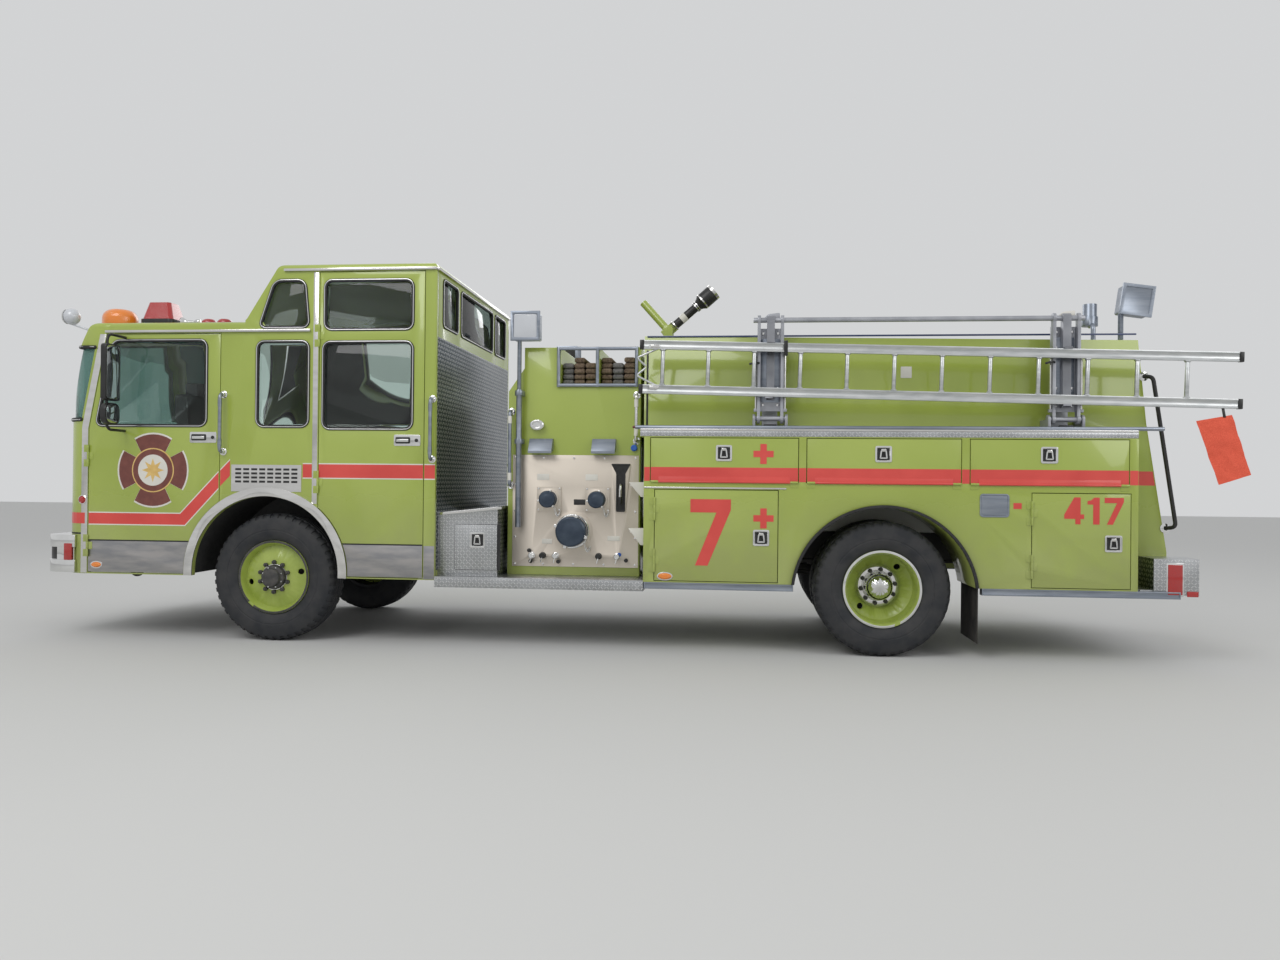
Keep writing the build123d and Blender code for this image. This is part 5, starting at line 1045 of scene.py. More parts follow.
# %% Window seals and beads
WINDOWS = (  # name, body, outline from the rear axle
    ("front_door", "left_front_door", [(-6.375, 1.755), (-6.235, 2.445), (-5.43, 2.445), (-5.43, 1.755)]),
    ("fixed_low", "chassis", rect(-4.991, -4.566, 1.752, 2.431)),
    ("fixed_high", "chassis", [(-4.975, 2.553), (-4.85, 2.924), (-4.6, 2.924), (-4.565, 2.553)]),
    ("crew_low", "left_crew_door", rect(-4.435, -3.703, 1.735, 2.424)),
    ("crew_high", "left_crew_door", rect(-4.424, -3.703, 2.533, 2.92)))
BEAD = 0.0065
for name, body, points in WINDOWS:
    opening = wall(points)
    rubber = plate("left_seal_" + name, grown(opening, -0.009), SIDE + 0.016, -0.022, corner=0.046,
                   frame_width=0.026, outward=True)
    both(rubber, "seal", body, 0.0025)
    bead = plate("left_bead_" + name, grown(opening, 0.004), SIDE - 0.0055, -0.0035, corner=0.058,
                 frame_width=BEAD, outward=True)
    both(bead, "chrome", body, 0.0008)
CAB_BACK = st(-3.505)
REAR_WINDOWS = ((-0.535, 0.535), (0.64, 1.045), (-1.045, -0.64))
REAR_WINDOW_LOW, REAR_WINDOW_TOP = 2.58, 2.95
for number, (y0, y1) in enumerate(REAR_WINDOWS):
    opening = rect(y0, y1, REAR_WINDOW_LOW, REAR_WINDOW_TOP)
    rubber = plate("rear_seal_%d" % number, grown(opening, -0.009), CAB_BACK - 0.016, 0.022, "X", 0.03,
                   frame_width=0.028, outward=True)
    dress(rubber, "seal", width=0.0025)
    bead = plate("rear_bead_%d" % number, grown(opening, 0.005), CAB_BACK + 0.0055, 0.003, "X", 0.04,
                 frame_width=BEAD, outward=True)
    dress(bead, "chrome", "chassis", 0.0008)
print("window seals:", 2 * len(WINDOWS) + len(REAR_WINDOWS))

# %% [markdown]
# The windscreen wraps round the corners of the cab, so its seal can't be drawn
# flat. We take the edge of the opening from the CAD shell itself, turn those
# edges into a curve and give the curve a round section. The bright bead is the
# same line, pushed a little outward.


# %% Windscreen seal and bead
def screen_edge(name, grow, radius, look):
    """A round section that follows the edge of the windscreen opening."""
    shell = bpy.data.objects.new(name, nodes["cab_shell"].data.copy())
    bpy.context.collection.objects.link(shell)
    edit(shell)
    bpy.ops.mesh.remove_doubles(threshold=0.00002)
    bpy.ops.mesh.select_mode(type="EDGE")
    bpy.ops.mesh.select_all(action="DESELECT")
    mesh = bmesh.from_edit_mesh(shell.data)
    middle = Vector((st(-5.4), 0, 2.05))
    count = 0
    for edge in mesh.edges:
        centre = (edge.verts[0].co + edge.verts[1].co) / 2
        if len(edge.link_faces) != 2 or centre.x > st(-6.37) or not 1.795 < centre.z < 2.4:
            continue
        if edge.calc_face_angle() < math.radians(35):
            continue
        skin = [f for f in edge.link_faces if f.normal.dot((centre - middle).normalized()) > 0.45]
        if len(skin) == 1 and abs(skin[0].normal.z) < 0.75 and abs(centre.y) > 0.02:
            edge.select_set(True)
            count += 1
    bmesh.update_edit_mesh(shell.data)
    bpy.ops.mesh.select_all(action="INVERT")
    bpy.ops.mesh.delete(type="EDGE")
    everything()
    bpy.ops.transform.resize(value=(grow, grow, grow), center_override=middle)
    leave()
    bpy.ops.object.convert(target="CURVE")
    line = bpy.context.active_object
    line.data.bevel_depth = radius
    line.data.bevel_resolution = 3
    bpy.ops.object.convert(target="MESH")
    piece = made(name)
    smooth(50)
    dress(piece, look)
    return count


print("edges of the opening:", screen_edge("screen_seal", 1.0, 0.016, "seal"))
screen_edge("screen_bead", 1.008, 0.0045, "chrome")

# %% [markdown]
# Bright strips and the skirt
#
# Folded stainless strips hide the joints of the cab: one runs up the front
# pillar and bends with it, one stands before the crew door, and a dull skirt
# takes the stones below the doors. The skirt stops in a curve where the wheel
# arch begins. Thin black lines of sealant edge the strips.

# %% Pillar strips, skirt and sealant lines
ARCH = (-4.915, 0.564)
ARCH_OUT = 0.695
pillar = [(-6.503, 0.535), (-6.449, 0.535), (-6.449, 1.724), (-6.298, 2.503), (-6.352, 2.503),
          (-6.497, 1.77), (-6.503, 1.724)]
strip = plate("left_pillar_strip", wall(pillar), SIDE, -0.0018)
both(strip, "polished", width=0.0006)
strip = plate("left_joint_strip", wall(rect(-4.524, -4.482, 1.124, 2.992)), SIDE, -0.0022)
both(strip, "polished", width=0.0008)


def arch_edge(low, high, way, count=7):
    """Points of the arch between two heights, on its front (-1) or rear (1) side."""
    heights = [high + (low - high) * k / (count - 1) for k in range(count)]
    return [(ARCH[0] + way * math.sqrt(ARCH_OUT ** 2 - (z - ARCH[1]) ** 2), z) for z in heights]


SKIRT_LOW, SKIRT_TOP, SEALANT_TOP = 0.547, 0.8, 0.811
SKIRTS = (  # name, body, straight edge, side of the arch
    ("front_door", "left_front_door", -6.438, -1), ("crew_door", "left_crew_door", -3.605, 1))
for name, body, x, way in SKIRTS:
    outline = [(x, SKIRT_LOW), (x, SKIRT_TOP)] + arch_edge(SKIRT_LOW, SKIRT_TOP, way)
    both(plate("left_skirt_" + name, wall(outline), SIDE, -0.0014), "skirt", body, 0.0004)
    line = [(x, SKIRT_TOP), (x, SEALANT_TOP)] + arch_edge(SKIRT_TOP, SEALANT_TOP, way)
    both(plate("left_skirt_line_" + name, wall(line), SIDE, -0.002), "seal", body)
rear = wall(rect(-3.594, -3.507, 0.535, SKIRT_TOP))
both(plate("left_skirt_rear", rear, SIDE, -0.0014), "skirt", width=0.0004)
corner = [(st(-6.691), -0.97)] + wall(arc((-6.47, -1.0), 0.2212, 180, 270, 9))
both(band("left_skirt_corner", corner, 0.852, 0.866, 0.0012), "seal")

# %% [markdown]
# The red stripe
#
# A red reflective film runs low along the front of the cab, climbs in front of
# the wheel arch and goes on at door height to the tail, with a pale line along
# both its edges on the cab. It was laid over the closed doors and then cut
# along the gaps, so here every door and every fixed panel has its own length.

# %% Stripe on the cab
LOW_STRIPE, HIGH_STRIPE = (0.94, 1.03), (1.336, 1.444)
LINE = 0.009


def film(name, outline, body, look="red_film", lift=0.0009):
    """A thin film on the side wall of the driver's side, and its mirror image."""
    both(plate("left_" + name, wall(outline), SIDE, -lift), look, body)


low, high = LOW_STRIPE
up = HIGH_STRIPE
film("stripe_front_door",
     [(-6.437, low), (-6.437, high), (-5.64, high), (-5.315, 1.372), (-5.315, 1.245), (-5.6, low)],
     "left_front_door")
film("stripe_edge_top",
     [(-6.437, high), (-6.437, high + LINE), (-5.643, high + LINE), (-5.315, 1.384), (-5.315, 1.372),
      (-5.64, high)], "left_front_door", "pale_film")
film("stripe_edge_low", [(-6.437, low - LINE), (-6.437, low), (-5.6, low), (-5.315, 1.245),
                         (-5.315, 1.233), (-5.597, low - LINE)], "left_front_door", "pale_film")
film("stripe_climb", [(-5.301, 1.259), (-5.301, 1.386), (-5.218, 1.47), (-5.218, 1.344)], "chassis")
film("stripe_climb_top", [(-5.301, 1.386), (-5.301, 1.398), (-5.218, 1.482), (-5.218, 1.47)], "chassis",
     "pale_film")
PANELS = (  # name, body, front edge, rear edge
    ("before_crew", "chassis", -4.602, -4.526), ("crew_door", "left_crew_door", -4.468, -3.605),
    ("behind_crew", "chassis", -3.594, -3.507))
for name, body, x0, x1 in PANELS:
    film("stripe_" + name, rect(x0, x1, *up), body)
    for end, z in (("low", up[0] - LINE), ("top", up[1])):
        film("stripe_%s_%s" % (end, name), rect(x0, x1, z, z + LINE), body, "pale_film")
FILM = 0.0012
nose = [(st(-6.506), -1.2212), (st(-6.47), -1.2212)]
both(band("left_stripe_corner", corner, low, high, FILM), "red_film")
both(band("left_stripe_nose", nose, low, high, FILM), "red_film")

# %% Stripe on the hose body
BODY_PANELS = (  # name, body, front edge, rear edge
    ("body_front", "chassis", -1.836, -1.792), ("upper_front", "left_upper_front_door", -1.784, -0.653),
    ("body_a", "chassis", -0.645, -0.591), ("upper_middle", "left_upper_middle_door", -0.583, 0.561),
    ("body_b", "chassis", 0.569, 0.624), ("upper_rear", "left_upper_rear_door", 0.632, 1.771),
    ("body_rear", "chassis", 1.779, 1.838))
HINGE_LEAF = 1.2204
for name, body, x0, x1 in BODY_PANELS:
    film("stripe_" + name, rect(x0, x1, *up), body)
    if body != "chassis":
        for door in (body, body.replace("left_", "right_")):    # leaves of the hinge over the film
            paint_faces(fine[door], "red_film", lambda c, n: c.z < up[1] and abs(c.y) > HINGE_LEAF)
tail = plate("left_stripe_tail", wall([(1.842, up[0]), (1.842, up[1]), (2.06, up[1]), (2.077, up[0])]),
             BED_WALL, -0.0009)
both(tail, "red_film")

# %% [markdown]
# Badge and numbers
#
# The front door carries a round badge of the old fire-service pattern: a cross
# with four flared arms in dark red-brown with a pale edge. Here it is a plain
# one, with a disc and an eight-pointed rosette in the middle and nothing
# written on it. The body carries a big figure seven, two plus signs and a
# number of three figures, in plain block shapes cut from red film.

# %% The badge
BADGE = (-5.88, 1.385)


def flared_cross(size):
    """Outline of a cross whose four arms widen outward and end in an arc."""
    points = []
    for middle in (0, 90, 180, 270):
        points.append(polar(BADGE, 0.3 * size, middle - 45))
        points += [polar(BADGE, size, middle + a) for a in range(-32, 33, 8)]
    return points


LAYERS = (("edge", 0.308, "pale_film", 0.0008), ("field", 0.294, "brown_film", 0.0013))
for name, size, look, lift in LAYERS:
    film("badge_" + name, flared_cross(size), "left_front_door", look, lift)
DISCS = (("rim", 0.182, "gold_film", 0.0018), ("ring", 0.172, "brown_film", 0.0022),
         ("disc", 0.128, "pale_film", 0.0026))
for name, radius, look, lift in DISCS:
    film("badge_" + name, arc(BADGE, radius, 0, 352, 45), "left_front_door", look, lift)
rosette = [polar(BADGE, 0.046 if k % 2 else 0.098, 22.5 * k) for k in range(16)]
film("badge_rosette", rosette, "left_front_door", "gold_film", 0.003)

# %% Numbers and plus signs
DIGITS = {  # outlines in a box one wide and one high
    "1": [(0.34, 0), (0.34, 0.74), (0, 0.74), (0, 0.87), (0.22, 0.9), (0.4, 1), (0.72, 1), (0.72, 0)],
    "4": [(0.56, 0), (0.56, 0.2), (0, 0.2), (0, 0.36), (0.5, 1), (0.82, 1), (0.82, 0.37), (1, 0.37),
          (1, 0.2), (0.82, 0.2), (0.82, 0)],
    "7": [(0.12, 0), (0.62, 0.8), (0, 0.8), (0, 1), (0.96, 1), (0.96, 0.84), (0.42, 0)],
    "+": [(0.34, 0), (0.34, 0.34), (0, 0.34), (0, 0.66), (0.34, 0.66), (0.34, 1), (0.66, 1),
          (0.66, 0.66), (1, 0.66), (1, 0.34), (0.66, 0.34), (0.66, 0)]}
MARKS = (  # mark, body, front X, low Z, width, height
    ("7", "left_lower_front_door", -1.474, 0.685, 0.325, 0.513),
    ("+", "left_upper_front_door", -0.993, 1.473, 0.154, 0.154),
    ("+", "left_lower_front_door", -0.989, 0.978, 0.154, 0.154),
    ("4", "left_lower_rear_door", 1.312, 1.042, 0.142, 0.2),
    ("1", "left_lower_rear_door", 1.478, 1.042, 0.12, 0.2),
    ("7", "left_lower_rear_door", 1.6, 1.042, 0.142, 0.2))
NUMBER_ENDS = 1.312 + 1.742      # the number keeps its order on the officer's side
for number, (mark, body, x, z, width, height) in enumerate(MARKS):
    shape = [(st(x + a * width), z + b * height) for a, b in DIGITS[mark]]
    dress(plate("left_mark_%d" % number, shape, SIDE, -0.0015), "red_film", body)
    turn = NUMBER_ENDS if body == "left_lower_rear_door" else 2 * x + width
    mirrored = [(st(turn - x - a * width), z + b * height) for a, b in DIGITS[mark]]
    dress(plate("right_mark_%d" % number, mirrored, -SIDE, 0.0015), "red_film",
          body.replace("left_", "right_"))
print("marks:", 2 * len(MARKS))

# %% [markdown]
# Latches
#
# The cab doors have a long plate with a paddle and a lock, the lockers a
# square cup with a folding ring. Both are pressed and plated, so their edges
# are soft. The locker latch is a plate whose face is drawn in to make the cup,
# with the ring as a small frame inside it.


# %% Door latches of the cab
def cab_latch(name, x0, x1, z0, z1, body):
    """A long plate with a cup, a paddle in it and a round lock beside it."""
    base = plate(name + "_plate", wall(rect(x0, x1, z0, z1)), SIDE, -0.004, corner=0.012)
    both(base, "chrome", body, 0.0012)
    mid = x0 + 0.62 * (x1 - x0)
    cup = plate(
        name + "_cup", wall(rect(x0 + 0.014, mid, z0 + 0.018, z1 - 0.018)), SIDE - 0.004, -0.0012,
        corner=0.01)
    both(cup, "black", body, 0.0004)
    paddle = block(name + "_paddle", (st(x0 + 0.024), SIDE - 0.016, z0 + 0.03),
                   (st(mid - 0.012), SIDE - 0.005, z1 - 0.034))
    both(paddle, "chrome", body, 0.004, 3)
    lock = turned(
        name + "_lock",
        [(0, 0.0004), (-0.006, 0.0004), (-0.007, 0.004), (-0.007, 0.011), (-0.004, 0.014), (0, 0.014)],
        (st(x1 - 0.032), SIDE - 0.004, (z0 + z1) / 2), steps=24)
    both(lock, "black", body)


cab_latch("left_front_latch", -5.564, -5.335, 1.612, 1.7, "left_front_door")
cab_latch("left_crew_latch", -3.846, -3.628, 1.596, 1.684, "left_crew_door")


# %% Locker latches
def locker_latch(name, x, z, body, y=SIDE):
    """A square plated cup with a folding ring."""
    size = 0.062
    frame_part = plate(name + "_frame", rect(st(x - size), st(x + size), z - size, z + size),
                       y, -0.005, corner=0.014)
    pick(frame_part, outer_face)
    bpy.ops.mesh.inset(thickness=0.013, depth=0.0)
    bpy.ops.mesh.inset(thickness=0.003, depth=-0.0035)
    fresh()
    dress(frame_part, "chrome", body, 0.0008)
    paint_faces(frame_part, "black", lambda c, n: n.y < -0.9 and c.y > y - 0.0025)
    twin(frame_part, body)
    handle = plate(name + "_ring", [(st(x - 0.03), z - 0.036), (st(x + 0.03), z - 0.036),
                                    (st(x + 0.022), z + 0.03), (st(x - 0.022), z + 0.03)],
                   y - 0.003, -0.007, corner=0.008, frame_width=0.01)
    both(handle, "chrome", body, 0.002)
    boss = block(
        name + "_boss", (st(x - 0.018), y - 0.012, z + 0.018), (st(x + 0.018), y - 0.002, z + 0.04))
    both(boss, "polished", body, 0.003)


LATCH_PLACES = ((-1.219, 1.555), (-0.012, 1.555), (1.202, 1.555), (-0.929, 0.905), (1.665, 0.9))
for name, (x, z) in zip(LOCKERS, LATCH_PLACES):
    locker_latch("left_latch_" + name, x, z, "left_" + name + "_door")
locker_latch("left_latch_step_box", -3.176, 0.85, "chassis", y=-1.148)
print("latches:", 2 * (2 + len(LOCKERS) + 1))

# %% [markdown]
# The air grille over the wheel
#
# Over the front wheel a bright panel lets the engine breathe. It is one sheet
# with four rows of eight pressed slots. A grid gives the cells, each cell is
# drawn in by itself, and the middles are pushed back and blackened, which is
# painted shade for the dark inside the openings. Then the outer edge is drawn
# out to the size of the sheet.

# %% Air grille
fresh()
x0, x1, z0, z1 = -5.205, -4.612, 1.219, 1.436
rows_wide, rows_high, rows_top = x1 - x0 - 0.05, 0.133, z1 - 0.0205
PROUD = 0.0035
bpy.ops.mesh.primitive_grid_add(x_subdivisions=8, y_subdivisions=4, size=1.0, rotation=(math.pi / 2, 0, 0),
                                location=(st((x0 + x1) / 2), SIDE - PROUD, rows_top - rows_high / 2))
vent = made("left_air_grille")
vent.scale = (rows_wide, rows_high, 1)
bpy.ops.object.transform_apply()
edit(vent)
bpy.ops.mesh.select_mode(type="FACE")
bpy.ops.mesh.inset(thickness=0.0078, use_individual=True)
bpy.ops.mesh.inset(thickness=0.0015, depth=-0.0027, use_individual=True)
bpy.ops.mesh.select_all(action="DESELECT")
bpy.ops.mesh.select_mode(type="EDGE")
bpy.ops.mesh.select_non_manifold()
push((0, 0, 0))
grow = ((x1 - x0) / rows_wide, 1, (z1 - z0) / rows_high)
pivot = (st((x0 + x1) / 2), SIDE, (grow[2] * rows_top - z1) / (grow[2] - 1))
bpy.ops.transform.resize(value=grow, center_override=pivot)
push((0, PROUD, 0))
leave()
dress(vent, "polished")
# The black on the slot floors is painted shade, standing in for the dark inside the openings.
paint_faces(vent, "black", lambda c, n: n.y < -0.9 and c.y > SIDE - 0.0015)
twin(vent)
print("air grille faces:", len(vent.data.polygons))

# %% [markdown]
# The pump panel
#
# This is the busiest place on the engine: two capped outlets on square plates,
# a large capped inlet, a row of drain valves, lamp hoods and the slot of a
# lever. Caps are turned castings with lugs for a spanner, so a profile is spun
# and lugs are set round it. Each cap hangs on a short chain. Real panels also
# carry written plates; here they are left bare.

# %% Caps of the outlets and the inlet
PANEL_Y = PUMP_WALL - 0.0063
OUTLETS = (-2.643, -2.243)
INLET_X = -2.442


def cap(name, centre, radius, length, lugs, look, lug_look):
    """A turned cap with grip ribs and lugs, standing out of the panel towards -Y."""
    x, y, z = centre
    profile = [(0, radius * 1.1), (-length * 0.16, radius * 1.1), (-length * 0.2, radius * 1.02),
               (-length * 0.7, radius * 1.02), (-length * 0.74, radius * 1.1),
               (-length * 0.9, radius * 1.1), (-length, radius * 0.98), (-length, radius * 0.62),
               (-length * 1.02, radius * 0.56), (-length * 1.02, TIP)]
    body = turned(name, profile, centre, steps=48)
    dress(body, look, width=0.0015)
    lug = block(name + "_lug", (x - radius * 0.12, y - length * 0.9, z + radius * 1.02),
                (x + radius * 0.12, y - length * 0.45, z + radius * 1.3))
    round_edges(lug, radius * 0.05)
    dress(ring_of(lug, name + "_lugs", centre, lugs, 20), lug_look)
    return body


for number, x in enumerate(OUTLETS):
    cap(
        "left_outlet_cap_%d" % number, (st(x), PANEL_Y - 0.026, OUTLET_Z), 0.0625, 0.085, 3, "cap_blue",
        "chrome")
    screw = nut(
        "left_outlet_screw_%d" % number, (st(x - 0.086), PANEL_Y - 0.013, OUTLET_Z - 0.086), 0.007, 0.005,
        sides=12, stud=False)
    corners = [(0.172, 0, 0), (0.172, 0, 0.172), (0, 0, 0.172)]
    dress(repeated("left_outlet_screws_%d" % number, screw, corners), "chrome")
cap("left_inlet_cap", (st(INLET_X), PANEL_Y - 0.06, INLET_Z), 0.1105, 0.091, 4, "cap_blue", "chrome")
collar = turned(
    "left_inlet_collar",
    [(0, 0.136), (-0.01, 0.139), (-0.02, 0.139), (-0.024, 0.134), (-0.024, 0.124), (0, 0.124), (0, 0.136)],
    (st(INLET_X), PANEL_Y - 0.037, INLET_Z), steps=60)
dress(collar, "chrome", width=0.001)


# %% Chains of the caps
WIRE = 0.0016
LINK = 0.0055


def chain_links(name, start, end, sag, count):
    """Small wire links along a hanging line, every second one turned."""
    a, b = Vector(start), Vector(end)
    links = []
    for k in range(count):
        t = (k + 0.5) / count
        place = a.lerp(b, t) + Vector((0, 0, -sag * 4 * t * (1 - t)))
        fresh()
        bpy.ops.mesh.primitive_torus_add(
            location=place, major_radius=LINK, minor_radius=WIRE, major_segments=14, minor_segments=6,
            rotation=(math.pi / 2, (math.pi / 2) * (k % 2), 0))
        link = bpy.context.active_object
        bpy.ops.object.transform_apply()
        bpy.ops.object.mode_set(mode="EDIT")
        everything()
        bpy.ops.transform.resize(value=(1.0, 1.0, 1.35), center_override=place)
        leave()
        links.append(link)
    piece = joined(name, links)
    smooth(60)
    return dress(piece, "chrome")


for number, x in enumerate(OUTLETS):
    start = (st(x + 0.052), PANEL_Y - 0.06, OUTLET_Z - 0.055)
    chain_links(
        "left_chain_%d" % number, start, (st(x + 0.094), PANEL_Y - 0.016, OUTLET_Z - 0.094), 0.055, 14)
chain_links("left_inlet_chain", (st(-2.342), PANEL_Y - 0.075, 0.85), (st(-2.3), PANEL_Y - 0.006, 0.8),
            0.06, 16)

# %% Drains, small valves and the lever slot
DRAINS, DRAIN_Z = (-2.783, -2.692, -2.585, -2.231, -2.079), 0.72
KNOBS = ((-2.802, 0.76), (-2.79, 0.672), (-2.56, 0.672), (-2.06, 0.735), (-2.005, 0.69))
LEVER_X = st(-2.052)
for number, x in enumerate(DRAINS):
    base = turned(
        "left_drain_%d" % number,
        [(0, 0.027), (-0.006, 0.027), (-0.009, 0.019), (-0.026, 0.019), (-0.029, 0.024), (-0.045, 0.024),
         (-0.049, 0.019), (-0.049, TIP)], (st(x), PANEL_Y, DRAIN_Z), steps=28)
    dress(base, "black" if number % 2 else "chrome", width=0.001)
    bend = [(st(x), PANEL_Y - 0.036, DRAIN_Z), (st(x), PANEL_Y - 0.046, DRAIN_Z - 0.02),
            (st(x - 0.01), PANEL_Y - 0.048, DRAIN_Z - 0.056)]
    lever = tube("left_drain_lever_%d" % number, bend, 0.0055, 0.01)
    dress(lever, "chrome")
for number, (x, z) in enumerate(KNOBS):
    knob = turned(
        "left_knob_%d" % number,
        [(0, 0.01), (-0.014, 0.01), (-0.016, 0.016), (-0.026, 0.0165), (-0.029, 0.012), (-0.029, TIP)],
        (st(x), PANEL_Y, z), steps=24)
    dress(knob, "blue_cap" if number == 3 else "black", width=0.0008)
slot = [(-2.128, 1.468), (-1.98, 1.468), (-2.02, 1.395), (-2.02, 1.086), (-2.088, 1.086), (-2.088, 1.395)]
edge = plate("left_lever_slot_edge", wall(grown(slot, 0.004)), PANEL_Y - 0.012, -0.006, corner=0.012,
             frame_width=0.012)
dress(edge, "black", width=0.001)
well = plate("left_lever_slot", wall(slot), PANEL_Y - 0.0135, -0.0012, corner=0.012)
dress(well, "seal")
handle = tube(
    "left_lever",
    [(LEVER_X, PANEL_Y - 0.01, 1.31), (LEVER_X, PANEL_Y - 0.05, 1.3), (LEVER_X, PANEL_Y - 0.072, 1.2)],
    0.01, 0.02)
dress(handle, "chrome")
grip = turned(
    "left_lever_grip",
    [(0, 0.01), (0, 0.015), (-0.01, 0.018), (-0.05, 0.018), (-0.062, 0.012), (-0.062, TIP)],
    (LEVER_X, PANEL_Y - 0.073, 1.205), axis="Z", steps=24)
dress(grip, "black")

# %% Bolts, bare plates, hood lamps and the two caps above the panel
spots = [(x, z) for x in (-2.925, -2.69, -2.44, -2.19, -1.935) for z in (0.652, 1.518)]
spots += [(x, z) for x in (-2.925, -1.935) for z in (0.87, 1.085, 1.3)]
bolt = nut("left_panel_bolt", (st(spots[0][0]), PANEL_Y, spots[0][1]), 0.0085, 0.006, sides=16, stud=False)
bolts = repeated("left_panel_bolts", bolt, [(x - spots[0][0], 0, z - spots[0][1]) for x, z in spots[1:]])
dress(bolts, "chrome")
SIGNS = ((-2.745, 1.335, 0.1, 0.05), (-2.345, 1.335, 0.1, 0.05), (-2.7, 0.815, 0.085, 0.04),
         (-2.44, 1.135, 0.14, 0.045), (-2.16, 0.845, 0.1, 0.04))
for number, (x, z, wide, high) in enumerate(SIGNS):
    sign = plate("left_sign_%d" % number, wall(rect(x, x + wide, z, z + high)),
                 PANEL_Y, -0.002, corner=0.004)
    dress(sign, "pale_film" if number != 3 else "black", width=0.0004)
HOODS = ((-2.806, -2.614), (-2.289, -2.097))
HOOD_Z, HOOD_SLOPE = 1.617, 33
for number, (x0, x1) in enumerate(HOODS):
    lamp_plate = plate(
        "left_hood_lamp_%d" % number, wall(rect(x0 + 0.03, x1 - 0.03, HOOD_Z - 0.029, HOOD_Z + 0.029)),
        PUMP_WALL - 0.06, -0.004, corner=0.008)
    lean(lamp_plate, -HOOD_SLOPE, "X", (st((x0 + x1) / 2), PUMP_WALL - 0.062, HOOD_Z))
    dress(lamp_plate, "black", width=0.0008)
outlet = turned(
    "left_round_outlet",
    [(0, 0.05), (-0.01, 0.052), (-0.014, 0.046), (-0.014, 0.034), (-0.008, 0.03), (-0.008, TIP)],
    (st(-2.744), PUMP_WALL - 0.046, 1.784), steps=44)
edit(outlet)
bpy.ops.transform.resize(value=(1.08, 1, 0.78), center_override=(st(-2.744), PUMP_WALL, 1.784))
fresh()
dress(outlet, "chrome", width=0.001)
blue = turned("left_blue_cap", [(0, 0.026), (-0.024, 0.026), (-0.029, 0.021), (-0.029, TIP)],
              (st(-1.949), PUMP_WALL, 1.601), steps=28)
dress(blue, "blue_cap", width=0.001)

# %% [markdown]
# The same panel on the other side
#
# The officer's side of a pump house has its own caps and drains. Nothing of it
# shows in the photograph, so it is the driver's side in a mirror.

# %% Mirror the panel's pieces
PANEL_PIECES = (
    "left_outlet", "left_inlet", "left_chain", "left_drain", "left_knob", "left_lever", "left_panel",
    "left_sign", "left_hood", "left_round", "left_blue")
for piece in [o for o in bpy.data.objects if o.name.startswith(PANEL_PIECES)]:
    twin(piece)

# %% [markdown]
# Hose in the crosslay trays
#
# Attack hose lies ready over the pump, folded back and forth. What shows is the
# stack of folds at the tray's mouth, three side by side. One fold is a long slab
# with rounded ends that reaches from one side of the engine to the other. It is
# copied up each stack with a small difference in reach.

# %% One fold, and the rows of folds
random.seed(11)
TRAYS = ((-2.56, -2.27), (-2.24, -1.95))
HOSE_W, HOSE_HIGH, GAP = 0.094, 0.046, 0.003
TRAY_FLOOR = 2.1208
fold_base = block("fold", (0, -0.85, 0), (HOSE_W - GAP, 0.85, HOSE_HIGH - GAP))
round_edges(fold_base, 0.018, 4)
for tray, (front, rear) in enumerate(TRAYS):
    layers = {"hose_brown": [], "hose_grey": []}
    for column in range(3):
        for layer in range(4 + (column + tray) % 2):
            place = (st(front + 0.004 + column * 0.095), 0, TRAY_FLOOR + layer * HOSE_HIGH)
            copy = again(fold_base, "fold_copy", move=place)
            reach = 1.0 - 0.035 * random.random()
            edit(copy)
            bpy.ops.transform.resize(value=(1, reach, 1), center_override=(0, 0, 0))
            fresh()
            brown = (column * 5 + layer * 3 + tray) % 3
            layers["hose_brown" if brown else "hose_grey"].append(copy)
    for look, copies in layers.items():
        dress(joined("tray_%d_%s" % (tray, look), copies), look)
bpy.data.objects.remove(fold_base)
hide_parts("crosslay_hose")

# %% [markdown]
# Rails, ledges and small doors of the hose body
#
# Along the foot of the body runs a rubbing rail of bright channel that takes
# the knocks of kerbs. The ledge over the lockers is faced with tread plate and
# has a polished lip. Behind the rear wheel sits the small square door of the
# fuel filler.

# %% Rub rails and the ledge
RUB_RAILS = (("front", -1.832, -0.682), ("rear", 0.722, 2.145))
for name, x0, x1 in RUB_RAILS:
    rail = block("left_rub_rail_" + name, (st(x0), SIDE + 0.002, 0.497), (st(x1), SIDE + 0.075, 0.5497))
    pick(rail, outer_face)
    bpy.ops.mesh.inset(thickness=0.01)
    push((0, 0.008, 0))
    fresh()
    both(rail, "rail", width=0.002)
lip = block("left_ledge_lip", (st(-1.87), SIDE - 0.006, 1.726), (st(1.838), SIDE + 0.055, 1.7425))
both(lip, "polished", width=0.004, segments=3)
face = plate("left_ledge_face", wall(rect(-1.869, 1.838, 1.684, 1.726)), SIDE, -0.0025)
both(face, "tread_side", width=0.0006)
drip = block("left_drip_rail", (st(-1.836), SIDE - 0.007, 1.279), (st(-0.74), SIDE, 1.291))
both(drip, "polished", width=0.002)

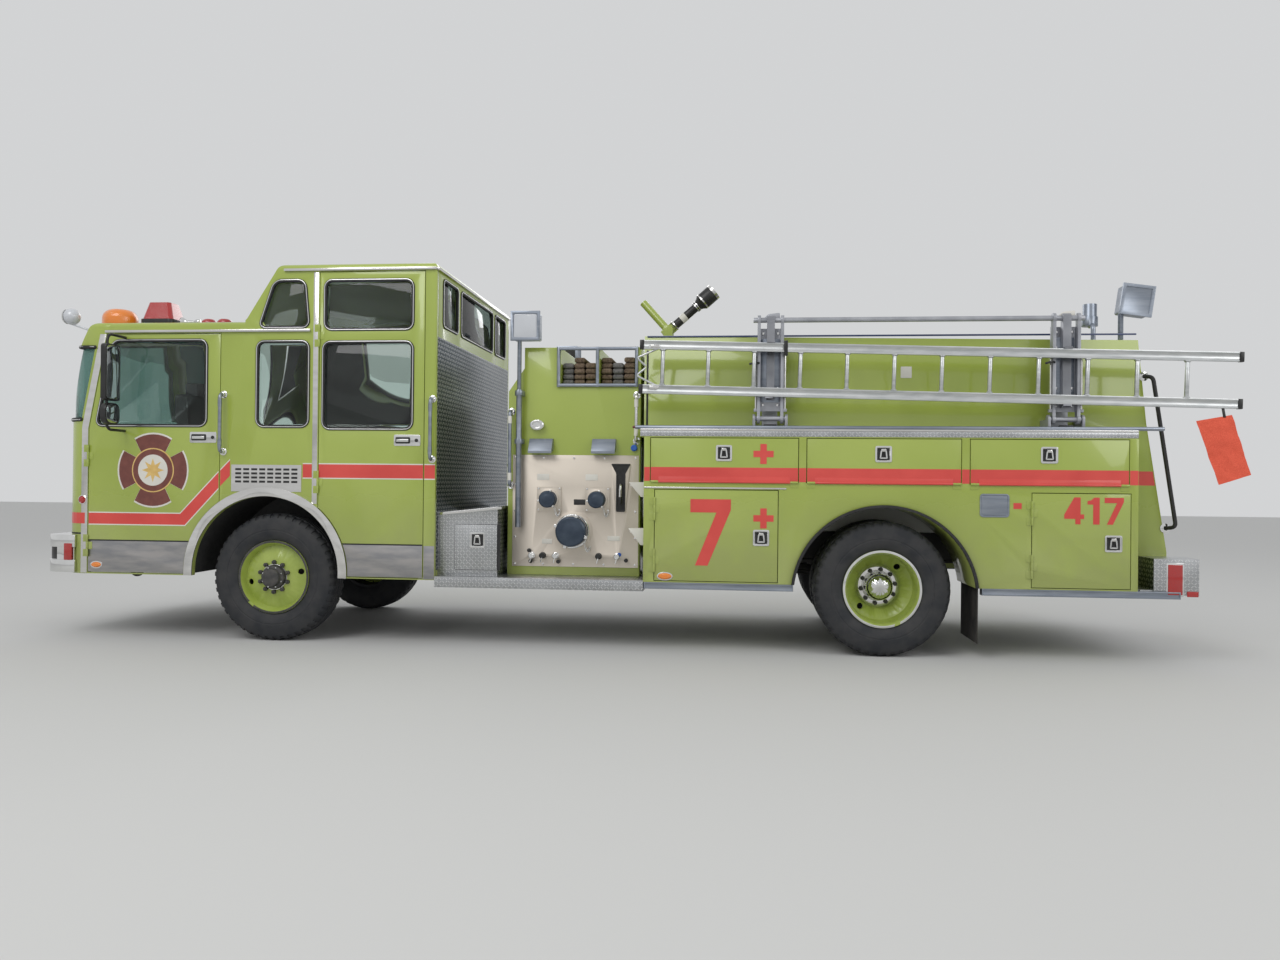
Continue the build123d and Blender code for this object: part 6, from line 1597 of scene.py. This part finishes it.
# %% Fuel door, bare label and markers
door = plate("left_fuel_door", wall(rect(0.7, 0.915, 1.086, 1.262)), SIDE, -0.005, corner=0.024)
pick(door, outer_face)
bpy.ops.mesh.inset(thickness=0.011)
bpy.ops.mesh.inset(thickness=0.003, depth=-0.003)
bpy.ops.mesh.inset(thickness=0.0025, depth=0.003)
fresh()
both(door, "rail", width=0.001)
label = plate("left_small_label", wall(rect(0.945, 1.005, 1.15, 1.195)), SIDE, -0.0009, corner=0.004)
both(label, "red_film")
MARKERS = (  # name, body, X, Z, half width, half height, lens
    ("front", "left_front_door", -6.364, 0.603, 0.045, 0.024, "amber_lens"),
    ("body", "left_lower_front_door", -1.668, 0.597, 0.055, 0.026, "amber_lens"))
for name, body, x, z, wide, high, look in MARKERS:
    oval = [polar((st(x), z), wide, a, high / wide) for a in range(0, 360, 15)]
    both(plate("left_marker_rim_" + name, grown(oval, 0.007), SIDE, -0.005), "chrome", body, 0.0015)
    glass_part = plate("left_marker_" + name, oval, SIDE - 0.004, -0.016)
    pick(glass_part, outer_face)
    bpy.ops.transform.resize(value=(0.72, 1, 0.6), center_override=(st(x), SIDE, z))
    fresh()
    both(glass_part, look, body, 0.003, 3)
NOSE_LAMP = (st(-6.49), SIDE, 1.137)
lamp = turned("left_nose_lamp",
              [(0, 0.03), (-0.006, 0.03), (-0.008, 0.024), (-0.016, 0.02), (-0.02, 0.01), (-0.021, TIP)],
              NOSE_LAMP, steps=32)
rim = turned("left_nose_lamp_rim",
             [(0, 0.037), (-0.007, 0.037), (-0.01, 0.031), (-0.006, 0.029), (0, 0.029), (0, 0.037)],
             NOSE_LAMP, steps=32)
both(lamp, "red_lens")
both(rim, "chrome")
low_lamp = block("left_bumper_lamp", (st(-6.64), SIDE - 0.0195, 0.638), (st(-6.572), SIDE - 0.0115, 0.775))
both(low_lamp, "red_lens", width=0.003)
print("markers:", len(MARKERS) + 2)

# %% [markdown]
# The tail
#
# The boxes at the ends of the tail step carry a lamp each. A hand rail follows
# the slanted rear edge of the bed, and the pike pole lies along the ledge with
# one end painted maroon and the other black.

# %% Lamps, hand rails and beading of the tail
BARS = (  # name, X, Y, Z from and to, finish, bevel
    ("tail_lamp_frame", 2.047, 2.17, -1.2055, -1.1995, 0.515, 0.765, "chrome", 0.002),
    ("tail_lamp", 2.057, 2.16, -1.214, -1.204, 0.528, 0.752, "red_lens", 0.004),
    ("tail_reflector", 2.195, 2.275, -1.2045, -1.1995, 0.515, 0.555, "red_lens", 0.002),
    ("bed_edge", -1.849, 1.93, -0.926, -0.9195, 2.494, 2.508, "blue_pole", 0.002),
    ("bed_post", -1.853, -1.838, -0.9255, -0.9195, 1.76, 2.39, "black", 0.002))
for name, x0, x1, y0, y1, z0, z1, look, width in BARS:
    both(block("left_" + name, (st(x0), y0, z0), (st(x1), y1, z1)), look, width=width)
RAIL_FOOT, RAIL_OUT = -0.9203, -0.985
rail = tube("left_tail_rail",
            [(st(1.985), RAIL_FOOT, 2.175), (st(2.03), RAIL_OUT, 2.165), (st(2.205), RAIL_OUT, 1.02),
             (st(2.15), RAIL_FOOT, 1.01)], 0.0155, 0.05, 16)
both(rail, "black")
for number, (x, z) in enumerate(((1.985, 2.175), (2.15, 1.01))):
    foot = turned(
        "left_tail_rail_foot_%d" % number,
        [(0, 0.036), (-0.006, 0.036), (-0.01, 0.02), (0, 0.018), (0, 0.036)], (st(x), RAIL_FOOT, z),
        steps=28)
    both(foot, "chrome")
square = plate("left_bed_plate", wall(rect(0.158, 0.243, 2.165, 2.255)), BED_WALL, -0.002, corner=0.006)
both(square, "pale_film", width=0.0005)
pole = refined("pike_pole", "rail", 0.002)
paint_faces(pole, "maroon", lambda c, n: c.x < st(-1.5))
paint_faces(pole, "black", lambda c, n: c.x > st(0.4))
print("tail pieces done")

# %% [markdown]
# Scoops, and the ends of the hand rails
#
# Two small pale scoops stand out of the body's front corner, and the hand rails
# end in bright flanged sockets with a collar beside each.

# %% Scoops and rail sockets
for number, (low, high) in enumerate(((0.829, 0.961), (1.208, 1.325))):
    rows = [(-1.967, high), (-1.842, high), (-1.842, low), (-1.868, low)]
    scoop = plate("left_scoop_%d" % number, wall(rows), -1.065, -0.075)
    pick(scoop, lambda c, n: n.z > 0.9)
    bpy.ops.mesh.inset(thickness=0.008)
    push((0.006, 0, -0.035))
    fresh()
    both(scoop, "pale_film", width=0.002)
RAILS = ((-5.276, 1.54, 2.005, SIDE, "rail"), (-3.531, 1.49, 1.97, SIDE, "rail"),
         (-2.964, 1.291, 1.894, PUMP_WALL, "black"), (-1.93, 1.658, 2.03, PUMP_WALL, "black"))
for number, (x, low, high, y, look) in enumerate(RAILS):
    for end, z in (("low", low), ("high", high)):
        socket = turned("left_socket_%s_%d" % (end, number),
                        [(0, 0.03), (-0.004, 0.03), (-0.008, 0.021), (-0.03, 0.019), (-0.032, 0.0145),
                         (0, 0.0145), (0, 0.03)], (st(x), y, z), steps=24)
        both(socket, "chrome")
    collar = [(-0.03, 0.0165), (-0.03, 0.0145), (0.03, 0.0145), (0.03, 0.0165), (-0.03, 0.0165)]
    for end, z in (("low", low + 0.07), ("high", high - 0.07)):
        both(turned("left_rail_collar_%s_%d" % (end, number), collar, (st(x), y - 0.062, z), axis="Z",
                    steps=20),
             "pale_film" if look == "black" else "rail")

# %% [markdown]
# The deck gun
#
# The gun over the pump is a lime pipe and a black nozzle. Bright rings are
# turned round the barrel and its wide tip. They are modelled along the barrel's
# own axis, then tipped up by the angle at which the gun is stowed.

# %% Rings of the gun
GUN = Vector((st(-1.745), 0.0, 2.69))
GUN_ANGLE = 41.0
GUN_RINGS = (
    (0.07, 0.0475, 0.01, "chrome"), (0.15, 0.0392, 0.055, "pale_film"), (0.318, 0.0495, 0.008, "chrome"),
    (0.336, 0.0495, 0.008, "chrome"), (0.396, 0.0752, 0.012, "polished"),
    (0.516, 0.0752, 0.024, "polished"))
for number, (along, radius, wide, look) in enumerate(GUN_RINGS):
    inner, end = radius - 0.003, along + wide
    section = [(along, inner), (along, radius), (end, radius), (end, inner), (along, inner)]
    ring = turned("gun_ring_%d" % number, section, tuple(GUN), axis="X", steps=40)
    lean(ring, -GUN_ANGLE, "Y", GUN)
    dress(ring, look, "gun_barrel")
barrel = refined("gun_barrel", "lime", 0.002)
tip = Vector((math.cos(math.radians(GUN_ANGLE)), 0, math.sin(math.radians(GUN_ANGLE))))
paint_faces(barrel, "black", lambda c, n: (c - GUN).dot(tip) > 0.052)
print("gun rings:", len(GUN_RINGS))

# %% [markdown]
# Glass of the floodlights and the mirrors
#
# A floodlight is a reflector behind ribbed glass, and a mirror head holds its
# glass on the side that faces the driver. Both are thin plates with a rounded
# outline, set just inside the rim that the CAD model has.

# %% Floodlight glass and mirror glass
MAST_Y, FLOOD_HALF = 0.965, 0.06
FLOOD = (st(-2.83), 2.469)
MIRROR_X, MIRROR_Y = st(-6.13), 1.22 + 0.235
MIRROR_HALF, MIRROR_RIM = 0.078, 0.012
for side, way in SIDES:
    face_y = way * (MAST_Y + FLOOD_HALF + 0.0082)
    x, z = FLOOD
    glass_part = plate(
        side + "_flood_glass", rect(x - 0.094, x + 0.094, z + 0.016, z + 0.204), face_y, way * 0.003,
        corner=0.012)
    dress(glass_part, "lamp_glass", side + "_mast", 0.0012)
    back = plate(
        side + "_flood_ribs", rect(x - 0.08, x + 0.08, z + 0.04, z + 0.18), way * (MAST_Y - FLOOD_HALF),
        way * -0.006, corner=0.01)
    dress(back, "chassis", side + "_mast", 0.002)
    for name, low, high, corner in (("head", 1.935, 2.385, 0.028), ("spot", 1.745, 1.915, 0.055)):
        y = way * MIRROR_Y
        pane = rect(y - MIRROR_HALF, y + MIRROR_HALF, low + MIRROR_RIM, high - MIRROR_RIM)
        mirror = plate(
            "%s_mirror_glass_%s" % (side, name), pane, MIRROR_X + 0.052, 0.0025, "X", corner=corner)
        dress(mirror, "mirror", side + "_front_door", 0.0008)
print("mirror heads stand at X", round(MIRROR_X, 3))

# %% [markdown]
# Second finishes on the CAD copies
#
# Some CAD pieces carry more than one material. The back of the cab is covered
# with tread plate up to its windows, the beacons have a black foot, and the
# running boards show their pattern in another plane on top than on their face.

# %% Paint by place
# The tread plate on the back of the cab has the dark blue base that is a painted reflection.
skin = plate("cab_back_plate", rect(-1.182, 1.182, 0.605, 2.472), CAB_BACK,
             0.0025, facing="X", corner=0.012)
dress(skin, "tread_rear", width=0.0008)


def inside_cab(c, n):
    """A face of the shell that looks into the low or the high part of the cab."""
    between = abs(c.y) < 1.178 and c.x < CAB_BACK - 0.04
    return between and (c.x > st(-6.35) and 0.6 < c.z < 2.54 or st(-4.9) < c.x and c.z < 3.01)


paint_faces(fine["cab_shell"], "trim", inside_cab)
paint_faces(fine["lamps"], "black", lambda c, n: st(-6.14) < c.x < st(-5.84) and 2.59 < c.z < 2.6605)
boards = refined("running_boards", "tread_side", 0.003)
paint_faces(boards, "tread_top", lambda c, n: abs(n.z) > 0.7)
paint_faces(boards, "tread_rear", lambda c, n: abs(n.x) > 0.7)
paint_faces(fine["tail_step"], "tread_side", lambda c, n: abs(n.y) > 0.7)
paint_faces(fine["tail_step"], "tread_top", lambda c, n: abs(n.z) > 0.7)
paint_faces(fine["hose_bed"], "tread_top", lambda c, n: n.z > 0.9 and abs(c.y) > 0.925 and c.z < 1.76)
paint_faces(fine["hose_bed"], "skirt", lambda c, n: abs(c.y) < 0.885 and st(-1.8) < c.x < st(1.83)
            and 1.7 < c.z < 2.5)
paint_faces(fine["front_bumper"], "black", lambda c, n: 0.644 < c.z < 0.742 and c.x < st(-6.6)
            and math.hypot(n.x, n.y) > 0.7 and -1.215 < c.y < 1.215 and c.x > st(-6.845))

# %% [markdown]
# The ladder rack
#
# Two arms swing out from feet on the ledge and carry the ladder down on the
# driver's side. Each has bright guide rods at its edges, bolt heads on its
# webs, and a handle. All these ride on the swinging arms, and only the rubber
# stops stay on the ledge.

# %% Rods, bolts and handles of the rack
RACKS = (-0.865, 1.355)
ROD_LOW, ROD_TOP, ROD_Y = 1.895, 2.33, -1.098
for number, x in enumerate(RACKS):
    for way in (-1, 1):
        rod = tube("rack_rod_%d_%d" % (number, way + 1),
                   [(st(x + way * 0.112), ROD_Y, ROD_LOW), (st(x + way * 0.112), ROD_Y, ROD_TOP)], 0.0095)
        dress(rod, "polished", "rack_arms")
        for z in (ROD_LOW, ROD_TOP):
            nub = block("rack_nub_%d_%d_%d" % (number, way + 1, int(z * 10)),
                        (st(x + way * 0.128), ROD_Y - 0.014, z - 0.012),
                        (st(x + way * 0.1), ROD_Y + 0.014, z + 0.012))
            dress(nub, "rack", "rack_arms", 0.003)
    first = nut("rack_bolt_%d" % number, (st(x - 0.058), -1.0525, 1.94), 0.011, 0.008, stud=False)
    moves = [(a, 0, b) for a in (0, 0.116) for b in (0, 0.13, 0.44, 0.56) if (a, b) != (0, 0)]
    dress(repeated("rack_bolts_%d" % number, first, moves), "chrome", "rack_arms")
    web = plate(
        "rack_face_%d" % number, wall(rect(x - 0.074, x + 0.074, 1.96, 2.46)), -1.0522, -0.003,
        corner=0.012)
    dress(web, "rail", "rack_arms", 0.001)
    grip = tube(
        "rack_handle_%d" % number,
        [(st(x - 0.09), -1.118, 2.262), (st(x - 0.118), -1.15, 2.262), (st(x - 0.165), -1.15, 2.25)],
        0.0085, 0.02)
    dress(grip, "black", "rack_arms")
    stop = block("rack_stop_%d" % number, (st(x - 0.05), -1.125, 1.7525), (st(x + 0.05), -1.075, 1.785))
    dress(stop, "black", "chassis", 0.004)
    wedge = plate(
        "rack_wedge_%d" % number,
        wall([(x - 0.07, 2.605), (x + 0.07, 2.612), (x + 0.07, 2.66), (x - 0.02, 2.65)]), -1.07, -0.01,
        corner=0.01)
    dress(wedge, "pale_film" if number else "rack", "rack_arms", 0.002)
print("racks:", len(RACKS))

# %% [markdown]
# The ladder
#
# A roof ladder is made of two channel rails with round rungs swaged into them.
# Both faces of each rail are drawn in to make the channel, every rung gets a
# collar at both ends, and the rail ends get black caps. The ladder lies a
# little nose-up, so everything is drawn level and then leaned by its slope.

# %% Channels, collars and end caps of the ladder
LADDER_FRONT, LADDER_REAR, LADDER_SLOPE = -1.88, 2.6, 1.45
LADDER_PIVOT = (st(LADDER_FRONT), 0.0, 2.44)
LADDER_Y, RAIL_HEIGHTS = -1.15, (2.057, 2.405)
FIRST_RUNG, RUNG_STEP, RUNGS = -1.7, 0.3556, 12
DROP = math.tan(math.radians(LADDER_SLOPE))


def rail_face(c, n):
    """The outer or inner face of a rail, found by its middle height."""
    fall = DROP * (c.x - st(LADDER_FRONT))
    return abs(n.y) > 0.95 and min(abs(c.z + fall - height) for height in RAIL_HEIGHTS) < 0.012


print("rail faces:", pick(fine["ladder"], rail_face))
bpy.ops.mesh.inset(thickness=0.01)
bpy.ops.mesh.inset(thickness=0.002, depth=-0.005)
fresh()
seat = (st(FIRST_RUNG), LADDER_Y, 2.0922)
collar = turned(
    "rung_collar", [(0, 0.016), (0, 0.024), (0.006, 0.024), (0.012, 0.019), (0.012, 0.016), (0, 0.016)],
    seat, axis="Z", steps=24)
upper = again(collar, "rung_collar_top", about=seat, angle=180, axis="X", move=(0, 0, 0.2776))
pair_of_collars = joined("rung_collars", [collar, upper])
rungs = repeated("ladder_collars", pair_of_collars, [(RUNG_STEP * k, 0, 0) for k in range(1, RUNGS)])
lean(rungs, LADDER_SLOPE, "Y", LADDER_PIVOT)
dress(rungs, "aluminium", "rack_cradle")
ENDS = (("front", LADDER_FRONT - 0.004, LADDER_FRONT + 0.03),
        ("rear", LADDER_REAR - 0.03, LADDER_REAR + 0.004))
for name, x0, x1 in ENDS:
    caps = [block("cap", (st(x0), LADDER_Y - 0.0185, z - 0.0375), (st(x1), LADDER_Y + 0.0185, z + 0.0375))
            for z in RAIL_HEIGHTS]
    ends = joined("ladder_end_" + name, caps)
    lean(ends, LADDER_SLOPE, "Y", LADDER_PIVOT)
    dress(ends, "black", "rack_cradle", 0.004)
sleeves = [
    block("sleeve", (st(-1.8), -1.172, z - 0.014), (st(-1.725), -1.146, z + 0.014)) for z in (2.392, 2.07)]
sleeve = joined("hook_sleeves", sleeves)
lean(sleeve, LADDER_SLOPE, "Y", LADDER_PIVOT)
dress(sleeve, "polished", "rack_cradle", 0.005, 3)
strap = block("ladder_strap", (st(-0.765), -1.1705, 2.315), (st(-0.735), -1.13, 2.43))
dress(strap, "black", "rack_cradle", 0.004)

# %% [markdown]
# The warning flag
#
# A red cloth hangs from the tail of the ladder by a strap at its corner, so it
# hangs askew. A flat sheet of the cloth's own size is drawn, cut finely and
# given soft folds by a displacement along a slow noise, then the thickness of
# the cloth.

# %% The flag and its strap
FLAG = [(2.271, 1.818), (2.524, 1.864), (2.66, 1.421), (2.436, 1.345)]
cloth = chain("flag_cloth", [(x, -1.15, z) for x, z in wall(FLAG)])
everything()
bpy.ops.mesh.edge_face_add()
bpy.ops.mesh.subdivide(number_cuts=40)
leave()
folds = bpy.data.textures.new("soft folds", "CLOUDS")
folds.noise_scale = 0.13
ripple = cloth.modifiers.new("folds", "DISPLACE")
ripple.texture = folds
ripple.direction = "Y"
ripple.texture_coords = "LOCAL"
ripple.strength = 0.035
ripple.mid_level = 0.5
bpy.ops.object.modifier_apply(modifier="folds")
hem = cloth.modifiers.new("thickness", "SOLIDIFY")
hem.thickness = 0.0012
bpy.ops.object.modifier_apply(modifier="thickness")
smooth(40)
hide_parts("flag")
dress(cloth, "flag_red", "rack_cradle")
strap = plate(
    "flag_strap", wall([(2.462, 1.845), (2.482, 1.845), (2.47, 1.912), (2.45, 1.912)]), -1.152, 0.004)
dress(strap, "black", "rack_cradle", 0.0008)

# %% [markdown]
# Seats
#
# Two seats stand in front and four in the crew cab. Each has three vinyl pads
# with a crowned middle: cushion, back and head rest, the first two sewn in
# channels. A block is cut into cells, its middle is raised, the seams are drawn
# in, and a subdivision surface turns that into a stuffed pad.


# %% One pad, and every seat
def pad(name, low, high, face, rise=0.012, channels=2):
    """A stuffed pad whose crowned face looks along the axis called face."""
    piece = block(name, low, high)
    edit(piece)
    bpy.ops.mesh.subdivide(number_cuts=7)
    leave()
    middle = (Vector(low) + Vector(high)) / 2
    size = Vector(high) - Vector(low)
    axis, sign = {"Z": (2, 1), "X": (0, -1)}[face]
    flat = [k for k in range(3) if k != axis]

    def inner(c, n, share):
        return (sign * n[axis] > 0.5 and all(abs(c[k] - middle[k]) < size[k] * share for k in flat))

    for share in (0.42, 0.3):
        pick(piece, lambda c, n: inner(c, n, share))
        step = [0, 0, 0]
        step[axis] = sign * rise / 2
        bpy.ops.transform.translate(value=step)
    for k in range(channels):
        line = middle[1] + size.y * ((k + 1) / (channels + 1) - 0.5)
        pick(piece, lambda c, n: inner(c, n, 0.44) and abs(c.y - line) < size.y / 15)
        bpy.ops.mesh.inset(thickness=size.y / 40, depth=-0.01)
    fresh()
    hold(piece)
    soft = piece.modifiers.new("stuffing", "SUBSURF")
    soft.levels = soft.render_levels = 2
    bpy.ops.object.modifier_apply(modifier="stuffing")
    smooth(70)
    return piece


FRONT_ROW, CREW_ROW = -6.01, -3.83
SEATS = ((FRONT_ROW, -0.72), (FRONT_ROW, 0.72), (CREW_ROW, -0.9), (CREW_ROW, -0.3),
         (CREW_ROW, 0.3), (CREW_ROW, 0.9))
x, y = SEATS[0]
cushion = pad("seat_cushion_0", (st(x - 0.22), y - 0.24, 1.3405), (st(x + 0.22), y + 0.24, 1.455), "Z")
back = pad("seat_back_0", (st(x + 0.115), y - 0.235, 1.462), (st(x + 0.22), y + 0.235, 2.05), "X")
head = pad("seat_head_0", (st(x + 0.125), y - 0.13, 2.0), (st(x + 0.215), y + 0.13, 2.14), "X", 0.006, 0)
first_seat = [cushion, back, head]
for number, (sx, sy) in enumerate(SEATS[1:], start=1):
    for piece in first_seat:
        copy = again(piece, piece.name.replace("_0", "_%d" % number), move=(sx - x, sy - y, 0))
        dress(copy, "vinyl")
for piece in first_seat:
    dress(piece, "vinyl")
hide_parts("seats")
print("seats:", len(SEATS))

# %% [markdown]
# Wipers and the spot lamp
#
# A pair of wipers rests on the windscreen. The spot lamp on the driver's corner
# of the roof gets its glass and a bright ring round it.

# %% Wipers and the spot lamp
SPOT = (st(-6.62), -1.2, 2.652)
for side, way in SIDES:
    arm = tube(
        side + "_wiper_arm",
        [(st(-6.703), way * 0.3, 1.775), (st(-6.722), way * 0.34, 1.8), (st(-6.65), way * 0.62, 2.03)],
        0.0065, 0.02)
    dress(arm, "black")
    blade = block(side + "_wiper_blade", (-0.006, -0.008, -0.28), (0.006, 0.008, 0.28))
    lean(blade, -13, "Y", (0, 0, 0))
    lean(blade, way * -8, "X", (0, 0, 0))
    blade.data.transform(Matrix.Translation((st(-6.655), way * 0.62, 2.06)))
    dress(blade, "seal", width=0.002)
spot = turned(
    "spot_glass",
    [(-0.064, TIP), (-0.066, 0.03), (-0.06, 0.044), (-0.05, 0.052), (-0.046, 0.05), (-0.046, TIP)], SPOT,
    axis="X", steps=40)
dress(spot, "clear_lens")
ring = turned(
    "spot_ring", [(-0.046, 0.052), (-0.052, 0.056), (-0.046, 0.06), (-0.038, 0.06), (-0.046, 0.052)], SPOT,
    axis="X", steps=40)
dress(ring, "chrome")
print("cab details done")

# %% [markdown]
# The tail wall
#
# Crews climb on the tail step with wet boots and something in their hands, so
# the wall over it is faced with tread plate where boots rub, a hand rail runs
# across, and the stripe goes on from side to side.

# %% Facing, hand rail and stripe of the tail wall
TAIL_WALL = st(1.87)
REACH, RAIL_Z = 0.66, 1.6
# The tread plate of the tail wall has the same painted dark blue reflection.
facing = plate("tail_wall_plate", rect(-0.685, 0.685, 0.84, 1.27), TAIL_WALL,
               0.0025, facing="X", corner=0.012)
dress(facing, "tread_rear", width=0.0008)
stripe = plate("tail_wall_stripe", rect(-0.885, 0.885, *up), TAIL_WALL, 0.0009, facing="X")
dress(stripe, "red_film")
rail = tube(
    "tail_wall_rail",
    [(TAIL_WALL, -REACH, RAIL_Z), (TAIL_WALL + 0.065, -REACH, RAIL_Z), (TAIL_WALL + 0.065, REACH, RAIL_Z),
     (TAIL_WALL, REACH, RAIL_Z)], 0.016, 0.045, 20)
dress(rail, "polished")
for number, y in enumerate((-REACH, REACH)):
    foot = turned(
        "tail_wall_foot_%d" % number, [(0, TIP), (0, 0.034), (0.006, 0.034), (0.01, 0.022), (0.01, TIP)],
        (TAIL_WALL, y, RAIL_Z), axis="X", steps=28)
    dress(foot, "chrome")

# %% Seam and lid edge of the step boxes
seam = plate("left_box_seam", wall(rect(-3.364, -2.9895, 0.61, 0.976)), -1.14, -0.0015, corner=0.006)
both(seam, "black")
lid_edge = plate(
    "left_box_lid_edge", wall([(-3.504, 1.045), (-3.504, 1.065), (-2.98, 1.119), (-2.98, 1.099)]), -1.154,
    -0.002)
both(lid_edge, "polished", width=0.0006)

# %% [markdown]
# The floor and the light
#
# A soft studio: one large lamp high over the camera side, a weaker one from
# each end, and a pale world.

# %% Floor, world and lamps
fresh()
bpy.ops.mesh.primitive_plane_add(size=80, location=(0, 0, 0))
floor = bpy.context.active_object
floor.name = "studio_floor"
floor.data.materials.append(shader("floor paper", (0.6, 0.6, 0.59), 0.9)[0])

world = bpy.data.worlds.new("studio")
bpy.context.scene.world = world
world.use_nodes = True
world.node_tree.nodes["Background"].inputs["Color"].default_value = (0.86, 0.87, 0.88, 1.0)
world.node_tree.nodes["Background"].inputs["Strength"].default_value = 0.75

LAMPS = (  # name, place, size, watts
    ("key", (-4.0, -9.0, 9.0), 6.0, 420.0),
    ("tail", (9.0, -6.0, 6.0), 5.0, 180.0),
    ("far", (-2.0, 9.0, 7.0), 6.0, 200.0))
for name, place, size, watts in LAMPS:
    bpy.ops.object.light_add(type="AREA", location=place)
    lamp = bpy.context.active_object
    lamp.name = "lamp_" + name
    lamp.data.size = size
    lamp.data.energy = watts
    lamp.rotation_euler = (Vector((0, 0, 1.2)) - Vector(place)).to_track_quat("-Z", "Y").to_euler()
print("lamps:", len(LAMPS))
